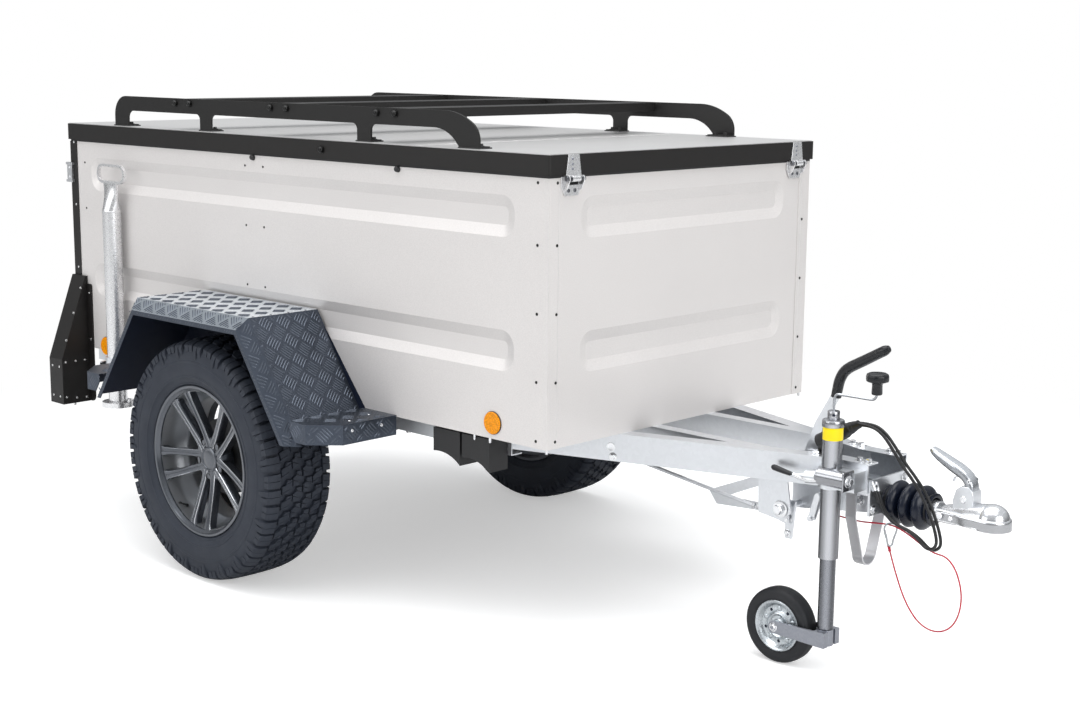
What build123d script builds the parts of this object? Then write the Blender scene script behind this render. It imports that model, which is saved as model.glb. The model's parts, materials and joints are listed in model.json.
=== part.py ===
"""Off-road box trailer: lidded aluminium box, roof rack, V drawbar with overrun coupling.

Millimetres. +X runs forward to the coupling, +Y to the left, +Z up. The model is drawn
with the wheel axis at x = 0 and the ground at z = 0, and is centred in X on export.
"""
import os
from math import atan, cos, degrees, pi, radians, sin, sqrt, tan

from build123d import *

os.makedirs("parts", exist_ok=True)

# Box
BODY_FRONT_X = 1192.0
BODY_REAR_X = -1022.0
BODY_WIDTH = 1113.0
BODY_BOTTOM_Z = 557.0
WALL_HEIGHT = 693.0
SHEET = 2.0
TOP_FLANGE = 18.0
FRONT_RETURN = 50.0
FLOOR_THICKNESS = 12.0
POST_LEG = 40.0
POST_THICKNESS = 3.0
SEAL_WIDTH = 12.0
SEAL_HEIGHT = 5.5
SEAL_GAP = 0.5

# Swages pressed inwards across each wall
SWAGE_HEIGHT = 108.0
SWAGE_DEPTH = 9.0
SWAGE_SLOPE = 30.0
SWAGE_RADIUS = 45.0
SWAGE_MARGIN = 120.0
SWAGE_DROPS = (50.0, 399.0)

# Lid
LID_OVERHANG = 7.5
LID_HEIGHT = 54.0
LID_SHEET = 2.0
LID_TOP_FLANGE = 26.0
LID_BOTTOM_FLANGE = 14.0
LID_CORNER = 6.0
LID_SKIN_INSET = 5.0
LID_RIB_WIDTH = 60.0
LID_SEAM_X = 690.0
LID_SEAM_WIDTH = 16.0

# Roof rack
RACK_HEIGHT = 96.0
RACK_RAIL_INSET = 27.0
RACK_PLATE = 6.0
RACK_BEAM_DEPTH = 46.0
RACK_REAR_X = -774.0
RACK_FRONT_X = 925.0
RACK_LEG_XS = (-275.0, 468.0)
RACK_LEG_WIDTH = 58.0
RACK_REAR_LEG = 76.0
RACK_FRONT_LEG = 73.0
RACK_FRONT_RUN = 80.0
RACK_FRONT_KNEE = 52.0
RACK_KNEE_INSET = 25.0
RACK_FOOT_WIDTH = 34.0
CROSSBAR_XS = (-393.0, 88.0, 561.0)
CROSSBAR_WIDTH = 100.0
CROSSBAR_DEPTH = 26.0
CROSSBAR_SHEET = 3.0
CROSSBAR_DROP = 2.0

# Lid hinges
LID_HINGE_INSET = 78.5
LID_HINGE_WIDTH = 86.0
LID_PIN_RADIUS = 4.0
LID_BARREL_RADIUS = 8.0
HINGE_LEAF = 3.0
RUNNING_GAP = 0.05

# Tailgate
TAILGATE_THICKNESS = 25.0
TAILGATE_GAP = 5.0
TAILGATE_HINGE_INSET = 226.5
TAILGATE_PIN_RADIUS = 4.0
TAILGATE_BARREL_RADIUS = 7.0
TAILGATE_HINGE_WIDTH = 90.0
LATCH_HEIGHT = 75.0
LATCH_WIDTH = 34.0
LATCH_DEPTH = 16.0
LATCH_DROP = 110.0

# Chassis
FRAME_DEPTH = 60.0
FRAME_FLANGE = 40.0
FRAME_WALL = 3.0
SIDE_RAIL_INSET = 76.5
SIDE_RAIL_FRONT_X = 990.0
CROSS_MEMBER_XS = (-620.0, 40.0, 650.0)
DRAWBAR_DEPTH = 76.0
DRAWBAR_FLANGE = 46.0
DRAWBAR_WALL = 4.0
DRAWBAR_FRONT_X = 1850.0
DRAWBAR_BEND_X = 1745.0
DRAWBAR_FRONT_Y = 90.0
DRAWBAR_REAR_Y = 438.0
INNER_RAIL_Y = 100.0
INNER_RAIL_FLANGE = 38.0

# Axle and wheels
TYRE_RADIUS = 362.0
TYRE_WIDTH = 236.0
TYRE_CROWN_THICKNESS = 22.0
WHEEL_GAP = 13.5
BEAD_RADIUS = 204.0
RIM_FLANGE_RADIUS = 226.0
RIM_WIDTH = 208.0
RIM_WALL = 6.0
SPOKE_PAIRS = 5
SPOKE_TURN = 108.0
SPOKE_WIDTH = 18.0
AXLE_X = 165.0
AXLE_Z = 448.0
AXLE_TUBE = 70.0
AXLE_TUBE_OVERHANG = 20.0
ARM_THICKNESS = 32.0
STUB_RADIUS = 20.0
DRUM_RADIUS = 115.0
DRUM_DEPTH = 62.0
BOLT_CIRCLE = 112.0
BOLT_COUNT = 5

# Fenders and steps
FENDER_TOP_Z = 822.0
FENDER_TOP_HALF = 275.0
FENDER_BOTTOM_HALF = 506.0
FENDER_BOTTOM_Z = 492.0
FENDER_REACH = 278.5
FENDER_CHAMFER = 33.0
FENDER_LIP = 14.0
FENDER_SHEET = 2.5
STEP_TOP_Z = 562.0
STEP_SKIRT = 56.0
STEP_END_X = 615.0
STEP_REACH = 263.5
STEP_ROOT_LAP = 30.0
STEP_CORNER = 72.0

# Rear lamp brackets
LAMP_BOX_DEPTH = 80.0
LAMP_BOX_REACH = 108.0
LAMP_BOX_APEX_Z = 800.0
LAMP_BOX_SHOULDER_Z = 525.0
LAMP_BOX_BOTTOM_Z = 372.0
LAMP_BOX_SHEET = 2.5
LAMP_BOX_FLANGE = 26.0
LAMP_WIDTH = 76.0
LAMP_HEIGHT = 130.0
LAMP_THICKNESS = 15.0
REFLECTOR_RADIUS = 30.0
REFLECTOR_SPOTS = ((997.0, 600.0), (-846.0, 573.0))
REFLECTOR_HEIGHT = 6.0

# Rear prop stands
STAND_X = -730.0
STAND_WALL_GAP = 7.0
STAND_RADIUS = 30.0
STAND_WALL = 3.0
STAND_FOOT_Z = 392.0
STAND_FOOT_RADIUS = 52.0
STAND_FOOT_PLATE = 6.0
STAND_FOOT_RIM = 10.0
STAND_TOP_Z = 1128.0
STAND_HANDLE_WIDTH = 158.0
STAND_HANDLE_HEIGHT = 62.0
STAND_BLADE = 8.0
STAND_BLADE_WIDTH = 74.0
STAND_NECK = 90.0
STAND_HANDLE_SHIFT = 5.0
STAND_CLAMP_HEIGHT = 60.0
STAND_CLAMP_GAP = 0.3

# Wheel chocks
CHOCK_XS = (760.0, 872.0)
CHOCK_LENGTH = 104.0
CHOCK_WIDTH = 70.0
CHOCK_DEPTH = 92.0
CHOCK_HEEL = 66.0

# Coupling
SHAFT_Z = 452.0
SHAFT_RADIUS = 25.0
HOUSING_REAR_X = 1592.0
HOUSING_HALF_WIDTH = 40.0
HOUSING_WALL = 5.0
HOUSING_REAR_Z = 390.0
HOUSING_FRONT_Z = 424.0
END_PLATE = 6.0
END_PLATE_HALF = 84.0
END_PLATE_TOP_Z = 516.0
BELLOWS_FRONT_X = 1992.0
BELLOWS_ROOT_RADIUS = 36.0
BELLOWS_TIP_RADIUS = 57.0
BELLOWS_FOLDS = 3
HEAD_TIP_X = 2196.0
HEAD_RADIUS = 46.0
HEAD_BOTTOM_Z = 440.0
HEAD_TOP_Z = 466.0
HEAD_DOME_RADIUS = 43.0
HEAD_DOME_Z = 454.0
NECK_LENGTH = 70.0
NECK_BOTTOM_Z = 433.0
BALL_RADIUS = 25.0
BALL_GAP = 0.4

# Safety strap
STRAP_X = 1778.0
STRAP_WIDTH = 30.0
STRAP_THICKNESS = 4.0
STRAP_HALF = 72.0
STRAP_KNEE_Z = 410.0
STRAP_FOOT_HALF = 34.0
STRAP_BOTTOM_Z = 270.0

# Jockey wheel
JOCKEY_X = 1768.0
JOCKEY_Y = -127.0
JOCKEY_OUTER_RADIUS = 25.5
JOCKEY_OUTER_WALL = 3.0
JOCKEY_OUTER_BOTTOM_Z = 309.0
JOCKEY_OUTER_TOP_Z = 655.0
JOCKEY_INNER_RADIUS = 20.5
JOCKEY_INNER_BOTTOM_Z = 124.0
JOCKEY_TYRE_RADIUS = 100.0
JOCKEY_TYRE_WIDTH = 50.0
JOCKEY_TRAIL = 136.0
JOCKEY_FORK_BOTTOM_Z = 80.0
JOCKEY_PIN_RADIUS = 10.0
JOCKEY_ARM = 5.0
JOCKEY_TRAVEL = 120.0
JOCKEY_BUSH = 24.0

# Ends that centre the model
LID_FRONT_X = BODY_FRONT_X + LID_OVERHANG
LID_REAR_X = BODY_REAR_X - LID_OVERHANG
LAMP_REAR_X = LID_REAR_X - LAMP_THICKNESS
LATCH_REAR_X = BODY_REAR_X - SHEET - LATCH_DEPTH
CENTRE_X = (HEAD_TIP_X + min(LAMP_REAR_X, LATCH_REAR_X)) / 2

WALL_TOP_Z = BODY_BOTTOM_Z + WALL_HEIGHT
LID_BOTTOM_Z = WALL_TOP_Z + SEAL_HEIGHT + SEAL_GAP
LID_TOP_Z = LID_BOTTOM_Z + LID_HEIGHT
BODY_LENGTH = BODY_FRONT_X - BODY_REAR_X
HALF_WIDTH = BODY_WIDTH / 2
LID_HALF_WIDTH = HALF_WIDTH + LID_OVERHANG
FLOOR_TOP_Z = BODY_BOTTOM_Z + FLOOR_THICKNESS
SWAGE_TOPS = [WALL_HEIGHT - drop for drop in SWAGE_DROPS]
RACK_RAIL_Y = LID_HALF_WIDTH - RACK_RAIL_INSET
LID_HINGE_Y = HALF_WIDTH - LID_HINGE_INSET
TAILGATE_HINGE_Y = HALF_WIDTH - TAILGATE_HINGE_INSET
LATCH_Z = WALL_TOP_Z - LATCH_DROP
SIDE_RAIL_Y = HALF_WIDTH - SIDE_RAIL_INSET
AXLE_TUBE_HALF = SIDE_RAIL_Y + AXLE_TUBE_OVERHANG
WHEEL_Y = HALF_WIDTH + WHEEL_GAP + TYRE_WIDTH / 2
FENDER_OUTER_Y = HALF_WIDTH + FENDER_REACH
STEP_OUTER_Y = HALF_WIDTH + STEP_REACH
STAND_Y = HALF_WIDTH + STAND_WALL_GAP + STAND_RADIUS


def save(name, shape):
    """Write one sub-part, centred in X."""
    export_step(Pos(-CENTRE_X, 0, 0) * shape, f"parts/{name}.step")


def mirrored(shape):
    """The left-hand copy of a right-hand piece."""
    return shape.mirror(Plane.XZ)


def both_sides(shape):
    """A piece with its mirror image, kept as separate solids."""
    return Compound([shape, mirrored(shape)])


def block(x_span, y_span, z_span):
    """A box given by its limits along each axis."""
    spans = (x_span, y_span, z_span)
    sizes = [abs(high - low) for low, high in spans]
    middles = [(low + high) / 2 for low, high in spans]
    return Pos(*middles) * Box(*sizes)


def round_corners(face, corners):
    """Fillet the vertices of a flat face that lie at the given points."""
    for point, radius in corners:
        vertex = min(face.vertices(), key=lambda v: (v.center() - Vector(*point)).length)
        face = fillet(vertex, radius)
    return face


def upright_plate(points, corners, y_low, y_high):
    """A plate cut from an XZ outline, between two Y planes."""
    outline = make_face(Polyline([(x, 0, z) for x, z in points], close=True))
    outline = round_corners(outline, [((x, 0, z), radius) for x, z, radius in corners])
    plate = extrude(outline, amount=y_high - y_low, dir=(0, 1, 0))
    return Pos(0, y_low, 0) * plate


def level_plate(points, corners, z_low, z_high):
    """A plate cut from an XY outline, between two levels."""
    outline = make_face(Polyline([(x, y, 0) for x, y in points], close=True))
    outline = round_corners(outline, [((x, y, 0), radius) for x, y, radius in corners])
    return Pos(0, 0, z_low) * extrude(outline, amount=z_high - z_low, dir=(0, 0, 1))


def cord_tube(points, radius, name):
    """A round tube of straight runs joined by tangent arcs through hand-chosen points."""
    runs = [(b - a).length for a, b in zip(points, points[1:])]
    radii = []
    for index in range(1, len(points) - 1):
        before = points[index] - points[index - 1]
        after = points[index + 1] - points[index]
        half_turn = radians(before.get_angle(after)) / 2
        radii.append(0.45 * min(runs[index - 1], runs[index]) / tan(half_turn))
    print(name, "arc radii", [round(value) for value in radii], "length", round(sum(runs)))
    path = FilletPolyline(*points, radius=radii)
    return tube_along(path, radius)


def tube_along(path, radius):
    """A round bar that follows a wire."""
    section = Plane(origin=path @ 0, z_dir=path % 0) * Circle(radius)
    return sweep(section, path=path)


# ---------------------------------------------------------------- box


def swaged_sheet(length, swage_tops):
    """A wall sheet in local axes: length along X, height along Y, outer face at z = 0."""
    panel = Pos(0, WALL_HEIGHT / 2, SHEET / 2) * Box(length, WALL_HEIGHT, SHEET)
    swage_length = length - 2 * SWAGE_MARGIN
    for top in swage_tops:
        mouth = RectangleRounded(swage_length, SWAGE_HEIGHT, SWAGE_RADIUS)
        bed_length = swage_length - 2 * SWAGE_SLOPE
        bed_height = SWAGE_HEIGHT - 2 * SWAGE_SLOPE
        bed = RectangleRounded(bed_length, bed_height, SWAGE_RADIUS - SWAGE_SLOPE)
        pan = loft([mouth, Pos(0, 0, SWAGE_DEPTH) * bed], ruled=True)
        pan = Pos(0, top - SWAGE_HEIGHT / 2, 0) * pan
        panel = panel + Pos(0, 0, SHEET) * pan - pan
    return panel


def side_wall():
    """Right wall sheet with its top flange and the return that wraps the front corner."""
    middle_x = (BODY_FRONT_X + BODY_REAR_X) / 2
    place = Plane((middle_x, -HALF_WIDTH, BODY_BOTTOM_Z), x_dir=(-1, 0, 0), z_dir=(0, 1, 0))
    wall = place * swaged_sheet(BODY_LENGTH, SWAGE_TOPS)
    inner_y = -HALF_WIDTH + SHEET
    wall += block(
        (BODY_REAR_X, BODY_FRONT_X),
        (inner_y, -HALF_WIDTH + TOP_FLANGE),
        (WALL_TOP_Z - SHEET, WALL_TOP_Z),
    )
    wall += block(
        (BODY_FRONT_X - SHEET, BODY_FRONT_X),
        (inner_y, -HALF_WIDTH + FRONT_RETURN),
        (BODY_BOTTOM_Z, WALL_TOP_Z - SHEET),
    )
    return wall


def front_wall():
    """Front sheet, lapped behind the side walls' returns."""
    width = BODY_WIDTH - 2 * SHEET
    place = Plane(
        (BODY_FRONT_X - SHEET, 0, BODY_BOTTOM_Z), x_dir=(0, -1, 0), z_dir=(-1, 0, 0)
    )
    wall = place * swaged_sheet(width, SWAGE_TOPS)
    wall -= block(
        (BODY_FRONT_X - 2 * SHEET, BODY_FRONT_X),
        (-HALF_WIDTH, HALF_WIDTH),
        (WALL_TOP_Z - SHEET, WALL_TOP_Z),
    )
    wall += block(
        (BODY_FRONT_X - TOP_FLANGE, BODY_FRONT_X),
        (-HALF_WIDTH + TOP_FLANGE, HALF_WIDTH - TOP_FLANGE),
        (WALL_TOP_Z - SHEET, WALL_TOP_Z),
    )
    return wall


def floor_panel():
    """Plywood floor on the chassis, inside the walls."""
    front = BODY_FRONT_X - 2 * SHEET
    rear = BODY_REAR_X + TAILGATE_THICKNESS + TAILGATE_GAP
    half = HALF_WIDTH - SHEET
    return block((rear, front), (-half, half), (BODY_BOTTOM_Z, FLOOR_TOP_Z))


def corner_posts():
    """Angle posts inside the two front corners."""
    outer_x = BODY_FRONT_X - 2 * SHEET
    outer_y = -HALF_WIDTH + SHEET
    top = WALL_TOP_Z - SHEET
    post = block(
        (outer_x - POST_LEG, outer_x), (outer_y, outer_y + POST_LEG), (FLOOR_TOP_Z, top)
    )
    post -= block(
        (outer_x - POST_LEG, outer_x - POST_THICKNESS),
        (outer_y + POST_THICKNESS, outer_y + POST_LEG),
        (FLOOR_TOP_Z, top),
    )
    return both_sides(post)


def rear_posts():
    """Black angles over the rear corners, one leg on the side and one behind."""
    outer_y = -HALF_WIDTH - SHEET
    post = block(
        (BODY_REAR_X - SHEET, BODY_REAR_X + POST_LEG - SHEET),
        (outer_y, outer_y + POST_LEG),
        (BODY_BOTTOM_Z, WALL_TOP_Z),
    )
    post -= block(
        (BODY_REAR_X, BODY_REAR_X + POST_LEG),
        (outer_y + SHEET, outer_y + POST_LEG),
        (BODY_BOTTOM_Z, WALL_TOP_Z),
    )
    return both_sides(post)


def top_seal():
    """Rubber strip on the tops of the side and front walls."""
    outline = [
        (BODY_REAR_X, -HALF_WIDTH),
        (BODY_FRONT_X, -HALF_WIDTH),
        (BODY_FRONT_X, HALF_WIDTH),
        (BODY_REAR_X, HALF_WIDTH),
        (BODY_REAR_X, HALF_WIDTH - SEAL_WIDTH),
        (BODY_FRONT_X - SEAL_WIDTH, HALF_WIDTH - SEAL_WIDTH),
        (BODY_FRONT_X - SEAL_WIDTH, -HALF_WIDTH + SEAL_WIDTH),
        (BODY_REAR_X, -HALF_WIDTH + SEAL_WIDTH),
    ]
    return level_plate(outline, [], WALL_TOP_Z, WALL_TOP_Z + SEAL_HEIGHT)


# ---------------------------------------------------------------- lid


def rim_ring(inset, z_low, z_high):
    """A solid slab with the lid's outline, shrunk by an inset."""
    length = LID_FRONT_X - LID_REAR_X - 2 * inset
    width = 2 * (LID_HALF_WIDTH - inset)
    corner = max(LID_CORNER - inset, 1.0)
    outline = Pos((LID_FRONT_X + LID_REAR_X) / 2, 0) * RectangleRounded(length, width, corner)
    return Pos(0, 0, z_low) * extrude(outline, amount=z_high - z_low)


def lid_frame():
    """Folded rim with a top and a bottom flange, and hat ribs across the inside."""
    skin_z = LID_TOP_Z - LID_SHEET
    frame = rim_ring(0, LID_BOTTOM_Z, skin_z)
    frame -= rim_ring(LID_SHEET, LID_BOTTOM_Z + LID_SHEET, skin_z - LID_SHEET)
    frame -= rim_ring(LID_BOTTOM_FLANGE, LID_BOTTOM_Z, LID_BOTTOM_Z + LID_SHEET)
    frame -= rim_ring(LID_TOP_FLANGE, skin_z - LID_SHEET, skin_z)
    for x in CROSSBAR_XS:
        rib = block(
            (x - LID_RIB_WIDTH / 2, x + LID_RIB_WIDTH / 2),
            (-LID_HALF_WIDTH + LID_SHEET, LID_HALF_WIDTH - LID_SHEET),
            (skin_z - LID_RIB_WIDTH / 2, skin_z - LID_SHEET),
        )
        rib -= block(
            (x - LID_RIB_WIDTH / 2 + LID_SHEET, x + LID_RIB_WIDTH / 2 - LID_SHEET),
            (-LID_HALF_WIDTH, LID_HALF_WIDTH),
            (skin_z - LID_RIB_WIDTH / 2 + LID_SHEET, skin_z - LID_SHEET),
        )
        frame += rib
    return frame


def lid_panel():
    """Top skin laid on the rim, with the raised seam between its two sheets."""
    skin_z = LID_TOP_Z - LID_SHEET
    skin = rim_ring(LID_SKIN_INSET, skin_z, LID_TOP_Z)
    seam_half = LID_HALF_WIDTH - LID_SKIN_INSET - LID_TOP_FLANGE
    seam = block(
        (LID_SEAM_X - LID_SEAM_WIDTH / 2, LID_SEAM_X + LID_SEAM_WIDTH / 2),
        (-seam_half, seam_half),
        (LID_TOP_Z, LID_TOP_Z + LID_SHEET / 2),
    )
    return skin + seam


def roof_rail():
    """Right rack rail: one plate cut with three windows, swept down at the front."""
    top = LID_TOP_Z + RACK_HEIGHT
    under = top - RACK_BEAM_DEPTH
    base = LID_TOP_Z
    front_top = RACK_FRONT_X - RACK_FRONT_RUN
    knee = base + RACK_FRONT_KNEE
    front_inner = RACK_FRONT_X - RACK_FRONT_LEG
    inner_knee = (front_inner - RACK_KNEE_INSET, knee - RACK_KNEE_INSET)
    inner_top = front_inner - 2 * RACK_FOOT_WIDTH
    points = [(RACK_REAR_X, base), (RACK_REAR_X, top), (front_top, top), (RACK_FRONT_X, knee)]
    points += [(RACK_FRONT_X, base), (front_inner, base), inner_knee, (inner_top, under)]
    corners = [(RACK_REAR_X, top, 62), (front_top, top, 200), (RACK_FRONT_X, knee, 55)]
    corners += [(*inner_knee, 100), (inner_top, under, 120)]
    for x in sorted(RACK_LEG_XS, reverse=True):
        for edge in (x + RACK_LEG_WIDTH / 2, x - RACK_LEG_WIDTH / 2):
            inner = [(edge, under), (edge, base)]
            points += inner if edge > x else inner[::-1]
            corners.append((edge, under, 18))
    rear_inner = RACK_REAR_X + RACK_REAR_LEG
    points += [(rear_inner, under), (rear_inner, base)]
    corners.append((rear_inner, under, 24))
    outer_y = -RACK_RAIL_Y - RACK_PLATE / 2
    rail = upright_plate(points, corners, outer_y, outer_y + RACK_PLATE)
    feet = [(RACK_REAR_X + RACK_REAR_LEG / 2, RACK_REAR_LEG)]
    feet += [(x, RACK_LEG_WIDTH) for x in RACK_LEG_XS]
    feet.append((RACK_FRONT_X - RACK_FRONT_LEG / 2, RACK_FRONT_LEG))
    for x, width in feet:
        rail += block(
            (x - width / 2, x + width / 2),
            (outer_y + RACK_PLATE, outer_y + RACK_PLATE + RACK_FOOT_WIDTH),
            (base, base + RACK_PLATE),
        )
    return rail


def crossbars():
    """Three folded channels between the rack rails."""
    half = RACK_RAIL_Y - RACK_PLATE / 2
    top = LID_TOP_Z + RACK_HEIGHT - CROSSBAR_DROP
    bars = []
    for x in CROSSBAR_XS:
        half_bar = CROSSBAR_WIDTH / 2
        bar = block((x - half_bar, x + half_bar), (-half, half), (top - CROSSBAR_DEPTH, top))
        half_hollow = half_bar - CROSSBAR_SHEET
        bar -= block(
            (x - half_hollow, x + half_hollow),
            (-half + CROSSBAR_SHEET, half - CROSSBAR_SHEET),
            (top - CROSSBAR_DEPTH, top - CROSSBAR_SHEET),
        )
        bars.append(bar)
    return Compound(bars)


LID_PIN_X = LID_FRONT_X + LID_BARREL_RADIUS
LID_PIN_Z = LID_BOTTOM_Z - LID_BARREL_RADIUS


def y_cylinder(radius, y_low, y_high, x, z):
    """A cylinder lying along Y."""
    length = y_high - y_low
    return Pos(x, (y_low + y_high) / 2, z) * Rot(90, 0, 0) * Cylinder(radius, length)


def lid_hinge_leaf(y):
    """Tapered upper leaf on the lid rim, with the middle knuckle."""
    knuckle = LID_HINGE_WIDTH * 0.36
    front = LID_FRONT_X
    outline = [
        (y - LID_HINGE_WIDTH / 2, LID_PIN_Z + 4),
        (y + LID_HINGE_WIDTH / 2, LID_PIN_Z + 4),
        (y + LID_HINGE_WIDTH * 0.3, LID_TOP_Z - 4),
        (y - LID_HINGE_WIDTH * 0.3, LID_TOP_Z - 4),
    ]
    face = make_face(Polyline([(front, py, pz) for py, pz in outline], close=True))
    leaf = extrude(face, amount=HINGE_LEAF, dir=(1, 0, 0))
    gap = LID_BARREL_RADIUS + 1
    for side in (-1, 1):
        low = min(side * knuckle / 2, side * LID_HINGE_WIDTH)
        high = max(side * knuckle / 2, side * LID_HINGE_WIDTH)
        leaf -= block((front, front + 9), (y + low, y + high), (0, LID_PIN_Z + gap))
    leaf += y_cylinder(LID_BARREL_RADIUS, y - knuckle / 2 + 0.5, y + knuckle / 2 - 0.5,
                       LID_PIN_X, LID_PIN_Z)
    bore = LID_PIN_RADIUS + RUNNING_GAP
    leaf -= y_cylinder(bore, y - LID_HINGE_WIDTH, y + LID_HINGE_WIDTH, LID_PIN_X, LID_PIN_Z)
    return leaf


def lid_hinge_bracket(y):
    """Lower bracket on the front wall: plate, two gussets and the pin with its knuckles."""
    knuckle = LID_HINGE_WIDTH * 0.36
    half = LID_HINGE_WIDTH / 2
    wall_x = BODY_FRONT_X
    plate = block((wall_x, wall_x + HINGE_LEAF), (y - half, y + half), (LID_PIN_Z - 50, LID_PIN_Z + 5))
    for side in (-1, 1):
        inner = y + side * (knuckle / 2 + 0.5)
        outer = y + side * half
        low, high = min(inner, outer), max(inner, outer)
        plate += y_cylinder(LID_BARREL_RADIUS, low, high, LID_PIN_X, LID_PIN_Z)
        gusset = upright_plate(
            [(wall_x, LID_PIN_Z - 45), (wall_x, LID_PIN_Z), (LID_PIN_X, LID_PIN_Z),
             (LID_PIN_X + LID_BARREL_RADIUS * 0.7, LID_PIN_Z - LID_BARREL_RADIUS * 0.7)],
            [],
            outer - HINGE_LEAF if side > 0 else outer,
            outer if side > 0 else outer + HINGE_LEAF,
        )
        plate += gusset
    plate += y_cylinder(LID_PIN_RADIUS, y - half, y + half, LID_PIN_X, LID_PIN_Z)
    return plate


# ---------------------------------------------------------------- tailgate

TAILGATE_PIN_X = BODY_REAR_X - TAILGATE_BARREL_RADIUS
TAILGATE_PIN_Z = BODY_BOTTOM_Z + 2
TAILGATE_BOTTOM_Z = BODY_BOTTOM_Z + 6
TAILGATE_HALF = HALF_WIDTH - POST_LEG + SHEET - TAILGATE_GAP


def tailgate():
    """Folded tray with two swages, open on the inside."""
    height = WALL_TOP_Z - TAILGATE_BOTTOM_Z
    shift = TAILGATE_BOTTOM_Z - BODY_BOTTOM_Z
    sheet = swaged_sheet(2 * TAILGATE_HALF, SWAGE_TOPS)
    sheet -= Pos(0, shift / 2, 0) * Box(4 * TAILGATE_HALF, shift, 4 * SHEET)
    place = Plane((BODY_REAR_X, 0, BODY_BOTTOM_Z), x_dir=(0, 1, 0), z_dir=(1, 0, 0))
    gate = place * sheet
    rear, front = BODY_REAR_X, BODY_REAR_X + TAILGATE_THICKNESS
    half = TAILGATE_HALF
    low, high = TAILGATE_BOTTOM_Z, TAILGATE_BOTTOM_Z + height
    border = block((rear + SHEET, front), (-half, half), (low, high))
    border -= block((rear, front), (-half + SHEET, half - SHEET), (low + SHEET, high - SHEET))
    lip = block((front - SHEET, front), (-half, half), (low, high))
    lip -= block((rear, front), (-half + 20, half - 20), (low + 20, high - 20))
    return gate + border + lip


def tailgate_hinges():
    """Upper leaves on the tailgate, each with its middle knuckle."""
    leaves = []
    knuckle = TAILGATE_HINGE_WIDTH / 3
    for y in (-TAILGATE_HINGE_Y, TAILGATE_HINGE_Y):
        half = TAILGATE_HINGE_WIDTH / 2
        face_x = BODY_REAR_X
        leaf = block((face_x - HINGE_LEAF, face_x), (y - half, y + half), (TAILGATE_BOTTOM_Z + 4, 645))
        leaf += block((face_x - HINGE_LEAF, face_x), (y - knuckle / 2 + 0.5, y + knuckle / 2 - 0.5),
                      (TAILGATE_PIN_Z, 645))
        leaf += y_cylinder(TAILGATE_BARREL_RADIUS, y - knuckle / 2 + 0.5, y + knuckle / 2 - 0.5,
                           TAILGATE_PIN_X, TAILGATE_PIN_Z)
        bore = TAILGATE_PIN_RADIUS + RUNNING_GAP
        leaf -= y_cylinder(bore, y - half, y + half, TAILGATE_PIN_X, TAILGATE_PIN_Z)
        leaves.append(leaf)
    return Compound(leaves)


def tailgate_hinge_bracket(y):
    """Lower leaf on the rear cross member, with the outer knuckles and the pin."""
    half = TAILGATE_HINGE_WIDTH / 2
    knuckle = TAILGATE_HINGE_WIDTH / 3
    face_x = BODY_REAR_X
    low = BODY_BOTTOM_Z - FRAME_DEPTH + 5
    leaf = block((face_x - HINGE_LEAF, face_x), (y - half, y + half), (low, BODY_BOTTOM_Z - 6))
    for side in (-1, 1):
        inner, outer = y + side * knuckle / 2, y + side * half
        low_y, high_y = min(inner, outer), max(inner, outer)
        leaf += y_cylinder(TAILGATE_BARREL_RADIUS, low_y, high_y, TAILGATE_PIN_X, TAILGATE_PIN_Z)
        leaf += block((face_x - HINGE_LEAF, face_x), (low_y, high_y), (low, TAILGATE_PIN_Z))
    leaf += y_cylinder(TAILGATE_PIN_RADIUS, y - half, y + half, TAILGATE_PIN_X, TAILGATE_PIN_Z)
    return leaf


def tailgate_latches():
    """Over-centre latches on the rear faces of the rear posts."""
    y = -HALF_WIDTH + LATCH_WIDTH / 2 + 1
    rear = BODY_REAR_X - SHEET
    base = block((rear - 3, rear), (y - LATCH_WIDTH / 2, y + LATCH_WIDTH / 2),
                 (LATCH_Z - LATCH_HEIGHT / 2, LATCH_Z + LATCH_HEIGHT / 2))
    lever = upright_plate(
        [(rear - 3, LATCH_Z - 30), (rear - LATCH_DEPTH, LATCH_Z - 20),
         (rear - LATCH_DEPTH, LATCH_Z + 16), (rear - 3, LATCH_Z + 32)],
        [], y - LATCH_WIDTH / 2 + 5, y + LATCH_WIDTH / 2 - 5,
    )
    return both_sides(base + lever)


# ---------------------------------------------------------------- chassis


def channel(length, depth, flange, wall):
    """A C section along X from x = 0, web outer face at y = 0, flanges towards +Y, top at z = 0."""
    shape = block((0, length), (0, flange), (-depth, 0))
    return shape - block((0, length), (wall, flange), (wall - depth, -wall))


DRAWBAR_REAR_X = CROSS_MEMBER_XS[-1] + FRAME_FLANGE
DRAWBAR_SLOPE = (DRAWBAR_REAR_Y - DRAWBAR_FRONT_Y) / (DRAWBAR_BEND_X - DRAWBAR_REAR_X)


def drawbar_strip(width, z_low, z_high):
    """A level strip of the right V rail, measured inwards from its outer face."""
    skew = sqrt(1 + DRAWBAR_SLOPE**2)
    inner_bend = DRAWBAR_BEND_X - width * (skew - 1) / DRAWBAR_SLOPE
    points = [
        (DRAWBAR_REAR_X, -DRAWBAR_REAR_Y),
        (DRAWBAR_BEND_X, -DRAWBAR_FRONT_Y),
        (DRAWBAR_FRONT_X, -DRAWBAR_FRONT_Y),
        (DRAWBAR_FRONT_X, -DRAWBAR_FRONT_Y + width),
        (inner_bend, -DRAWBAR_FRONT_Y + width),
        (DRAWBAR_REAR_X, -DRAWBAR_REAR_Y + width * skew),
    ]
    return level_plate(points, [], z_low, z_high)


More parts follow.
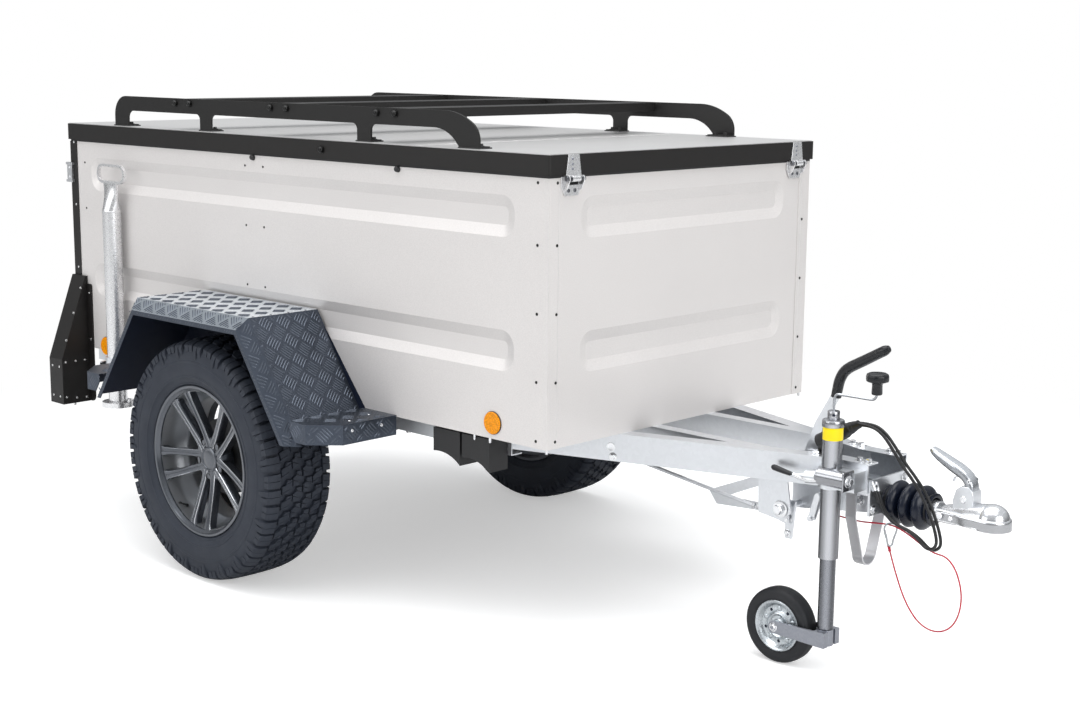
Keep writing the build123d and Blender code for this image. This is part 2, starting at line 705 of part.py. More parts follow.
def drawbar_rail():
    """Right rail of the V drawbar, a channel open towards the middle, bent parallel in front."""
    top = BODY_BOTTOM_Z
    low = top - DRAWBAR_DEPTH
    rail = drawbar_strip(DRAWBAR_FLANGE, low, low + DRAWBAR_WALL)
    rail += drawbar_strip(DRAWBAR_FLANGE, top - DRAWBAR_WALL, top)
    rail += drawbar_strip(DRAWBAR_WALL, low + DRAWBAR_WALL, top - DRAWBAR_WALL)
    return rail


def chassis_frame():
    """Side rails, cross members and the inner drawbar rails, welded into one frame."""
    rear = BODY_REAR_X
    top = BODY_BOTTOM_Z
    side = Pos(rear, -SIDE_RAIL_Y, top) * channel(
        SIDE_RAIL_FRONT_X - rear, FRAME_DEPTH, FRAME_FLANGE, FRAME_WALL
    )
    frame = side + mirrored(side)
    inner = SIDE_RAIL_Y - FRAME_WALL
    cross = channel(2 * inner, FRAME_DEPTH, FRAME_FLANGE, FRAME_WALL)
    for x in (rear, *CROSS_MEMBER_XS):
        frame += Pos(x, inner, top) * Rot(0, 0, -90) * cross
    run = DRAWBAR_FRONT_X - DRAWBAR_REAR_X
    rail = channel(run, DRAWBAR_DEPTH, INNER_RAIL_FLANGE, DRAWBAR_WALL)
    rail = Pos(DRAWBAR_REAR_X, -INNER_RAIL_Y, top) * rail.mirror(Plane.XZ)
    rail -= drawbar_strip(DRAWBAR_FLANGE, top - DRAWBAR_DEPTH, top)
    rail = max(rail.solids(), key=lambda solid: solid.volume)
    frame += rail
    frame += mirrored(rail)
    return frame


def axle_beam():
    """Rubber torsion axle: square tube, trailing arms, brake backplates and stub axles."""
    half = AXLE_TUBE / 2
    tube = block((AXLE_X - half, AXLE_X + half), (-AXLE_TUBE_HALF, AXLE_TUBE_HALF),
                 (AXLE_Z - half, AXLE_Z + half))
    tube = fillet(tube.edges().filter_by(Axis.Y), 8)
    for y in (-1, 1):
        pad_y = y * (SIDE_RAIL_Y - 25)
        tube += block((AXLE_X - 70, AXLE_X + 70), (pad_y - 25, pad_y + 25),
                      (AXLE_Z + half, BODY_BOTTOM_Z - FRAME_DEPTH))
    big = Pos(AXLE_X, AXLE_Z) * Circle(44)
    small = Pos(0, TYRE_RADIUS) * Circle(36)
    outline = make_hull(big.edges() + small.edges())
    arm = extrude(Plane.XZ * outline, amount=ARM_THICKNESS, dir=(0, -1, 0))
    arm = Pos(0, -AXLE_TUBE_HALF, 0) * arm
    stub_start = -AXLE_TUBE_HALF - ARM_THICKNESS
    stub = y_cylinder(STUB_RADIUS, -WHEEL_Y, stub_start, 0, TYRE_RADIUS)
    plate = y_cylinder(DRUM_RADIUS + 4, stub_start - 5, stub_start, 0, TYRE_RADIUS)
    side = arm + stub + plate
    return tube + side + mirrored(side)


# ---------------------------------------------------------------- wheels


def wheel_axis(shape):
    """Move a wheel piece drawn about the local Y axis to the right-hand wheel."""
    return Pos(0, -WHEEL_Y, TYRE_RADIUS) * shape


def revolved(points):
    """Revolve an outline of (radius, y) points about the local Y axis."""
    face = make_face(Polyline([(r, y, 0) for r, y in points], close=True))
    return revolve(face, axis=Axis.Y)


def tyre():
    """All-terrain tyre: crown, shoulders, bulged sidewalls and beads, hollow inside."""
    half = TYRE_WIDTH / 2
    bead_y = RIM_WIDTH / 2 - 12.5
    crown = TYRE_RADIUS
    inner = TYRE_RADIUS - TYRE_CROWN_THICKNESS
    foot = RIM_FLANGE_RADIUS + 1
    face = make_face([
        Line((crown, 0), (crown, half - 44)),
        Line((crown, half - 44), (crown - 5, half - 15)),
        ThreePointArc((crown - 5, half - 15), (crown - 10, half - 4), (crown - 24, half)),
        ThreePointArc((crown - 24, half), (crown - 76, half - 2), (foot + 5, half - 14)),
        Line((foot + 5, half - 14), (foot, bead_y + 4)),
        Line((foot, bead_y + 4), (BEAD_RADIUS, bead_y)),
        Line((BEAD_RADIUS, bead_y), (BEAD_RADIUS, bead_y - 22)),
        Line((BEAD_RADIUS, bead_y - 22), (foot + 7, half - 28)),
        ThreePointArc((foot + 7, half - 28), (crown - 76, half - 12), (crown - 34, half - 18)),
        Line((crown - 34, half - 18), (inner, half - 34)),
        Line((inner, half - 34), (inner, 0)),
        Line((inner, 0), (crown, 0)),
    ])
    side = revolve(face, axis=Axis.Y)
    return wheel_axis(side + side.mirror(Plane.XZ))


def spoke_window(points, corners, angle):
    """A hole through the wheel face, from an outline in the wheel's plane."""
    face = make_face(Polyline([(x, 0, z) for x, z in points], close=True))
    face = round_corners(face, [((x, 0, z), radius) for x, z, radius in corners])
    hole = extrude(face, amount=RIM_WIDTH, both=True, dir=(0, 1, 0))
    return Rot(0, angle, 0) * hole


def rim():
    """Alloy wheel: drop-centre barrel and a dished face cut into twin spokes."""
    half = RIM_WIDTH / 2
    seat = BEAD_RADIUS - 0.5
    wall = RIM_WALL
    drop = seat - 22
    barrel = revolved([
        (RIM_FLANGE_RADIUS, -half), (RIM_FLANGE_RADIUS, -half + 7), (seat, -half + 12),
        (seat, -half + 40), (drop, -half + 58), (drop, 10), (seat, 34), (seat, half - 12),
        (RIM_FLANGE_RADIUS, half - 7), (RIM_FLANGE_RADIUS, half), (RIM_FLANGE_RADIUS - 8, half),
        (seat - wall, half - 12 + 4), (seat - wall, 36), (drop - wall, 12),
        (drop - wall, -half + 56), (seat - wall, -half + 38), (seat - wall, -half + 8),
        (RIM_FLANGE_RADIUS - 10, -half),
    ])
    face_out = -half + 10
    disc = revolved([
        (0, face_out + 34), (34, face_out + 34), (70, face_out + 30), (seat - wall, face_out + 8),
        (seat - wall, face_out + 34), (80, face_out + 62), (72, face_out + 84), (0, face_out + 84),
    ])
    spread_in, spread_out = 6.0, 24.0
    r_in, r_out = 84.0, seat - wall - 7
    slot = [(r_in + 8, -spread_in), (r_out, -spread_out), (r_out, spread_out), (r_in + 8, spread_in)]
    slot_corners = [(r_in + 8, -spread_in, 4), (r_in + 8, spread_in, 4),
                    (r_out, -spread_out, 8), (r_out, spread_out, 8)]
    side_in, side_out = spread_in + SPOKE_WIDTH, spread_out + SPOKE_WIDTH
    pitch = 2 * pi / SPOKE_PAIRS

    def turned(x, z):
        return (x * cos(pitch) - z * sin(pitch), x * sin(pitch) + z * cos(pitch))

    reach = sqrt(r_out**2 - side_out**2)
    inner_a = (r_in, side_in)
    outer_a = (reach, side_out)
    outer_b = turned(reach, -side_out)
    inner_b = turned(r_in, -side_in)
    middle = (r_out / cos(pitch / 4) * cos(pitch / 2), r_out / cos(pitch / 4) * sin(pitch / 2))
    window = [inner_a, outer_a, middle, outer_b, inner_b]
    window_corners = [(*inner_a, 12), (*outer_a, 12), (*outer_b, 12), (*inner_b, 12), (*middle, 90)]
    for index in range(SPOKE_PAIRS):
        angle = SPOKE_TURN + index * 360 / SPOKE_PAIRS
        disc -= spoke_window(slot, slot_corners, angle)
        disc -= spoke_window(window, window_corners, angle)
    bolt_hole = y_cylinder(15, face_out, face_out + 50, BOLT_CIRCLE / 2, 0)
    for index in range(BOLT_COUNT):
        disc -= Rot(0, SPOKE_TURN - 36 + index * 360 / BOLT_COUNT, 0) * bolt_hole
    disc -= y_cylinder(34, face_out + 54, half, 0, 0)
    return wheel_axis(barrel + disc)


def hub():
    """Brake drum with the wheel flange, turning on the stub axle."""
    start = WHEEL_Y - AXLE_TUBE_HALF - ARM_THICKNESS - 5 - 3
    pad = -RIM_WIDTH / 2 + 10 + 84
    drum = y_cylinder(DRUM_RADIUS, pad, start, 0, 0)
    drum += y_cylinder(33, pad - 26, pad, 0, 0)
    drum -= y_cylinder(STUB_RADIUS + RUNNING_GAP, -1, start, 0, 0)
    return wheel_axis(drum)


# ---------------------------------------------------------------- fenders and steps


def fender_solid(inset):
    """The fender's outer form, shrunk by an inset: a trapezoid with its outer edges bevelled."""
    slope = (FENDER_BOTTOM_HALF - FENDER_TOP_HALF) / (FENDER_TOP_Z - FENDER_BOTTOM_Z)
    side = inset * sqrt(1 + slope**2)
    top = FENDER_TOP_Z - inset
    top_half = FENDER_TOP_HALF - side + inset * slope
    bottom_half = FENDER_BOTTOM_HALF - side
    outer_y = -FENDER_OUTER_Y + inset
    low = FENDER_BOTTOM_Z
    points = [(-bottom_half, low), (-top_half, top), (top_half, top), (bottom_half, low)]
    solid = upright_plate(points, [], outer_y, -HALF_WIDTH)
    outer_face = solid.faces().sort_by(Axis.Y)[0]
    edges = [edge for edge in outer_face.edges() if edge.center().Z > low + 1]
    return chamfer(edges, FENDER_CHAMFER - inset * 0.6)


def fender():
    """Tread-plate fender: top, two slopes, bevelled outer edge and a narrow lip."""
    shell = fender_solid(0) - fender_solid(FENDER_SHEET)
    slope = (FENDER_BOTTOM_HALF - FENDER_TOP_HALF) / (FENDER_TOP_Z - FENDER_BOTTOM_Z)
    drop = FENDER_CHAMFER + FENDER_LIP
    side = drop * sqrt(1 + slope**2)
    top = FENDER_TOP_Z - drop
    low = FENDER_BOTTOM_Z - 50
    top_half = FENDER_TOP_HALF - side + drop * slope
    bottom_half = FENDER_BOTTOM_HALF - side + 50 * slope
    points = [(-bottom_half, low), (-top_half, top), (top_half, top), (bottom_half, low)]
    arch = upright_plate(points, [], -FENDER_OUTER_Y - 10, -FENDER_OUTER_Y + FENDER_SHEET + 3)
    return shell - arch


def fender_steps():
    """Tread-plate steps before and behind each fender, with a folded skirt."""
    def outline(inset):
        root = FENDER_BOTTOM_HALF - STEP_ROOT_LAP
        far = STEP_END_X - inset
        outer = -STEP_OUTER_Y + inset
        corner = STEP_CORNER - inset * 0.4
        return [(root, -HALF_WIDTH), (far, -HALF_WIDTH), (far, outer + corner),
                (far - corner, outer), (root, outer)]

    low = STEP_TOP_Z - STEP_SKIRT
    slope = (FENDER_BOTTOM_HALF - FENDER_TOP_HALF) / (FENDER_TOP_Z - FENDER_BOTTOM_Z)
    step = level_plate(outline(0), [], low, STEP_TOP_Z)
    step -= level_plate(outline(FENDER_SHEET), [], low, STEP_TOP_Z - FENDER_SHEET)
    reach = FENDER_BOTTOM_Z - 60
    cut_low = FENDER_BOTTOM_HALF + 60 * slope + 0.5
    cut_high = FENDER_BOTTOM_HALF - 120 * slope + 0.5
    keep_out = upright_plate(
        [(0, reach), (cut_low, reach), (cut_high, FENDER_BOTTOM_Z + 120), (0, FENDER_BOTTOM_Z + 120)],
        [], -FENDER_OUTER_Y - 20, 0)
    step -= keep_out
    rear = step.mirror(Plane.YZ)
    return Compound([step, rear, mirrored(step), mirrored(rear)])


# ---------------------------------------------------------------- lamps


def lamp_bracket():
    """Folded black box on the rear corner that carries the tail lamp."""
    wall = -HALF_WIDTH - SHEET
    outer = wall - LAMP_BOX_REACH
    rear = BODY_REAR_X - LID_OVERHANG

    def section(inset):
        return [(wall, LAMP_BOX_BOTTOM_Z + inset), (wall, LAMP_BOX_APEX_Z - 1.6 * inset),
                (wall - 8, LAMP_BOX_APEX_Z - 1.6 * inset),
                (outer + inset, LAMP_BOX_SHOULDER_Z), (outer + inset, LAMP_BOX_BOTTOM_Z + inset)]

    def solid(inset, x_low, x_high):
        face = make_face(Polyline([(x_low, y, z) for y, z in section(inset)], close=True))
        return extrude(face, amount=x_high - x_low, dir=(1, 0, 0))

    front = rear + LAMP_BOX_DEPTH
    box = solid(0, rear, front)
    box -= solid(LAMP_BOX_SHEET, rear + LAMP_BOX_SHEET, front - LAMP_BOX_SHEET)
    flange_front = front + LAMP_BOX_FLANGE
    low, high = LAMP_BOX_BOTTOM_Z, LAMP_BOX_APEX_Z - LAMP_BOX_FLANGE
    flange = upright_plate([(front, low), (flange_front, low), (flange_front, high), (front, high)],
                           [(flange_front, low, 20), (flange_front, high, 8)],
                           wall - LAMP_BOX_SHEET, wall + SHEET)
    return box + flange


def tail_lamps():
    """Lamp units on the rear faces of the two brackets."""
    y = -HALF_WIDTH - SHEET - LAMP_BOX_REACH / 2
    rear = BODY_REAR_X - LID_OVERHANG
    z = LAMP_BOX_BOTTOM_Z + 12 + LAMP_HEIGHT / 2
    lamp = block((rear - LAMP_THICKNESS, rear), (y - LAMP_WIDTH / 2, y + LAMP_WIDTH / 2),
                 (z - LAMP_HEIGHT / 2, z + LAMP_HEIGHT / 2))
    lamp = fillet(lamp.faces().sort_by(Axis.X)[0].edges(), 4)
    return both_sides(lamp)


def side_reflectors():
    """Round orange reflectors on the side walls."""
    pieces = []
    for x, z in REFLECTOR_SPOTS:
        disc = y_cylinder(REFLECTOR_RADIUS, -HALF_WIDTH - REFLECTOR_HEIGHT, -HALF_WIDTH, x, z)
        disc = chamfer(disc.faces().sort_by(Axis.Y)[0].edges(), 1.5)
        pieces += [disc, mirrored(disc)]
    return Compound(pieces)


# ---------------------------------------------------------------- prop stands


def prop_stand():
    """Vertical tube with a round foot, its top flattened into a blade with an oval handle."""
    tube_top = STAND_TOP_Z - STAND_NECK
    tube_low = STAND_FOOT_Z + STAND_FOOT_PLATE
    centre = Pos(STAND_X, -STAND_Y)
    tube = centre * Pos(0, 0, tube_low) * extrude(
        Circle(STAND_RADIUS) - Circle(STAND_RADIUS - STAND_WALL), amount=tube_top - tube_low)
    round_end = Pos(STAND_X, -STAND_Y, tube_top) * Circle(STAND_RADIUS)
    flat_end = Pos(STAND_X, -STAND_Y, STAND_TOP_Z) * Rectangle(STAND_BLADE_WIDTH, STAND_BLADE)
    neck = loft([round_end, flat_end])
    handle_z = STAND_TOP_Z + STAND_HANDLE_HEIGHT / 2 - 2
    handle_centre = (STAND_X + STAND_HANDLE_SHIFT, -STAND_Y, handle_z)
    ring_path = Plane(origin=handle_centre, x_dir=(1, 0, 0), z_dir=(0, -1, 0))
    outer = SlotOverall(STAND_HANDLE_WIDTH, STAND_HANDLE_HEIGHT)
    inner = SlotOverall(STAND_HANDLE_WIDTH - 2 * STAND_BLADE, STAND_HANDLE_HEIGHT - 2 * STAND_BLADE)
    handle = extrude(ring_path * (outer - inner), amount=STAND_BLADE / 2 + 0.5, both=True)
    foot = centre * Pos(0, 0, STAND_FOOT_Z) * extrude(Circle(STAND_FOOT_RADIUS), amount=STAND_FOOT_PLATE)
    cup = Circle(STAND_FOOT_RADIUS) - Circle(STAND_FOOT_RADIUS - STAND_WALL)
    foot += centre * Pos(0, 0, tube_low) * extrude(cup, amount=STAND_FOOT_RIM)
    return tube + neck + handle + foot


def stand_clamps():
    """Clamp sleeves on the side rails, each with a wing screw."""
    low = BODY_BOTTOM_Z - FRAME_DEPTH
    high = low + STAND_CLAMP_HEIGHT
    bore = STAND_RADIUS + STAND_CLAMP_GAP
    sleeve = Pos(STAND_X, -STAND_Y, low) * extrude(
        Circle(bore + 5) - Circle(bore), amount=STAND_CLAMP_HEIGHT)
    bridge = block((STAND_X - 25, STAND_X + 25), (-STAND_Y, -SIDE_RAIL_Y), (low + 5, high - 5))
    bridge -= Pos(STAND_X, -STAND_Y, low) * extrude(Circle(bore + 1), amount=STAND_CLAMP_HEIGHT)
    sleeve += bridge
    middle = (low + high) / 2
    screw_x = STAND_X - bore - 5
    screw = Pos(screw_x - 11, -STAND_Y, middle) * Rot(0, 90, 0) * Cylinder(7, 24)
    wing = block((screw_x - 30, screw_x - 22), (-STAND_Y - 22, -STAND_Y + 22), (middle - 8, middle + 8))
    return both_sides(sleeve + screw + wing)


def wheel_chocks():
    """Two moulded chocks hung under the right-hand side rail."""
    y = -SIDE_RAIL_Y
    top = BODY_BOTTOM_Z - 6
    pieces = []
    for x in CHOCK_XS:
        end = x + CHOCK_LENGTH
        toe = top - CHOCK_DEPTH
        heel = top - CHOCK_HEEL
        outline = make_face([
            Line((x, 0, top), (end, 0, top)),
            Line((end, 0, top), (end, 0, toe)),
            ThreePointArc((end, 0, toe), (x + 0.55 * CHOCK_LENGTH, 0, heel - 2), (x, 0, heel)),
            Line((x, 0, heel), (x, 0, top)),
        ])
        pieces.append(Pos(0, y, 0) * extrude(outline, amount=CHOCK_WIDTH, dir=(0, -1, 0)))
    return Compound(pieces)


# ---------------------------------------------------------------- coupling


def overrun_housing():
    """Tapered pressed housing under the rails, end plate, and the tube for the drawshaft."""
    top = BODY_BOTTOM_Z - DRAWBAR_DEPTH
    points = [(HOUSING_REAR_X, HOUSING_REAR_Z), (DRAWBAR_FRONT_X, HOUSING_FRONT_Z),
              (DRAWBAR_FRONT_X, top), (HOUSING_REAR_X, top)]
    half = HOUSING_HALF_WIDTH
    body = upright_plate(points, [], -half, half)
    wall = HOUSING_WALL
    hollow = [(HOUSING_REAR_X + wall, HOUSING_REAR_Z + wall),
              (DRAWBAR_FRONT_X - wall, HOUSING_FRONT_Z + wall),
              (DRAWBAR_FRONT_X - wall, top - wall), (HOUSING_REAR_X + wall, top - wall)]
    body -= upright_plate(hollow, [], -half + wall, half - wall)
    flange = block((HOUSING_REAR_X, DRAWBAR_FRONT_X), (-DRAWBAR_FRONT_Y + 6, DRAWBAR_FRONT_Y - 6),
                   (top - wall, top))
    plate = block((DRAWBAR_FRONT_X, DRAWBAR_FRONT_X + END_PLATE), (-END_PLATE_HALF, END_PLATE_HALF),
                  (HOUSING_FRONT_Z, END_PLATE_TOP_Z))
    tube = x_cylinder(SHAFT_RADIUS + 6, DRAWBAR_FRONT_X + END_PLATE, BELLOWS_REAR_X + 20, 0, SHAFT_Z)
    bore = x_cylinder(SHAFT_RADIUS + RUNNING_GAP, DRAWBAR_FRONT_X - 70, BELLOWS_REAR_X + 30, 0, SHAFT_Z)
    return body + flange + plate + tube - bore + cable_glands() + breakaway_lug()


def x_cylinder(radius, x_low, x_high, y, z):
    """A cylinder lying along X."""
    length = x_high - x_low
    return Pos((x_low + x_high) / 2, y, z) * Rot(0, 90, 0) * Cylinder(radius, length)


BELLOWS_REAR_X = DRAWBAR_FRONT_X + 8


def bellows():
    """Rubber bellows over the drawshaft: rear cuff, three folds and front collar."""
    length = BELLOWS_FRONT_X - BELLOWS_REAR_X
    cuff = 12.0
    pitch = (length - 2 * cuff) / BELLOWS_FOLDS
    root, tip = BELLOWS_ROOT_RADIUS, BELLOWS_TIP_RADIUS
    x = BELLOWS_REAR_X
    lines = [Line((x, root - 4), (x, root)), Line((x, root), (x + cuff, root))]
    x += cuff
    for _ in range(BELLOWS_FOLDS):
        lines.append(ThreePointArc((x, root), (x + pitch / 2, tip), (x + pitch, root)))
        x += pitch
    front = BELLOWS_FRONT_X
    lines.append(Line((x, root), (front, root)))
    lines.append(Line((front, root), (front, root - 4)))
    lines.append(Line((front, root - 4), (BELLOWS_REAR_X, root - 4)))
    face = make_face(lines)
    body = revolve(face, axis=Axis.X)
    return Pos(0, 0, SHAFT_Z) * body


def coupling_head():
    """Pressed coupling head with ball socket, sleeve and the drawshaft behind it."""
    ball_x = HEAD_TIP_X - HEAD_RADIUS
    rear = BELLOWS_FRONT_X + 4
    neck_half = SHAFT_RADIUS + 7
    outline = make_hull(
        (Pos(ball_x, 0) * Circle(HEAD_RADIUS)).edges()
        + (Pos(rear + 8 + NECK_LENGTH / 2, 0) * Rectangle(NECK_LENGTH, 2 * neck_half)).edges()
    )
    body = Pos(0, 0, HEAD_BOTTOM_Z) * extrude(outline, amount=HEAD_TOP_Z - HEAD_BOTTOM_Z)
    body = fillet(body.faces().sort_by(Axis.Z)[-1].edges(), 10)
    dome = Pos(ball_x, 0, HEAD_DOME_Z) * Sphere(HEAD_DOME_RADIUS)
    dome -= Pos(ball_x, 0, HEAD_BOTTOM_Z - HEAD_RADIUS) * Cylinder(HEAD_RADIUS, 2 * HEAD_RADIUS)
    lip = Pos(0, 0, HEAD_BOTTOM_Z - 4) * extrude(Pos(ball_x, 0) * Circle(HEAD_RADIUS), amount=10)
    neck = block((rear, rear + NECK_LENGTH), (3 - neck_half, neck_half - 3), (NECK_BOTTOM_Z, HEAD_TOP_Z - 3))
    body = body + dome + lip + neck
    body += x_cylinder(SHAFT_RADIUS, DRAWBAR_FRONT_X - 60, rear + 12, 0, SHAFT_Z)
    body -= Pos(ball_x, 0, HEAD_BOTTOM_Z + 2) * Sphere(BALL_RADIUS + BALL_GAP)
    body -= Pos(ball_x, 0, HEAD_BOTTOM_Z - 16) * Cylinder(BALL_RADIUS + BALL_GAP, 36)
    return body


def coupling_handle():
    """Curved pressed grip that rises from the head and sweeps back over the bellows."""
    path = Spline((2097, 0, HEAD_TOP_Z), (2101, 0, 530), (2062, 0, 562), (1973, 0, 597),
                  tangents=((0, 0, 1), (-1, 0, 0.45)))
    section = Plane(origin=path @ 0, z_dir=path % 0) * RectangleRounded(14, 34, 5)
    web = upright_plate([(2054, HEAD_TOP_Z), (2092, HEAD_TOP_Z), (2096, 540), (2058, 560)], [], -6, 6)
    return sweep(section, path=path) + web


def handbrake_lever():
    """Flat lever rising from the housing between the rails."""
    points = [(1606, 484), (1650, 484), (1648, 560), (1668, 623), (1708, 697.8), (1686, 702.4)]
    points += [(1640, 623), (1612, 548)]
    corners = [(1648, 560, 30), (1668, 623, 60), (1640, 623, 60), (1612, 548, 30)]
    plate = upright_plate(points, corners, -19, -11)
    bracket = upright_plate([(1600, 481), (1700, 481), (1688, 548), (1612, 548)],
                            [(1688, 548, 14), (1612, 548, 14)], -26, -20)
    bracket += upright_plate([(1600, 481), (1700, 481), (1688, 548), (1612, 548)],
                             [(1688, 548, 14), (1612, 548, 14)], -10, -4)
    pin = y_cylinder(8, -32, 2, 1646, 520)
    return plate + bracket + pin


def handbrake_grip():
    """Bent rubber-covered bar on top of the lever."""
    path = FilletPolyline((1699, -15, 700), (1713, -15, 766), (1849, -15, 842), radius=50)
    return tube_along(path, 14)


YOKE_TOP_Z = BODY_BOTTOM_Z - DRAWBAR_DEPTH
YOKE = [
    (1204, 339), (1232, 303), (1420, 315), (1420, 334), (1264, 331),
    (1385, 385), (1580, YOKE_TOP_Z), (1545, YOKE_TOP_Z), (1371, 410),
]


def brake_linkage():
    """Gusset plates, pivot shaft, brake levers and the rod that runs back to the axle."""
    low_rail = BODY_BOTTOM_Z - DRAWBAR_DEPTH
    gusset = upright_plate([(1541, low_rail), (1634, low_rail), (1648, 400), (1620, 374), (1545, 384)],
                           [(1648, 400, 12), (1620, 374, 12)], -124, -120)
    far = upright_plate([(1541, low_rail), (1634, low_rail), (1648, 400), (1620, 374), (1545, 384)],
                        [(1648, 400, 12), (1620, 374, 12)], 120, 124)
    shaft = y_cylinder(9, -132, 132, 1615, 405)
    shaft -= block((1590, 1640), (-HOUSING_HALF_WIDTH, HOUSING_HALF_WIDTH), (380, 430))
    lever = upright_plate([(1600, 420), (1632, 420), (1622, 318), (1604, 318)], [], -84, -76)
    rod_end = AXLE_X + AXLE_TUBE / 2 + 0.6
    path = FilletPolyline((1608, -80, 369), (1010, -80, 447), (rod_end, -80, AXLE_Z + 14), radius=400)
    rod = tube_along(path, 5)
    yoke = upright_plate(YOKE, [], 104, 110)
    return gusset + far + shaft + lever + rod + yoke


def loop_strap():
    """Flat bar bent into a U under the housing."""
    half, low = STRAP_HALF, STRAP_BOTTOM_Z
    top = BODY_BOTTOM_Z - DRAWBAR_DEPTH - HOUSING_WALL
    foot, bend = STRAP_FOOT_HALF, low + 30
    outer = make_face([
        Line((-half, top), (-half, STRAP_KNEE_Z)),
        Line((-half, STRAP_KNEE_Z), (-foot, bend)),
        ThreePointArc((-foot, bend), (0, low), (foot, bend)),
        Line((foot, bend), (half, STRAP_KNEE_Z)),
        Line((half, STRAP_KNEE_Z), (half, top)),
        Line((half, top), (-half, top)),
    ])
    inner = offset(outer, amount=-STRAP_THICKNESS)
    strip = Plane.YZ * (outer - inner)
    strap = Pos(STRAP_X, 0, 0) * extrude(strip, amount=STRAP_WIDTH, dir=(1, 0, 0))
    opening = half - 12
    strap -= block((STRAP_X - 10, STRAP_X + STRAP_WIDTH + 10), (-opening, opening), (top - 10, top))
    return strap


# ---------------------------------------------------------------- plug and cords

CABLE_RADIUS = 4.0
BREAKAWAY_RADIUS = 2.0
PLUG_TIP = Vector(1690, -66, 585)
PLUG_TAIL = Vector(1803, -64, 650)
CABLE_PLUG = [
    Vector(1803, -60, 650), Vector(1842, -62, 656), Vector(1880, -66, 642),
    Vector(1914, -72, 612), Vector(1946, -76, 577), Vector(1979, -80, 549),
    Vector(2010, -82, 516), Vector(2034, -82, 474), Vector(2051, -80, 430),
    Vector(2059, -77, 394), Vector(2046, -74, 375), Vector(2023, -70, 371),
    Vector(1994, -67, 392), Vector(1962, -66, 406), Vector(1926, -65, 413),
    Vector(1896, -64, 432), Vector(1876, -62, 458), Vector(1863, -60, 486),
]
CABLE_BRAKE = [
    Vector(1803, -70, 650), Vector(1842, -71.5, 653), Vector(1879, -75, 638),
    Vector(1911, -81, 608), Vector(1942, -85, 573), Vector(1975, -89, 545),
    Vector(2005, -91, 511), Vector(2029, -91, 470), Vector(2045, -89, 430),
    Vector(2052, -86, 396), Vector(2039, -83, 377), Vector(2016, -79, 375),
    Vector(1989, -76, 396), Vector(1958, -75, 410), Vector(1924, -75, 418),
    Vector(1896, -75, 437), Vector(1877, -74, 463), Vector(1863, -74, 490),
]
BREAKAWAY = [
    Vector(1716, -45, 396), Vector(1758, -45, 396), Vector(1807, -46, 394),
    Vector(1859, -50, 402), Vector(1903, -54, 407), Vector(1936, -56, 400),
    Vector(1966, -57, 388), Vector(1997, -57, 372), Vector(2030, -59, 361),
    Vector(2062, -61, 361), Vector(2088, -63, 342), Vector(2106, -65, 309),
    Vector(2115, -66, 270), Vector(2111, -66, 228), Vector(2093, -64, 190),
    Vector(2061, -61, 167), Vector(2024, -58, 163), Vector(1990, -56, 177),
    Vector(1964, -55, 204), Vector(1944, -55, 236), Vector(1928, -54, 270),
    Vector(1914, -54, 304), Vector(1902, -54, 338),
]
HOOK_WIRE = 4.0
HOOK_WIDTH = 28.0
FERRULE_RADIUS = 4.0
FERRULE_LENGTH = 16.0
GLAND_RADIUS = 6.5
GLAND_LENGTH = 24.0


def plug_axis(shape, along):
    """Place a piece drawn about local Z on the plug's axis, at a distance from its tip."""
    return Plane(origin=PLUG_TIP, z_dir=PLUG_TAIL - PLUG_TIP) * Pos(0, 0, along) * shape


def plug_holder():
    """Parking socket for the plug on a small foot on the right rail."""
    socket = extrude(Circle(22) - Circle(18.5), amount=34)
    socket += extrude(Circle(22), amount=3)
    piece = plug_axis(socket, 0)
    foot = block((PLUG_TIP.X - 2, PLUG_TIP.X + 22), (PLUG_TIP.Y - 7, PLUG_TIP.Y + 7), (BODY_BOTTOM_Z, 584))
    foot -= plug_axis(extrude(Circle(20), amount=40), 0)
    return piece + foot


def trailer_plug():
    """Round plug in its parking socket, with a tapered tail for the two cables."""
    length = (PLUG_TAIL - PLUG_TIP).length
    body = Pos(0, 0, 4) * extrude(Circle(18), amount=44)
    body += Pos(0, 0, 48) * extrude(Circle(20), amount=26)
    tail = loft([Pos(0, 0, 74) * Circle(20), Pos(0, 0, length - 4) * Circle(11)])
    plug = plug_axis(body + tail, 0)
    return plug - block((1803, 1900), (-100, 0), (600, 700))


def snap_hook():
    """Spring hook of bent wire, clipped over its own cable, with the cable's ferrule."""
    crossing = BREAKAWAY[4]
    end = BREAKAWAY[-1]
    high = crossing.Z + BREAKAWAY_RADIUS + HOOK_WIRE
    low = end.Z + FERRULE_LENGTH - HOOK_WIRE
    height = high - low
    ring = SlotOverall(height, HOOK_WIDTH, rotation=90)
    ring -= SlotOverall(height - 2 * HOOK_WIRE, HOOK_WIDTH - 2 * HOOK_WIRE, rotation=90)
    place = Pos(crossing.X - HOOK_WIRE / 2, crossing.Y, (high + low) / 2)
    loop = place * Rot(0, 0, -45) * extrude(Plane.YZ * ring, amount=HOOK_WIRE, dir=(1, 0, 0))
    ferrule = Plane(origin=end, z_dir=end - BREAKAWAY[-2]) * extrude(
        Circle(FERRULE_RADIUS), amount=FERRULE_LENGTH)
    return loop + ferrule


def cable_glands():
    """Glands on the drawbar's end plate, in line with the lower ends of the two cables."""
    glands = []
    for route in (CABLE_PLUG, CABLE_BRAKE):
        place = Plane(origin=route[-1], z_dir=route[-1] - route[-2])
        glands.append(place * extrude(Circle(GLAND_RADIUS), amount=GLAND_LENGTH))
    return glands[0] + glands[1]


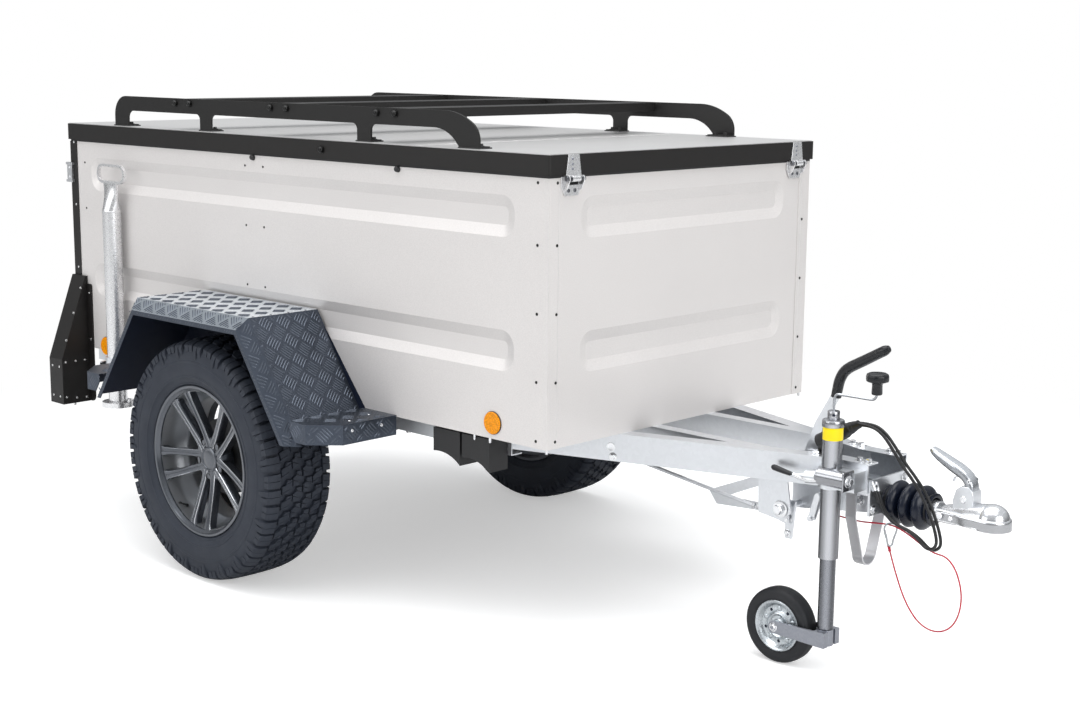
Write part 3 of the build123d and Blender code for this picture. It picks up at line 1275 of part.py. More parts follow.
def breakaway_lug():
    """Lug on the side of the housing that the breakaway cable is made fast to."""
    end = BREAKAWAY[0]
    return block((end.X - 16, end.X), (end.Y - 8, -HOUSING_HALF_WIDTH + 2), (end.Z - 8, end.Z + 24))


# ---------------------------------------------------------------- jockey wheel


def jockey_tube():
    """Outer tube with its cap and a collar near the lower end."""
    tube = Circle(JOCKEY_OUTER_RADIUS) - Circle(JOCKEY_OUTER_RADIUS - JOCKEY_OUTER_WALL)
    length = JOCKEY_OUTER_TOP_Z - JOCKEY_OUTER_BOTTOM_Z
    body = Pos(0, 0, JOCKEY_OUTER_BOTTOM_Z) * extrude(tube, amount=length)
    bush = Circle(JOCKEY_OUTER_RADIUS - 1) - Circle(JOCKEY_INNER_RADIUS + RUNNING_GAP)
    body += Pos(0, 0, JOCKEY_OUTER_BOTTOM_Z) * extrude(bush, amount=JOCKEY_BUSH)
    cap = Pos(0, 0, JOCKEY_OUTER_TOP_Z) * extrude(Circle(JOCKEY_OUTER_RADIUS + 2), amount=10)
    head = Pos(0, 0, JOCKEY_OUTER_TOP_Z + 10) * extrude(Circle(14), amount=22)
    return Pos(JOCKEY_X, JOCKEY_Y) * (body + cap + head)


def jockey_crank():
    """Crank on top of the jockey tube: spindle, bent arm and mushroom knob."""
    top = JOCKEY_OUTER_TOP_Z + 32
    spindle = Pos(0, 0, top) * extrude(Circle(7), amount=28)
    path = FilletPolyline((0, 0, top + 20), (0, 0, top + 42), (106, 0, top + 46), (106, 0, top + 62),
                          radius=10)
    arm = tube_along(path, 6)
    stem = Pos(106, 0, top + 58) * extrude(Circle(13), amount=28)
    knob = Pos(106, 0, top + 86) * extrude(Circle(27), amount=22)
    knob = fillet(knob.edges().sort_by(Axis.Z)[-1], 8)
    return Pos(JOCKEY_X, JOCKEY_Y) * (spindle + arm + stem + knob)


def jockey_leg():
    """Inner tube that slides in the outer one, closed by a plug with the swivel pin."""
    top = JOCKEY_OUTER_TOP_Z - JOCKEY_TRAVEL - 10
    section = Circle(JOCKEY_INNER_RADIUS) - Circle(JOCKEY_INNER_RADIUS - 3)
    tube = Pos(0, 0, JOCKEY_INNER_BOTTOM_Z) * extrude(section, amount=top - JOCKEY_INNER_BOTTOM_Z)
    plug = Pos(0, 0, JOCKEY_INNER_BOTTOM_Z) * extrude(Circle(JOCKEY_INNER_RADIUS), amount=8)
    pin_low = JOCKEY_FORK_BOTTOM_Z + 4
    pin = Pos(0, 0, pin_low) * extrude(Circle(JOCKEY_PIN_RADIUS), amount=JOCKEY_INNER_BOTTOM_Z - pin_low)
    return Pos(JOCKEY_X, JOCKEY_Y) * (tube + plug + pin)


def jockey_fork():
    """Swivel sleeve with two flat arms that trail back to the wheel's axle."""
    bore = JOCKEY_PIN_RADIUS + RUNNING_GAP
    sleeve = Circle(JOCKEY_INNER_RADIUS + 1) - Circle(bore)
    height = JOCKEY_INNER_BOTTOM_Z - 2 - JOCKEY_FORK_BOTTOM_Z
    fork = Pos(0, 0, JOCKEY_FORK_BOTTOM_Z) * extrude(sleeve, amount=height)
    arm_y = JOCKEY_TYRE_WIDTH / 2 + 5
    z = JOCKEY_TYRE_RADIUS
    for side in (-1, 1):
        low = side * arm_y if side > 0 else side * (arm_y + JOCKEY_ARM)
        points = [(-JOCKEY_TRAIL - 16, z - 16), (-JOCKEY_TRAIL - 16, z + 16), (20, z + 20), (20, z - 20)]
        arm = upright_plate(points, [(-JOCKEY_TRAIL - 16, z - 16, 15), (-JOCKEY_TRAIL - 16, z + 16, 15)],
                            low, low + JOCKEY_ARM)
        fork += arm
        near = side * (JOCKEY_INNER_RADIUS - 4)
        web = block((-12, 20), (min(near, low + 1), max(near, low + 1)), (z - 20, z + 20))
        fork += web
    fork -= Pos(0, 0, JOCKEY_TYRE_RADIUS) * Cylinder(bore, 60)
    fork += y_cylinder(6, -arm_y - JOCKEY_ARM - 6, arm_y + JOCKEY_ARM + 6, -JOCKEY_TRAIL, z)
    return Pos(JOCKEY_X, JOCKEY_Y) * fork


def jockey_wheel_axis(shape):
    """Move a piece drawn about the local Y axis to the jockey wheel's axle."""
    return Pos(JOCKEY_X - JOCKEY_TRAIL, JOCKEY_Y, JOCKEY_TYRE_RADIUS) * shape


def jockey_tyre():
    """Solid rubber tyre."""
    half = JOCKEY_TYRE_WIDTH / 2
    r = JOCKEY_TYRE_RADIUS
    profile = make_face(Polyline([
        (r - 32, -half + 4, 0), (r - 10, -half, 0), (r, -half + 10, 0), (r, half - 10, 0),
        (r - 10, half, 0), (r - 32, half - 4, 0)], close=True))
    profile = fillet(profile.vertices().filter_by(lambda v: v.X > r - 1), 6)
    return jockey_wheel_axis(revolve(profile, axis=Axis.Y))


def jockey_rim():
    """Pressed steel disc wheel with its hub tube."""
    half = JOCKEY_TYRE_WIDTH / 2
    r = JOCKEY_TYRE_RADIUS - 32.3
    disc = revolved([
        (6 + RUNNING_GAP, -half - 3), (14, -half - 3), (14, -10), (24, -14), (44, -8), (r - 6, -16),
        (r, -half + 5), (r, half - 5), (r - 6, half - 5), (r - 6, -10), (44, -2), (24, -6), (14, -2),
        (14, half + 3), (6 + RUNNING_GAP, half + 3)])
    return jockey_wheel_axis(disc)


def jockey_clamp():
    """Clamp bolted to the right rail: mounting block, sleeve halves and the lever."""
    bore = JOCKEY_OUTER_RADIUS + STAND_CLAMP_GAP
    low, high = 492.0, 542.0
    sleeve = Pos(JOCKEY_X, JOCKEY_Y, low) * extrude(Circle(bore + 7) - Circle(bore), amount=high - low)
    block_y = -DRAWBAR_FRONT_Y
    mount = block((JOCKEY_X - 10, JOCKEY_X + 78), (JOCKEY_Y - 14, block_y), (low, high))
    mount -= Pos(JOCKEY_X, JOCKEY_Y, low) * extrude(Circle(bore + 3), amount=high - low)
    mount -= block((0, DRAWBAR_FRONT_X), (block_y, 0), (low, high))
    sleeve -= block((0, DRAWBAR_FRONT_X), (block_y, 0), (low, high))
    pivot = Vector(JOCKEY_X - 59, JOCKEY_Y - 23, 513)
    shell = Vector(JOCKEY_X - 24, JOCKEY_Y - 16, 516)
    boss = Plane(origin=pivot, z_dir=shell - pivot) * extrude(Circle(17), amount=(shell - pivot).length)
    boss -= Pos(JOCKEY_X, JOCKEY_Y, low) * extrude(Circle(bore + 3), amount=high - low)
    path = FilletPolyline(pivot, (JOCKEY_X - 92, JOCKEY_Y - 33, 513), (JOCKEY_X - 148, JOCKEY_Y - 33, 522),
                          radius=20)
    return sleeve + mount + boss + tube_along(path, 6)


# ---------------------------------------------------------------- export


def main():
    pieces = {
        "side_wall_right": side_wall(),
        "front_wall": front_wall(),
        "floor_panel": floor_panel(),
        "corner_posts": corner_posts(),
        "rear_posts": rear_posts(),
        "top_seal": top_seal(),
        "lid_frame": lid_frame(),
        "lid_panel": lid_panel(),
        "roof_rail_right": roof_rail(),
        "crossbars": crossbars(),
        "lid_hinge_leaves": both_sides(lid_hinge_leaf(-LID_HINGE_Y)),
        "tailgate": tailgate(),
        "tailgate_hinges": tailgate_hinges(),
        "tailgate_latches": tailgate_latches(),
        "drawbar_rail_right": drawbar_rail(),
        "chassis_frame": chassis_frame(),
        "axle_beam": axle_beam(),
        "tyre_right": tyre(),
        "rim_right": rim(),
        "hub_right": hub(),
        "fender_right": fender(),
        "fender_steps": fender_steps(),
        "lamp_bracket_right": lamp_bracket(),
        "tail_lamps": tail_lamps(),
        "side_reflectors": side_reflectors(),
        "prop_stand_right": prop_stand(),
        "stand_clamps": stand_clamps(),
        "wheel_chocks": wheel_chocks(),
        "overrun_housing": overrun_housing(),
        "bellows": bellows(),
        "coupling_head": coupling_head(),
        "coupling_handle": coupling_handle(),
        "handbrake_lever": handbrake_lever(),
        "handbrake_grip": handbrake_grip(),
        "brake_linkage": brake_linkage(),
        "plug_holder": plug_holder(),
        "trailer_plug": trailer_plug(),
        "snap_hook": snap_hook(),
        "cable_plug": cord_tube(CABLE_PLUG, CABLE_RADIUS, "cable_plug"),
        "cable_brake": cord_tube(CABLE_BRAKE, CABLE_RADIUS, "cable_brake"),
        "breakaway_cable": cord_tube(BREAKAWAY, BREAKAWAY_RADIUS, "breakaway_cable"),
        "loop_strap": loop_strap(),
        "jockey_tube": jockey_tube(),
        "jockey_crank": jockey_crank(),
        "jockey_leg": jockey_leg(),
        "jockey_fork": jockey_fork(),
        "jockey_tyre": jockey_tyre(),
        "jockey_rim": jockey_rim(),
        "jockey_clamp": jockey_clamp(),
    }
    hinges = [lid_hinge_bracket(-LID_HINGE_Y), lid_hinge_bracket(LID_HINGE_Y)]
    hinges += [tailgate_hinge_bracket(y) for y in (-TAILGATE_HINGE_Y, TAILGATE_HINGE_Y)]
    pieces["hinge_brackets"] = Compound(hinges)
    for name, piece in list(pieces.items()):
        if name.endswith("_right"):
            pieces[name.replace("_right", "_left")] = mirrored(piece)
    for name, piece in pieces.items():
        save(name, piece)


main()
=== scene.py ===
"""Looks of an off-road box trailer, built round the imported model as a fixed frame.

Drawing millimetres run from the axle line: +X forward, +Y to the left, +Z up from the ground.
"""
import json
import math

import bmesh
import bpy
from mathutils import Matrix, Vector


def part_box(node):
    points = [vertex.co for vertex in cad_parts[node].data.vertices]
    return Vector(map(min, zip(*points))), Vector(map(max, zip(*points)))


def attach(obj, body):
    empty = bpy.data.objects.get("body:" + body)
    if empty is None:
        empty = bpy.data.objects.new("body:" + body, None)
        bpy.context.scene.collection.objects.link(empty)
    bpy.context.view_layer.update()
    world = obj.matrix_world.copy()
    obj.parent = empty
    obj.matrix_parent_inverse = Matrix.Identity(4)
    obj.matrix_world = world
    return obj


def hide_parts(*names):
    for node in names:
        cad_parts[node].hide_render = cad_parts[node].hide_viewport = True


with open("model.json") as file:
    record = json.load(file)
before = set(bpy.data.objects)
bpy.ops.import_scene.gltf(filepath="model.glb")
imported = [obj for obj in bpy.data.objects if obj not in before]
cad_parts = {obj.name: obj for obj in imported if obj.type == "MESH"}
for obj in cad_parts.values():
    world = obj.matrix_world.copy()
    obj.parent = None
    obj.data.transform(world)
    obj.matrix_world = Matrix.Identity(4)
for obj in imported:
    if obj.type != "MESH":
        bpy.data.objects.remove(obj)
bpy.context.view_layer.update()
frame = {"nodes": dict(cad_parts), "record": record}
NODES = frame["nodes"]
WHEEL_LOW, WHEEL_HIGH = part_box("tyre_right")
AXLE_X = (WHEEL_LOW[0] + WHEEL_HIGH[0]) / 2
MM = 0.001

# ---------------------------------------------------------------- sizes, in drawing millimetres

TYRE_RADIUS = 362.0
WHEEL_Y = 688.0
HALF_WIDTH = 556.5
BODY_FRONT_X = 1192.0
BODY_REAR_X = -1022.0
BODY_BOTTOM_Z = 557.0
WALL_TOP_Z = 1250.0
LID_FRONT_X = 1199.5
LID_HALF = 564.0
LID_TOP_Z = 1310.0
SIDES = (-1, 1)
WHEEL_SIDES = (("right", -1), ("left", 1))
UP, FORWARD, REARWARD, LEFT = (0, 0, 1), (1, 0, 0), (-1, 0, 0), (0, 1, 0)
RIGHT, DOWN = (0, -1, 0), (0, 0, -1)


def place(x, y, z):
    """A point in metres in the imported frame, from drawing millimetres."""
    return Vector((x * MM + AXLE_X, y * MM, z * MM))


# ---------------------------------------------------------------- camera, light and floor

CAMERA_AT = (4123.95, -3652.03, 1563.88)
CAMERA_AZIMUTH = math.radians(43.703)
CAMERA_TILT = math.radians(10.2625)
CAMERA_ROLL = math.radians(0.529)
LENS = 57.154
SENSOR = 36.0
FAR_CLIP = 60
WHITE = (1, 1, 1, 1)
SKY_COLOUR = (0.96, 0.98, 1.0, 1)
SKY_HEIGHT = 0.55
HORIZON_TO_SKY = (0.16, 0.72)
FLOOR_COLOUR = (0.8, 0.8, 0.8, 1)
FLOOR_SPAN = 30.0
FLOOR_LIFT = 0.42
FLOOR_FADE = (1.7, 3.6)
# name, place and aim in metres, size, watts
SOFTBOXES = (
    ("overhead_softbox", (0.3, -0.6, 5.2), (0, 0, 0.6), (6.5, 5.0), 290),
    ("front_softbox", (6.2, -1.2, 2.6), (0.4, 0, 0.8), (4.0, 3.0), 150),
    ("side_softbox", (-2.4, -6.0, 3.0), (-0.4, 0, 0.6), (5.0, 2.6), 110),
)


def link_object(name, data):
    obj = bpy.data.objects.new(name, data)
    bpy.context.collection.objects.link(obj)
    return obj


def add_camera():
    """A rolled long-lens camera."""
    az, tilt = CAMERA_AZIMUTH, CAMERA_TILT
    ahead = Vector((-math.sin(az) * math.cos(tilt), math.cos(az) * math.cos(tilt), -math.sin(tilt)))
    right = ahead.cross(Vector(UP)).normalized()
    up = right.cross(ahead)
    rolled_right = right * math.cos(CAMERA_ROLL) + up * math.sin(CAMERA_ROLL)
    rolled_up = up * math.cos(CAMERA_ROLL) - right * math.sin(CAMERA_ROLL)
    turn = Matrix((rolled_right, rolled_up, -ahead)).transposed().to_4x4()
    data = bpy.data.cameras.new("camera")
    data.lens = LENS
    data.sensor_width = SENSOR
    data.clip_end = FAR_CLIP
    camera = link_object("camera", data)
    camera.matrix_world = Matrix.Translation(place(*CAMERA_AT)) @ turn
    bpy.context.scene.camera = camera


def add_lamp(name, at, aim, size, power):
    """A rectangular area lamp that faces its aim."""
    data = bpy.data.lights.new(name, "AREA")
    data.shape = "RECTANGLE"
    data.size, data.size_y = size
    data.energy = power
    lamp = link_object(name, data)
    lamp.location = Vector(at)
    lamp.rotation_euler = (Vector(aim) - Vector(at)).to_track_quat("-Z", "Y").to_euler()


def is_socket(value):
    return hasattr(value, "is_linked")


def add_node(tree, kind, inputs=None, **settings):
    """A shader node with its settings; each input takes a plain value or another node's output."""
    node = tree.nodes.new("ShaderNode" + kind)
    for label, value in settings.items():
        setattr(node, label, value)
    for label, value in (inputs or {}).items():
        if is_socket(value):
            tree.links.new(value, node.inputs[label])
        else:
            node.inputs[label].default_value = value
    return node


def add_math(tree, operation, a, b):
    return add_node(tree, "Math", {0: a, 1: b}, operation=operation).outputs[0]


def add_ramp(tree, value, span, ends):
    """A smooth step from one value to another over a span."""
    inputs = {"Value": value, "From Min": span[0], "From Max": span[1], "To Min": ends[0],
              "To Max": ends[1]}
    return add_node(tree, "MapRange", inputs, interpolation_type="SMOOTHSTEP").outputs["Result"]


def object_position(tree):
    return add_node(tree, "TexCoord").outputs["Object"]


def build_world():
    """White behind the object; a dim sky, brighter overhead, for its light and reflections."""
    world = bpy.data.worlds.new("studio")
    bpy.context.scene.world = world
    world.use_nodes = True
    tree = world.node_tree
    tree.nodes.clear()
    path = add_node(tree, "LightPath").outputs
    behind = add_math(tree, "MAXIMUM", path["Is Camera Ray"], path["Is Transmission Ray"])
    seen = add_node(tree, "Background", {"Color": WHITE, "Strength": 1.0})
    facing = add_node(tree, "SeparateXYZ", {0: add_node(tree, "TexCoord").outputs["Generated"]})
    strength = add_ramp(tree, facing.outputs["Z"], (0.0, SKY_HEIGHT), HORIZON_TO_SKY)
    lit = add_node(tree, "Background", {"Color": SKY_COLOUR, "Strength": strength})
    mix = add_node(tree, "MixShader", {0: behind, 1: lit.outputs[0], 2: seen.outputs[0]})
    add_node(tree, "OutputWorld", {"Surface": mix.outputs[0]})


def build_floor_material():
    """Matte paper with a little glow for the camera, that fades out to plain white."""
    paper = bpy.data.materials.new("studio_floor")
    paper.use_nodes = True
    tree = paper.node_tree
    tree.nodes.clear()
    seen = add_node(tree, "LightPath").outputs["Is Camera Ray"]
    matte = add_node(tree, "BsdfDiffuse", {"Color": FLOOR_COLOUR})
    glow = add_node(tree, "Emission", {"Strength": add_math(tree, "MULTIPLY", seen, FLOOR_LIFT)})
    near = add_node(tree, "AddShader", {0: matte.outputs[0], 1: glow.outputs[0]})
    reach = add_node(tree, "VectorMath", {0: object_position(tree)}, operation="LENGTH")
    fade = add_ramp(tree, reach.outputs["Value"], FLOOR_FADE, (0.0, 1.0))
    white = add_node(tree, "Emission")
    far = add_node(tree, "MixShader", {0: add_math(tree, "MULTIPLY", fade, seen), 1: near.outputs[0],
                                       2: white.outputs[0]})
    add_node(tree, "OutputMaterial", {"Surface": far.outputs[0]})
    return paper


def add_studio():
    """Lamps, surroundings and a floor that fades to white."""
    for softbox in SOFTBOXES:
        add_lamp(*softbox)
    build_world()
    mesh = bpy.data.meshes.new("floor")
    corners = [(x * FLOOR_SPAN, y * FLOOR_SPAN, 0) for x, y in ((-1, -1), (1, -1), (1, 1), (-1, 1))]
    mesh.from_pydata(corners, [], [(0, 1, 2, 3)])
    link_object("floor", mesh)
    mesh.materials.append(build_floor_material())


# ---------------------------------------------------------------- shared effects


def effect_group(name, inputs, outputs=("Factor",)):
    """An empty node group with named float inputs and outputs."""
    group = bpy.data.node_groups.new(name, "ShaderNodeTree")
    for label, value in inputs.items():
        socket = group.interface.new_socket(name=label, in_out="INPUT", socket_type="NodeSocketFloat")
        socket.default_value = value
    for label in outputs:
        group.interface.new_socket(name=label, in_out="OUTPUT", socket_type="NodeSocketFloat")
    return group, group.nodes.new("NodeGroupInput").outputs, group.nodes.new("NodeGroupOutput").inputs


def scaled_position(group, factor):
    """Object coordinates times a factor."""
    where = {0: object_position(group), "Scale": factor}
    return add_node(group, "VectorMath", where, operation="SCALE").outputs[0]


def build_mottle():
    """Cloudy variation round 1, for colour and roughness."""
    group, given, out = effect_group("mottle", {"Scale": 8.0, "Amount": 0.1})
    where = scaled_position(group, given["Scale"])
    noise = add_node(group, "TexNoise", {"Vector": where, "Scale": 1.0, "Detail": 5.0})
    spread = add_math(group, "SUBTRACT", noise.outputs["Fac"], 0.5)
    times = add_math(group, "MULTIPLY", spread, given["Amount"])
    group.links.new(add_math(group, "ADD", times, 1.0), out["Factor"])
    return group


def build_spangle():
    """Zinc crystals: cells of slightly different brightness."""
    group, given, out = effect_group("spangle", {"Scale": 90.0, "Amount": 0.2}, ("Factor", "Cells"))
    where = scaled_position(group, given["Scale"])
    cells = add_node(group, "TexVoronoi", {"Vector": where, "Scale": 1.0})
    split = add_node(group, "SeparateColor", {0: cells.outputs["Color"]}).outputs[0]
    low = add_math(group, "SUBTRACT", 1.0, given["Amount"])
    ramp = add_node(group, "MapRange", {"Value": split, "To Min": low, "To Max": 1.0})
    group.links.new(ramp.outputs["Result"], out["Factor"])
    group.links.new(split, out["Cells"])
    return group


def build_grain():
    """Fine surface height: a small noise under a coarser one."""
    group, given, out = effect_group("grain", {"Scale": 400.0, "Coarse": 0.3}, ("Height",))
    where = scaled_position(group, given["Scale"])
    fine = add_node(group, "TexNoise", {"Vector": where, "Scale": 1.0, "Detail": 2.0})
    coarse = add_node(group, "TexNoise", {"Vector": where, "Scale": 0.12, "Detail": 3.0})
    mix = add_node(group, "Mix", {0: given["Coarse"], 2: fine.outputs["Fac"], 3: coarse.outputs["Fac"]})
    group.links.new(mix.outputs[0], out["Height"])
    return group


def build_dust():
    """Patches of dust, for tyres and rubber."""
    group, given, out = effect_group("dust", {"Amount": 0.3}, ("Mask",))
    noise = add_node(group, "TexNoise", {"Vector": object_position(group), "Scale": 14.0, "Detail": 6.0})
    ramp = add_node(group, "MapRange", {"Value": noise.outputs["Fac"], "From Min": 0.35, "From Max": 0.75})
    group.links.new(add_math(group, "MULTIPLY", ramp.outputs["Result"], given["Amount"]), out["Mask"])
    return group


def build_painted_slope_shade():
    """Painted shade and highlight on a sheet's slopes: a darker colour on those that lean down, a paler one
    on those that lean up.
    """
    group, given, out = effect_group("pressed", {"Down": 0.85, "Up": 1.12, "Span": 0.25})
    normal = add_node(group, "NewGeometry").outputs["True Normal"]
    rise = add_node(group, "SeparateXYZ", {0: normal}).outputs["Z"]
    low = add_math(group, "MULTIPLY", given["Span"], -1.0)
    ramp = add_node(group, "MapRange", {"Value": rise, "From Min": low, "From Max": given["Span"],
                                        "To Min": given["Down"], "To Max": given["Up"]})
    group.links.new(ramp.outputs["Result"], out["Factor"])
    return group


# painted reflection bands: towards, where the band starts and ends, and how dark it is
PAINTED_TUBE_REFLECTIONS = (((0.87, 0.48, 0), (0.10, 0.75), 0.62), ((-0.50, -0.86, 0), (0.55, 0.95), 0.50))


def build_painted_reflection_bands():
    """Painted reflection: dark bands down both flanks of a polished upright tube, set by which way its faces
    point.
    """
    group, _, out = effect_group("bands", {})
    normal = add_node(group, "NewGeometry").outputs["Normal"]
    flanks = []
    for towards, span, depth in PAINTED_TUBE_REFLECTIONS:
        lean = add_node(group, "VectorMath", {0: normal, 1: towards}, operation="DOT_PRODUCT")
        flanks.append(add_ramp(group, lean.outputs["Value"], span, (1.0, 1.0 - depth)))
    group.links.new(add_math(group, "MULTIPLY", *flanks), out["Factor"])
    return group


MOTTLE = build_mottle()
PAINTED_REFLECTION_BANDS = build_painted_reflection_bands()
PAINTED_SLOPE_SHADE = build_painted_slope_shade()
SPANGLE = build_spangle()
GRAIN = build_grain()
DUST = build_dust()

# ---------------------------------------------------------------- materials

COAT_ROUGH = 0.12
DRY_DUST = (0.10, 0.095, 0.085)


class Finish:
    """A Principled material and short ways to feed its sockets."""

    def __init__(self, name, colour, rough, metal=0.0, coat=0.0, specular=0.5):
        self.material = bpy.data.materials.new(name)
        self.material.use_nodes = True
        self.tree = self.material.node_tree
        self.shader = self.tree.nodes["Principled BSDF"]
        self.colour, self.rough = colour, rough
        plain = {"Base Color": (*colour, 1), "Roughness": rough, "Metallic": metal, "Coat Weight": coat,
                 "Coat Roughness": COAT_ROUGH, "Specular IOR Level": specular}
        for label, value in plain.items():
            self.shader.inputs[label].default_value = value

    def feed(self, label, value):
        self.tree.links.new(value, self.shader.inputs[label])

    def effect(self, group, **values):
        """A shared effect placed with its own values; gives its outputs."""
        return add_node(self.tree, "Group", values, node_tree=group).outputs

    def math(self, operation, a, b):
        return add_math(self.tree, operation, a, b)

    def mix(self, below, above, mask, blend="MIX"):
        """One colour over another; a plain colour is given as three values."""
        below, above = (value if is_socket(value) else (*value, 1) for value in (below, above))
        inputs = {0: mask, 6: below, 7: above}
        return add_node(self.tree, "Mix", inputs, data_type="RGBA", blend_type=blend).outputs[2]

    def tint(self, base, *factors):
        """Base colour times factors round 1."""
        for factor in factors:
            grey = add_node(self.tree, "CombineColor", {0: factor, 1: factor, 2: factor})
            base = self.mix(base, grey.outputs[0], 1.0, "MULTIPLY")
        return base

    def bump(self, height, strength, distance):
        inputs = {"Strength": strength, "Distance": distance, "Height": height}
        self.feed("Normal", add_node(self.tree, "Bump", inputs).outputs[0])

    def grain(self, scale, coarse, strength, distance):
        """Fine bumps over the whole surface."""
        self.bump(self.effect(GRAIN, Scale=scale, Coarse=coarse)["Height"], strength, distance)

    def uneven(self, scale, amount, rough_amount):
        """Mottled base colour and roughness."""
        tinted = self.tint(self.colour, self.effect(MOTTLE, Scale=scale, Amount=amount)["Factor"])
        self.feed("Base Color", tinted)
        patch = self.effect(MOTTLE, Scale=scale * 1.7, Amount=rough_amount)["Factor"]
        self.feed("Roughness", self.math("MULTIPLY", patch, self.rough))
        return tinted


def finish_sheet(name, colour, rough, metal):
    """Coated aluminium sheet with a fine sparkle, and painted shade and highlight on its slopes by which way
    they lean.
    """
    f = Finish(name, colour, rough, metal)
    cloud = f.effect(MOTTLE, Scale=5.0, Amount=0.06)["Factor"]
    speck = f.effect(MOTTLE, Scale=420.0, Amount=0.30)["Factor"]
    # painted shade on slopes that lean down, painted highlight on slopes that lean up
    slope = f.effect(PAINTED_SLOPE_SHADE, Down=0.89, Up=1.06)["Factor"]
    f.feed("Base Color", f.tint(colour, cloud, speck, slope))
    f.feed("Roughness", f.math("MULTIPLY", cloud, rough))
    f.grain(520.0, 0.25, 0.10, 0.0006)
    return f.material


def finish_coat(name, colour, rough):
    """Powder coat with a fine orange peel."""
    f = Finish(name, colour, rough, specular=0.32)
    f.uneven(18.0, 0.15, 0.2)
    f.grain(900.0, 0.4, 0.12, 0.0004)
    return f.material


def finish_zinc(name, colour, rough, spangle=0.05, scale=95.0, down=0.75, up=1.12, painted_reflection=False):
    """Zinc-coated steel: crystals, clouds, painted shade and highlight by which way each face leans, and
    painted reflection bands when asked.
    """
    f = Finish(name, colour, rough, 0.88)
    crystal = f.effect(SPANGLE, Scale=scale, Amount=spangle)
    cloud = f.effect(MOTTLE, Scale=6.0, Amount=0.10)["Factor"]
    # painted shade on faces that lean down and painted highlight on faces that lean up
    slope = f.effect(PAINTED_SLOPE_SHADE, Down=down, Up=up, Span=0.9)["Factor"]
    shade = f.math("MULTIPLY", slope, f.effect(PAINTED_REFLECTION_BANDS)["Factor"] if painted_reflection else 1.0)
    f.feed("Base Color", f.tint(colour, crystal["Factor"], cloud, shade))
    f.feed("Roughness", f.math("ADD", f.math("MULTIPLY", crystal["Cells"], 0.06), rough))
    f.grain(160.0, 0.7, 0.03, 0.0005)
    return f.material


def finish_rubber(name, colour, rough, dust, dust_colour=DRY_DUST):
    """Moulded rubber with patches of dust."""
    f = Finish(name, colour, rough, specular=0.35)
    tinted = f.uneven(22.0, 0.35, 0.2)
    f.feed("Base Color", f.mix(tinted, dust_colour, f.effect(DUST, Amount=dust)["Mask"]))
    f.grain(300.0, 0.35, 0.22, 0.0006)
    return f.material


def finish_plate(name, colour, rough):
    """Rolled aluminium tread plate."""
    f = Finish(name, colour, rough, 0.9)
    cloud = f.effect(MOTTLE, Scale=16.0, Amount=0.35)["Factor"]
    streak = f.effect(MOTTLE, Scale=130.0, Amount=0.25)["Factor"]
    f.feed("Base Color", f.tint(colour, cloud, streak))
    f.feed("Roughness", f.math("MULTIPLY", cloud, rough))
    f.grain(220.0, 0.5, 0.12, 0.0005)
    return f.material


def finish_lacquer(name, colour, rough):
    """Metallic wheel lacquer under a clear coat."""
    f = Finish(name, colour, rough, 0.85, coat=0.55)
    f.uneven(600.0, 0.35, 0.2)
    f.grain(1400.0, 0.2, 0.05, 0.0003)
    return f.material


def finish_plastic(name, colour, rough, coat=0.0):
    """Moulded plastic with a fine texture."""
    f = Finish(name, colour, rough, coat=coat, specular=0.36)
    f.uneven(30.0, 0.2, 0.25)
    f.grain(700.0, 0.3, 0.10, 0.0004)
    return f.material


def finish_lens(name, colour, rough, coat=0.6):
    """Moulded lens with a prism pattern behind a smooth face."""
    f = Finish(name, colour, rough, coat=coat, specular=0.25)
    prism = add_node(f.tree, "TexVoronoi", {"Vector": object_position(f.tree), "Scale": 260.0})
    facet = f.math("ADD", f.math("MULTIPLY", prism.outputs["Distance"], 0.9), 0.62)
    f.feed("Base Color", f.tint(colour, facet))
    f.bump(prism.outputs["Distance"], 0.15, 0.001)
    return f.material


def finish_plywood(name, colour, rough):
    """Film-faced plywood with a faint vein."""
    f = Finish(name, colour, rough, coat=0.25)
    inputs = {"Vector": object_position(f.tree), "Scale": 14.0, "Distortion": 6.0, "Detail": 3.0}
    wave = add_node(f.tree, "TexWave", inputs)
    vein = f.math("ADD", f.math("MULTIPLY", wave.outputs["Fac"], 0.35), 0.8)
    f.feed("Base Color", f.tint(colour, vein))
    f.grain(350.0, 0.3, 0.15, 0.0005)
    return f.material


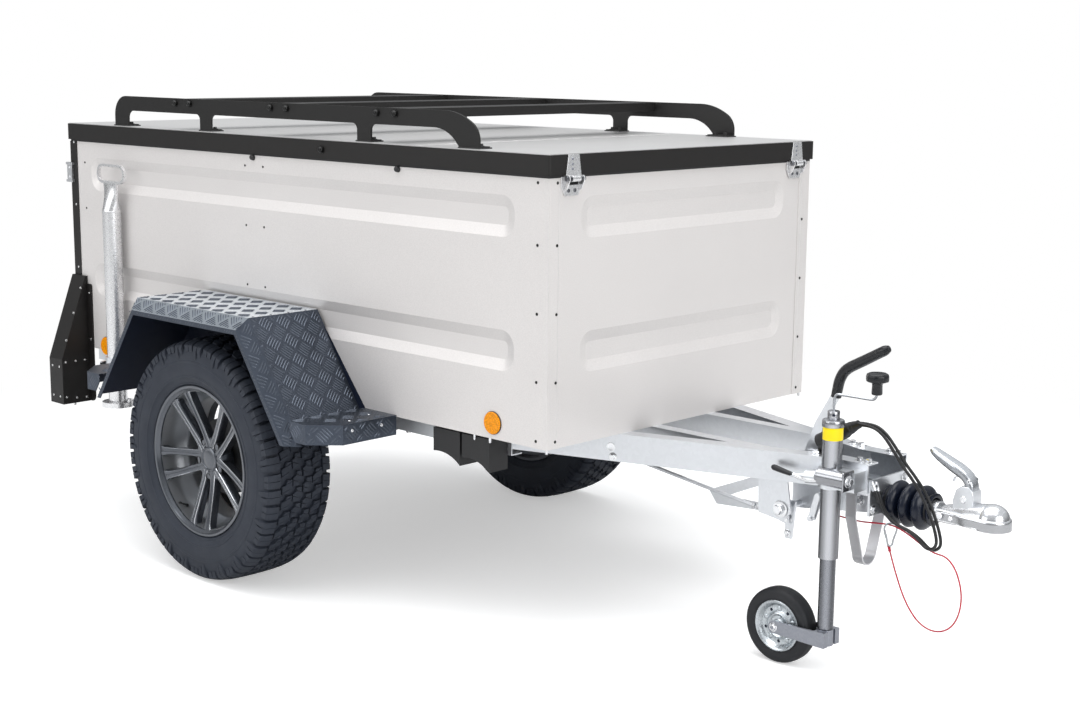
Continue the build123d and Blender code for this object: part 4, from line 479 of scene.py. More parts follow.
# material name, finish, colour, roughness and the finish's own values
FINISHES = (
    ("silver_sheet", finish_sheet, (0.685, 0.660, 0.648), 0.42, 0.25),
    ("lid_skin", finish_sheet, (0.79, 0.785, 0.78), 0.28, 0.60),
    ("plywood", finish_plywood, (0.075, 0.042, 0.024), 0.45),
    ("black_rubber", finish_rubber, (0.018, 0.018, 0.019), 0.5, 0.1),
    ("black_rack", finish_coat, (0.0105, 0.0100, 0.0098), 0.46),
    ("black_steel", finish_coat, (0.0100, 0.0090, 0.0086), 0.46),
    ("tyre_rubber", finish_rubber, (0.020, 0.025, 0.037), 0.64, 0.20, (0.054, 0.060, 0.073)),
    ("alloy_wheel", finish_lacquer, (0.088, 0.096, 0.112), 0.28),
    ("spoke_edge", finish_lacquer, (0.62, 0.64, 0.67), 0.20),
    # paler alloy on the barrel, raised further as painted light against the barrel's shade
    ("rim_barrel_alloy_and_painted_light", finish_lacquer, (0.50, 0.52, 0.55), 0.34),
    ("tread_plate", finish_plate, (0.070, 0.082, 0.106), 0.36),
    # lit and shaded copies of the tread plate: a pale painted highlight on flat tops, dark painted shade and
    # paler painted highlight on the bars, a painted half shade on folds, near-black painted shade below
    ("tread_plate_painted_highlight", finish_plate, (0.84, 0.88, 0.92), 0.30),
    ("tread_bar_painted_shade", finish_plate, (0.040, 0.046, 0.058), 0.34),
    ("slope_bar_painted_highlight", finish_plate, (0.092, 0.106, 0.132), 0.36),
    ("fold_plate_painted_half_shade", finish_plate, (0.36, 0.395, 0.435), 0.30),
    # near-black painted shade, for undersides, holes, gaps and walls in shade
    ("painted_shade_black", finish_rubber, (0.002, 0.006, 0.020), 0.55, 0.0, (0.002, 0.006, 0.020)),
    ("red_lamp", finish_lens, (0.42, 0.012, 0.010), 0.12),
    ("amber_reflector", finish_lens, (0.70, 0.245, 0.0), 0.30, 0.0),
    ("clear_lens", finish_lens, (0.75, 0.76, 0.76), 0.12),
    ("black_plastic", finish_plastic, (0.014, 0.014, 0.015), 0.40),
    ("cable_black", finish_plastic, (0.012, 0.012, 0.013), 0.34),
    ("cable_red", finish_plastic, (0.42, 0.006, 0.028), 0.34, 0.1),
    ("yellow_band", finish_plastic, (0.90, 0.70, 0.0), 0.4, 0.1),
    ("bellows_rubber", finish_plastic, (0.005, 0.008, 0.018), 0.26),
    ("grip_plastic", finish_plastic, (0.009, 0.010, 0.012), 0.28),
    ("jockey_rubber", finish_rubber, (0.012, 0.013, 0.016), 0.55, 0.05),
    ("cast_drum", finish_coat, (0.035, 0.036, 0.038), 0.6),
    ("bolt_black", finish_coat, (0.003, 0.003, 0.003), 0.32),
    # every zinc finish darkens faces that lean down and lightens those that lean up, as painted shade and
    # highlight; the two numbers after the scale set how much, and True adds painted reflection bands
    ("galvanised", finish_zinc, (0.74, 0.76, 0.79), 0.30),
    ("zinc_steel", finish_zinc, (0.74, 0.74, 0.74), 0.16, 0.06, 300.0),
    ("bright_steel", finish_zinc, (0.80, 0.81, 0.83), 0.12, 0.04, 400.0),
    ("handle_steel", finish_zinc, (0.50, 0.52, 0.55), 0.22, 0.05, 300.0, 0.02, 1.5),
    ("disc_steel", finish_zinc, (0.58, 0.62, 0.65), 0.26, 0.02, 300.0, 0.5, 1.3),
    ("tube_steel", finish_zinc, (0.54, 0.55, 0.58), 0.20, 0.03, 400.0, 0.8, 1.1, True),
    ("stand_steel", finish_zinc, (0.84, 0.84, 0.85), 0.26, 0.02, 400.0, 0.85, 1.05),
    ("strap_steel", finish_zinc, (0.72, 0.72, 0.74), 0.46, 0.02, 400.0, 0.8, 1.0),
    ("leg_steel", finish_zinc, (0.30, 0.31, 0.34), 0.22, 0.05, 300.0, 0.8, 1.1, True),
    ("fork_steel", finish_zinc, (0.24, 0.25, 0.28), 0.30, 0.10, 200.0, 0.6, 1.9),
    # painted shade for the rails' inner faces under the box
    ("rail_painted_shade", finish_zinc, (0.36, 0.38, 0.41), 0.34, 0.12, 150.0),
    ("head_steel", finish_zinc, (0.58, 0.59, 0.61), 0.20, 0.04, 300.0, 0.02, 1.35),
)
MATERIALS = {name: finish(name, *look) for name, finish, *look in FINISHES}
# nodes whose finish differs from their slot's
OWN_FINISH = {
    "prop_stand_right": "stand_steel", "prop_stand_left": "stand_steel", "jockey_tube": "tube_steel",
    "jockey_leg": "leg_steel", "jockey_fork": "fork_steel", "coupling_head": "head_steel",
    "loop_strap": "strap_steel",
}


def dress_frame():
    """Give every CAD node the material of its slot, or its own."""
    slots = {part["node"]: part["material_slot"] for part in frame["record"]["subparts"]}
    for name, obj in NODES.items():
        obj.data.materials.clear()
        obj.data.materials.append(MATERIALS[OWN_FINISH.get(name, slots[name])])


# ---------------------------------------------------------------- mesh helpers

BEVEL_SEGMENTS = 2
BEVEL_ANGLE = math.radians(40)


def finish_mesh(name, bm, body, slot, material=None, smooth=35.0, bevel=0.0):
    """Turn a bmesh in metres into a piece that rides on a body."""
    bmesh.ops.recalc_face_normals(bm, faces=bm.faces)
    mesh = bpy.data.meshes.new(name)
    bm.to_mesh(mesh)
    bm.free()
    mesh.materials.append(MATERIALS[material or slot])
    mesh.shade_smooth()
    mesh.set_sharp_from_angle(angle=math.radians(smooth))
    obj = link_object(name, mesh)
    if bevel:
        rounder = obj.modifiers.new("round_edges", "BEVEL")
        rounder.width = bevel * MM
        rounder.segments = BEVEL_SEGMENTS
        rounder.limit_method = "ANGLE"
        rounder.angle_limit = BEVEL_ANGLE
        rounder.harden_normals = False
    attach(obj, body)
    return obj


def axes_to(direction, side=None):
    """A rotation whose local Z runs along a direction, and local X as near a side as it can."""
    z = Vector(direction).normalized()
    hint = Vector(side) if side else (Vector(FORWARD) if abs(z.x) < 0.9 else Vector(LEFT))
    x = (hint - z * hint.dot(z)).normalized()
    return Matrix((x, z.cross(x), z)).transposed()


def moved(at, direction=UP, side=None):
    """A 4x4 placement at a drawing point, with local Z along a direction; local units are mm."""
    return Matrix.Translation(place(*at)) @ axes_to(direction, side).to_4x4() @ Matrix.Scale(MM, 4)


def on_circle(radius, angle):
    """The point of a circle at an angle from its first axis."""
    return radius * math.cos(angle), radius * math.sin(angle)


def circle(radius, steps=16, start=0.0):
    """Points of a regular outline round the origin."""
    return [on_circle(radius, start + 2 * math.pi * i / steps) for i in range(steps)]


def rounded_rectangle(width, height, corner, steps=4):
    points = []
    for cx, cy, start in ((1, 1, 0), (-1, 1, 90), (-1, -1, 180), (1, -1, 270)):
        for i in range(steps + 1):
            x, y = on_circle(corner, math.radians(start + 90 * i / steps))
            points.append((cx * (width / 2 - corner) + x, cy * (height / 2 - corner) + y))
    return points


def bridge(bm, rings, closed=False):
    """Faces between neighbouring rings; a ring of one point closes as a fan."""
    steps = max(len(ring) for ring in rings)
    for low, high in list(zip(rings, rings[1:])) + ([(rings[-1], rings[0])] if closed else []):
        for i in range(steps):
            j = (i + 1) % steps
            corners = [low[i % len(low)], low[j % len(low)], high[j % len(high)], high[i % len(high)]]
            corners = list(dict.fromkeys(corners))
            if len(corners) > 2:
                bm.faces.new(corners)


def close_ends(bm, rings):
    """Flat faces over the first and the last ring."""
    bm.faces.new(rings[0][::-1])
    bm.faces.new(rings[-1])


def add_lathe(bm, profile, at, direction, steps=32, side=None, closed=False, flute=None):
    """Turn a (radius, height) profile in mm about a local axis; end points at radius 0 close it.

    flute gives a share of the radius from the height and the angle.
    """
    frame_at = moved(at, direction, side)
    rings = []
    for radius, height in profile:
        if radius <= 0:
            rings.append([bm.verts.new(frame_at @ Vector((0, 0, height)))])
            continue
        ring = []
        for step in range(steps):
            angle = 2 * math.pi * step / steps
            share = flute(height, angle) if flute else 1.0
            ring.append(bm.verts.new(frame_at @ Vector((*on_circle(radius * share, angle), height))))
        rings.append(ring)
    bridge(bm, rings, closed)


def add_block(bm, low, high):
    """A box between two drawing corners."""
    spots = [place(x, y, z) for z in (low[2], high[2]) for y in (low[1], high[1]) for x in (low[0],
                                                                                            high[0])]
    v = [bm.verts.new(spot) for spot in spots]
    for quad in ((0, 1, 3, 2), (4, 6, 7, 5), (0, 4, 5, 1), (2, 3, 7, 6), (0, 2, 6, 4), (1, 5, 7, 3)):
        bm.faces.new([v[i] for i in quad])


def add_side_block(bm, side, low, high):
    """A block whose y values are distances from the middle on one side."""
    near, far = sorted((side * low[1], side * high[1]))
    add_block(bm, (low[0], near, low[2]), (high[0], far, high[2]))


def add_prism(bm, outline, low, high, frame_at, top_scale=1.0):
    """Extrude an outline of local (x, y) mm from height low to high; top_scale shrinks the top."""
    centre = sum((Vector(p) for p in outline), Vector((0, 0))) / len(outline)
    base = [bm.verts.new(frame_at @ Vector((x, y, low))) for x, y in outline]
    top = []
    for point in outline:
        spot = centre + (Vector(point) - centre) * top_scale
        top.append(bm.verts.new(frame_at @ Vector((spot.x, spot.y, high))))
    close_ends(bm, [base, top])
    bridge(bm, [base, top])


def add_loft(bm, rows):
    """A closed body through rows of drawing points, capped at both ends."""
    rings = [[bm.verts.new(place(*spot)) for spot in row] for row in rows]
    bridge(bm, rings)
    close_ends(bm, rings)


def add_plate(bm, outline, near, far):
    """An upright plate of (x, z) outline between two distances from the middle."""
    add_loft(bm, [[(x, y, z) for x, z in outline] for y in (near, far)])


def smooth_points(points, per_run=6):
    """Catmull-Rom points through the given ones."""
    spots = [Vector(p) for p in points]
    padded = [2 * spots[0] - spots[1], *spots, 2 * spots[-1] - spots[-2]]
    line = []
    for i in range(1, len(padded) - 2):
        a, b, c, d = padded[i - 1:i + 3]
        for step in range(per_run):
            t = step / per_run
            line.append(0.5 * ((2 * b) + (c - a) * t + (2 * a - 5 * b + 4 * c - d) * t * t
                               + (3 * b - a - 3 * c + d) * t ** 3))
    line.append(spots[-1])
    return line


def add_sweep(bm, line, section, side=LEFT, scales=None):
    """Sweep a closed (x, y) mm section along drawing points; local x stays near a side vector."""
    rings = []
    for i, point in enumerate(line):
        ahead = line[min(i + 1, len(line) - 1)] - line[max(i - 1, 0)]
        turn = axes_to(ahead, side)
        grow = scales[i] if scales else 1.0
        spots = [Vector(point) + turn @ Vector((x * grow, y * grow, 0)) for x, y in section]
        rings.append([bm.verts.new(place(*spot)) for spot in spots])
    bridge(bm, rings)
    close_ends(bm, rings)


def add_hex_bolt(bm, at, direction, across=13.0, washer=True):
    """Hexagon head on a washer, standing off a face."""
    lift = 0.0
    if washer:
        rim = across * 0.92
        add_lathe(bm, [(0, 1.6), (across * 0.85, 1.6), (rim, 1.2), (rim, -0.5), (0, -0.5)], at, direction,
                  20)
        lift = 1.6
    hexagon = circle(across / math.sqrt(3), 6)
    frame_at = moved(at, direction)
    height = across * 0.55
    add_prism(bm, hexagon, lift, lift + height * 0.8, frame_at)
    add_prism(bm, hexagon, lift + height * 0.8, lift + height, frame_at, 0.86)


def add_rivet(bm, at, direction, radius=4.0):
    """Domed rivet head with the dimple of its broken stem."""
    add_lathe(bm,
              [(radius, -0.4), (radius, 0.3), (radius * 0.86, radius * 0.28), (radius * 0.5, radius * 0.42),
                   (radius * 0.34, radius * 0.42), (radius * 0.3, radius * 0.2), (0, radius * 0.2)],
              at, direction, 12)


def add_button_bolt(bm, at, direction, radius=7.0):
    """Button head with a hexagon socket."""
    add_lathe(bm,
              [(radius * 1.25, -0.4), (radius * 1.25, 1.2), (radius, 1.4), (radius * 0.92, radius * 0.35),
                   (radius * 0.6, radius * 0.58), (radius * 0.42, radius * 0.6)], at, direction, 18)
    add_lathe(bm, [(radius * 0.42, radius * 0.6), (radius * 0.42, radius * 0.2), (0, radius * 0.2)],
              at, direction, 6)


# ---------------------------------------------------------------- wheels

TYRE_PITCHES = 46
TREAD_PROFILE = [(0, 362.0), (40, 361.6), (74, 360.2), (90, 357.4), (101, 353.0)]
CARCASS = [
    (353.0, 0), (352.6, 40), (350.8, 74), (347.2, 92), (341.0, 103.5), (330.0, 110.0), (317.0, 113.2),
    (302.0, 114.2), (300.6, 115.3), (295.0, 115.6), (293.8, 114.8), (284.0, 115.6), (268.0, 115.2),
    (257.5, 113.4), (256.1, 114.4), (251.5, 113.9), (250.1, 112.2), (241.0, 108.4), (235.6, 105.8),
    (234.4, 106.6), (230.4, 103.8), (228.4, 99.6), (222.0, 96.0), (214.5, 95.0), (212.0, 84.0),
]
SHOULDER_TOP = [(359.4, 76.0), (357.0, 92.0), (353.0, 104.0), (346.5, 112.0), (336.0, 116.2),
                (323.0, 117.4),
                (311.0, 117.0)]
SHOULDER_BASE = [(350.6, 76.0), (347.4, 92.0), (342.6, 102.0), (336.0, 107.6), (327.5, 111.2),
                 (318.0, 113.2),
                 (308.0, 114.2)]
CENTRE_BLOCK = [(3.5, 3.2), (27, 3.2), (33, 13), (45, 15.5), (45, 33), (22, 33), (15, 22.5), (3.5, 19)]
MIDDLE_BLOCK = [(25, 37.4), (45, 37.4), (51.5, 47), (65, 50), (65, 71), (43, 71), (35.5, 58.5), (25, 53)]
# outline, lean of its sipes, the middle they lean about and where they lie
TREAD_BLOCKS = ((CENTRE_BLOCK, 0.34, 18, (13.5, 33.0)), (MIDDLE_BLOCK, -0.34, 53, (35.0, 55.0)))
SIPE = 1.5
SIPE_SLOPE = 0.94
BLOCK_DEPTH = 9.6
FLANK_LEAN = 1.1
TYRE_STEPS = 138


def wheel_centre(side):
    """Drawing point in the middle of a wheel."""
    return (0, side * WHEEL_Y, TYRE_RADIUS)


def crown(y):
    """Radius of the tread surface at a distance from the wheel's middle plane."""
    y = abs(y)
    for (y0, r0), (y1, r1) in zip(TREAD_PROFILE, TREAD_PROFILE[1:]):
        if y <= y1:
            return r0 + (r1 - r0) * (y - y0) / (y1 - y0)
    return TREAD_PROFILE[-1][1]


def clip_side(outline, normal, offset):
    """The part of an outline on the low side of a line."""
    kept = []
    for p, q in zip(outline, outline[1:] + outline[:1]):
        dp = p[0] * normal[0] + p[1] * normal[1] - offset
        dq = q[0] * normal[0] + q[1] * normal[1] - offset
        if dp <= 0:
            kept.append(p)
        if dp * dq < 0:
            t = dp / (dp - dq)
            kept.append((p[0] + (q[0] - p[0]) * t, p[1] + (q[1] - p[1]) * t))
    return kept


def sliced(outline, normal, cuts):
    """An outline cut by parallel thin gaps into separate pieces."""
    pieces = []
    lows = [None] + [c + SIPE / 2 for c in cuts]
    highs = [c - SIPE / 2 for c in cuts] + [None]
    for low, high in zip(lows, highs):
        piece = list(outline)
        if high is not None:
            piece = clip_side(piece, normal, high)
        if low is not None:
            piece = clip_side(piece, (-normal[0], -normal[1]), -low)
        if len(piece) > 2:
            pieces.append(piece)
    return pieces


def tread_spot(s, y, radius, side):
    """A wheel-frame point from arc length along the tread, distance outwards and radius."""
    angle = s / TYRE_RADIUS
    return place(radius * math.sin(angle), side * (WHEEL_Y + y), TYRE_RADIUS + radius * math.cos(angle))


def add_tread_piece(bm, outline, side):
    """One tread block with leaning flanks, standing on the groove floor."""
    count = len(outline)
    cx = sum(p[0] for p in outline) / count
    cy = sum(p[1] for p in outline) / count
    top, foot = [], []
    for s, y in outline:
        top.append(bm.verts.new(tread_spot(s, y, crown(y), side)))
        reach = math.hypot(s - cx, y - cy) or 1
        grow = 1 + FLANK_LEAN / reach
        spot = tread_spot(cx + (s - cx) * grow, cy + (y - cy) * grow, crown(y) - BLOCK_DEPTH, side)
        foot.append(bm.verts.new(spot))
    bm.faces.new(top)
    bridge(bm, [top, foot])


def add_shoulder_lug(bm, s0, s1, y_sign, side, reach, skew=3.0):
    """Shoulder block that wraps from the tread down the sidewall."""
    tops, feet = [], []
    for i in range(reach):
        narrow = 0.0 if i < 4 else 1.6 * (i - 3)
        shift = skew * i / 3
        (rt, yt), (rb, yb) = SHOULDER_TOP[i], SHOULDER_BASE[i]
        if i == reach - 1:
            rt, yt = rb + 0.8, yb + 1.2
        row_t = [tread_spot(s + shift, y_sign * yt, rt, side) for s in (s0 + narrow, s1 - narrow)]
        row_b = [tread_spot(s + shift, y_sign * yb, rb, side) for s in (s0 + narrow - 1, s1 - narrow + 1)]
        tops.append([bm.verts.new(p) for p in row_t])
        feet.append([bm.verts.new(p) for p in row_b])
    for a, b, c, d in zip(tops, tops[1:], feet, feet[1:]):
        bm.faces.new([a[0], a[1], b[1], b[0]])
        bm.faces.new([a[0], b[0], d[0], c[0]])
        bm.faces.new([a[1], c[1], d[1], b[1]])
    bm.faces.new([tops[0][0], feet[0][0], feet[0][1], tops[0][1]])
    bm.faces.new([tops[-1][0], tops[-1][1], feet[-1][1], feet[-1][0]])


def add_tyre(name, side):
    """All-terrain tyre: ringed sidewalls, interlocking blocks with sipes, and shoulder lugs."""
    bm = bmesh.new()
    outer = [(r, y) for r, y in reversed(CARCASS)]
    profile = outer + [(r, -y) for r, y in CARCASS[1:]]
    add_lathe(bm, profile, wheel_centre(side), (0, side, 0), TYRE_STEPS, side=UP)
    pitch = 2 * math.pi * TYRE_RADIUS / TYRE_PITCHES
    for index in range(TYRE_PITCHES):
        jitter = 1.2 * math.sin(index * 2.4)
        for y_sign in (1, -1):
            start = index * pitch + (0 if y_sign > 0 else pitch * 0.5) + jitter
            for outline, lean, middle, cuts in TREAD_BLOCKS:
                cut_at = [cut * SIPE_SLOPE + lean * middle for cut in cuts]
                for piece in sliced(outline, (SIPE_SLOPE, lean), cut_at):
                    add_tread_piece(bm, [(start + y_sign * s, y_sign * y) for s, y in piece], side)
            long_one = index % 2 == 0
            reach = 7 if long_one else 5
            first = start + (2 if y_sign > 0 else 6)
            add_shoulder_lug(bm, first, first + 19.0, y_sign, side, reach)
            add_shoulder_lug(bm, first + 20.6, first + 39.5, y_sign, side, reach - 1 if long_one else reach)
    tyre = finish_mesh(f"tyre_visual_{name}", bm, f"wheel_{name}", "tyre_rubber", smooth=28)
    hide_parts(f"tyre_{name}")


RIM_PAIRS = 5
SPOKE_BRIGHT_FACES = (2, 6, 8)
RIM_PHASE = 30.0
# radius, distance of the bar's middle from the pair's middle, and half its width
SPOKE_STATIONS = (
    (34, 16.5, 14.5), (50, 18.5, 13.4), (62, 19.8, 12.6), (78, 22.0, 12.0), (100, 25.0, 11.6),
    (125, 28.0, 11.4), (150, 31.0, 11.6), (175, 34.0, 12.2), (195, 36.0, 13.6), (209, 38.0, 17.5),
)
BOLT_CIRCLE = 56.0
BOLT_RADIUS = 8.2
VALVE_TURN = 0.63
VALVE_RADIUS = 203.0
RIM_FACE = [(30, 64.0), (52, 65.0), (80, 68.0), (120, 74.5), (160, 82.0), (190, 88.5), (206, 92.0)]


def face_height(radius):
    """How far the spokes' crest stands out from the wheel's middle plane."""
    for (r0, h0), (r1, h1) in zip(RIM_FACE, RIM_FACE[1:]):
        if radius <= r1:
            return h0 + (h1 - h0) * max(0.0, radius - r0) / (r1 - r0)
    return RIM_FACE[-1][1]


def add_spoke(bm, frame_at, hand):
    """One bar of a pair: broad foot, a chamfered crest and a hollow flank."""
    rings = []
    for r, mid, w in SPOKE_STATIONS:
        x = math.sqrt(max(r * r - mid * mid, 0))
        top = face_height(r)
        thick = 34 if r < 70 else 26
        section = [(-w, -thick), (-w, -8.5), (-w + 3.6, -1.6), (-w + 4.6, -0.2), (-1.6, 0.0), (0.4, -2.6),
                   (2.4, -2.6), (3.6, 0.0), (w - 2.6, -0.4), (w - 1.2, -2.0), (w, -10.0), (w - 1.0, -thick)]
        ring = []
        for across, height in section:
            ring.append(bm.verts.new(frame_at @ Vector((x, hand * (mid + across), top + height))))
        rings.append(ring)
    count = len(rings[0])
    for low, high in zip(rings, rings[1:]):
        for i in range(count):
            j = (i + 1) % count
            flank = bm.faces.new([low[i], low[j], high[j], high[i]])
            flank.material_index = 1 if i in SPOKE_BRIGHT_FACES else 0
    close_ends(bm, rings)


def add_rim(name, side):
    """Alloy wheel: barrel and lip, five pairs of ridged spokes, hub with bolt wells and a plain cap."""
    bm = bmesh.new()
    at, out = wheel_centre(side), (0, side, 0)
    add_lathe(bm, [
        (225.8, 99.0), (225.8, 102.6), (224.6, 104.0), (219.0, 104.0), (217.0, 103.2), (215.6, 101.4),
        (213.6, 99.0),
        (211.2, 97.0), (208.6, 94.0), (207.6, 88.0), (206.8, 60.0), (204.0, 36.0), (188.0, 14.0),
        (184.0, 6.0),
        (184.0, -44.0), (205.0, -68.0), (206.0, -96.0), (217.0, -103.8), (225.8, -103.8), (225.8, -97.0),
        (213.5, -92.0), (213.5, -66.0), (190.5, -46.0), (190.5, 10.0), (213.5, 34.0), (213.5, 91.5),
        (225.8, 97.0),
    ], at, out, 96, side=UP, closed=True)
    add_lathe(bm, [
        (0, 22.0), (66.0, 22.0), (67.5, 30.0), (67.5, 50.0), (64.0, 60.5), (60.5, 63.0), (48.0, 63.6),
        (41.0, 63.0),
        (38.6, 61.0), (38.0, 56.0), (0, 56.0),
    ], at, out, 80, side=UP)
    hub_frame = moved(at, out, UP)
    for index in range(RIM_PAIRS):
        turn = Matrix.Rotation(math.radians(RIM_PHASE + index * 360 / RIM_PAIRS), 4, "Z")
        for hand in (1, -1):
            add_spoke(bm, hub_frame @ turn, hand)
    rim = finish_mesh(f"rim_visual_{name}", bm, f"wheel_{name}", "alloy_wheel", smooth=30)
    rim.data.materials.append(MATERIALS["spoke_edge"])
    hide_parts(f"rim_{name}")
    # a paler alloy skin over the barrel, its tone raised as painted light against the barrel's shade
    barrel = bmesh.new()
    skin = [(207.0, 90.0), (206.2, 60.0), (203.4, 36.0), (187.4, 14.2), (183.4, 6.2), (183.4, -44.2),
            (204.4, -68.2)]
    add_lathe(barrel, skin + [(r + 0.5, h) for r, h in skin[::-1]], at, out, 96, side=UP, closed=True)
    finish_mesh(f"rim_barrel_alloy_and_painted_light_{name}", barrel, f"wheel_{name}", "alloy_wheel", "rim_barrel_alloy_and_painted_light")


def add_rim_fittings(name, side):
    """Bolt wells, bolts, centre cap and valve, in their own materials."""
    at, out = wheel_centre(side), (0, side, 0)
    cap = bmesh.new()
    add_lathe(cap,
              [(38.0, 52.0), (38.0, 62.0), (36.6, 65.6), (33.0, 67.4), (30.6, 67.0), (29.6, 65.4),
               (27.0, 64.8),
                    (24.0, 65.6), (12.0, 66.8), (0, 67.0)], at, out, 56, side=UP)
    finish_mesh(f"centre_cap_{name}", cap, f"wheel_{name}", "alloy_wheel")
    wells = bmesh.new()
    bolts = bmesh.new()
    for index in range(RIM_PAIRS):
        up, x = on_circle(BOLT_CIRCLE, math.radians(side * RIM_PHASE + index * 360 / RIM_PAIRS))
        spot = (x, side * WHEEL_Y, TYRE_RADIUS + up)
        add_lathe(wells, [(11.6, 64.6), (10.6, 65.4), (10.2, 64.0), (10.0, 42.0), (0, 42.0)], spot, out, 20)
        head = circle(BOLT_RADIUS, 6)
        add_prism(bolts, head, 42.0, 55.0, moved(spot, out))
        add_prism(bolts, head, 55.0, 56.6, moved(spot, out), 0.84)
    finish_mesh(f"bolt_wells_{name}", wells, f"wheel_{name}", "black_plastic")
    finish_mesh(f"wheel_bolts_{name}", bolts, f"wheel_{name}", "zinc_steel", "bright_steel")
    valve = bmesh.new()
    down, back = on_circle(VALVE_RADIUS, VALVE_TURN)
    add_lathe(valve,
              [(4.6, 0), (4.6, 4), (3.0, 8), (2.7, 22), (3.6, 23), (3.6, 33), (2.4, 34.4), (0, 34.4)],
              (-back, side * (WHEEL_Y + 62.0), TYRE_RADIUS - down), (0, side * 0.9, 0.43), 14)
    finish_mesh(f"tyre_valve_{name}", valve, f"wheel_{name}", "black_plastic")


def add_wheel_bodies():
    for name, side in WHEEL_SIDES:
        add_tyre(name, side)
        add_rim(name, side)
        add_rim_fittings(name, side)


# ---------------------------------------------------------------- tread-plate fenders and steps

FENDER_TOP_Z = 822.0
FENDER_TOP_HALF = 275.0
FENDER_BOTTOM_HALF = 506.0
FENDER_BOTTOM_Z = 492.0
FENDER_OUTER = 835.0
FENDER_FOLD = 33.0
FENDER_LIP = 14.0
STEP_TOP_Z = 562.0
STEP_SKIRT = 56.0
STEP_FAR = 615.0
STEP_OUTER = 820.0
STEP_CORNER = 72.0
STEP_LAP = 42.0
SHEET_Y = HALF_WIDTH + 1.5
FOLD_Y = FENDER_OUTER - FENDER_FOLD
SLOPE_RUN = FENDER_BOTTOM_HALF - FENDER_TOP_HALF
SLOPE_DROP = FENDER_TOP_Z - FENDER_BOTTOM_Z
SLOPE_LENGTH = math.hypot(SLOPE_RUN, SLOPE_DROP)
DIAGONAL = math.sqrt(0.5)
FOLD_WIDTH = FENDER_FOLD / DIAGONAL
LIP_BARS = {"rise": 0.3, "margin": 0.5}
# where the near-black sheets painted as shade on the wall inside the fenders lie
SHADE_SHEET_Y = (HALF_WIDTH + 0.6, HALF_WIDTH + 2.2)
CELL = 44.0
BAR_LENGTH = 37.0
BAR_WIDTH = 4.4
BAR_STEP = 8.3
BAR_POINTS = 12
SHORTEST_BAR = 9.0
BAR_END = 5.0
BAR_TAPER = 7.5
CREST_SHARE = 0.36


def inside(point, outline):
    """Whether a 2-D point lies in a polygon."""
    x, y = point
    hit = False
    for (x0, y0), (x1, y1) in zip(outline, outline[1:] + outline[:1]):
        if (y0 > y) != (y1 > y) and x < (x1 - x0) * (y - y0) / (y1 - y0) + x0:
            hit = not hit
    return hit


def bar_outline(a, b, end, taper, half):
    """Six points round a bar: its two ends, and its corners a taper in from them."""
    along = (b - a).normalized()
    out = Vector((-along.y, along.x)) * half
    near, far = a + along * taper, b - along * taper
    return [a + along * end, near + out, far + out, b - along * end, far - out, near - out]


def add_bar(bm, spot, a, b, rise):
    """One raised bar between two sheet points, rounded off towards its ends."""
    if (b - a).length < SHORTEST_BAR:
        return
    half = BAR_WIDTH / 2
    low = [bm.verts.new(spot(*p, -0.1)) for p in bar_outline(a, b, 0, BAR_END, half)]
    high = [bm.verts.new(spot(*p, rise)) for p in bar_outline(a, b, BAR_END, BAR_TAPER, half * CREST_SHARE)]
    bm.faces.new(high)
    bridge(bm, [low, high])


def bar_inside(middle, along, outline, margin):
    """The points of a bar's middle line that keep a margin from the sheet's edges."""
    kept = []
    for step in range(BAR_POINTS + 1):
        p = middle + along * (BAR_LENGTH * (step / BAR_POINTS - 0.5))
        around = ((0, 0), (margin, 0), (-margin, 0), (0, margin), (0, -margin))
        if all(inside((p.x + dx, p.y + dy), outline) for dx, dy in around):
            kept.append(p)
    return kept


def add_tread_pattern(bms, origin, u, v, outline, phase, rise=1.4, margin=1.5):
    """Groups of five bars on a chequer at 45 degrees to a sheet's edges. bms takes the two bar directions."""
    start, u, v = Vector(origin), Vector(u).normalized(), Vector(v).normalized()
    normal = u.cross(v)

    def spot(a, b, height):
        return place(*(start + u * a + v * b + normal * height))

    xs, ys = zip(*outline)
    reach = int((max(xs) - min(xs) + max(ys) - min(ys)) / CELL) + 3
    for i in range(-reach, reach):
        for j in range(-reach, reach):
            cx = phase[0] + (i + j) * CELL * DIAGONAL
            cy = phase[1] + (i - j) * CELL * DIAGONAL
            if not (min(xs) - CELL < cx < max(xs) + CELL and min(ys) - CELL < cy < max(ys) + CELL):
                continue
            even = (i + j) % 2 == 0
            along = Vector((DIAGONAL, DIAGONAL if even else -DIAGONAL))
            across = Vector((-along.y, along.x))
            for k in range(-2, 3):
                run = bar_inside(Vector((cx, cy)) + across * (k * BAR_STEP), along, outline, margin)
                if len(run) > 2:
                    add_bar(bms[0 if even else 1], spot, run[0], run[-1], rise)


def lay_tread(bms, side, way, origin, u, v, outline, phase, **more):
    """Bars on one sheet of the right-hand fender; way < 0 and side > 0 each swap the sheet's axes.

    A swap turns the bars' face over. The left set therefore lies face down in the right-hand sheets.
    """
    for swapped in (way < 0, side > 0):
        if swapped:
            u, v, phase = v, u, phase[::-1]
            outline = [(b, a) for a, b in outline][::-1]
    add_tread_pattern(bms, origin, u, v, outline, phase, **more)


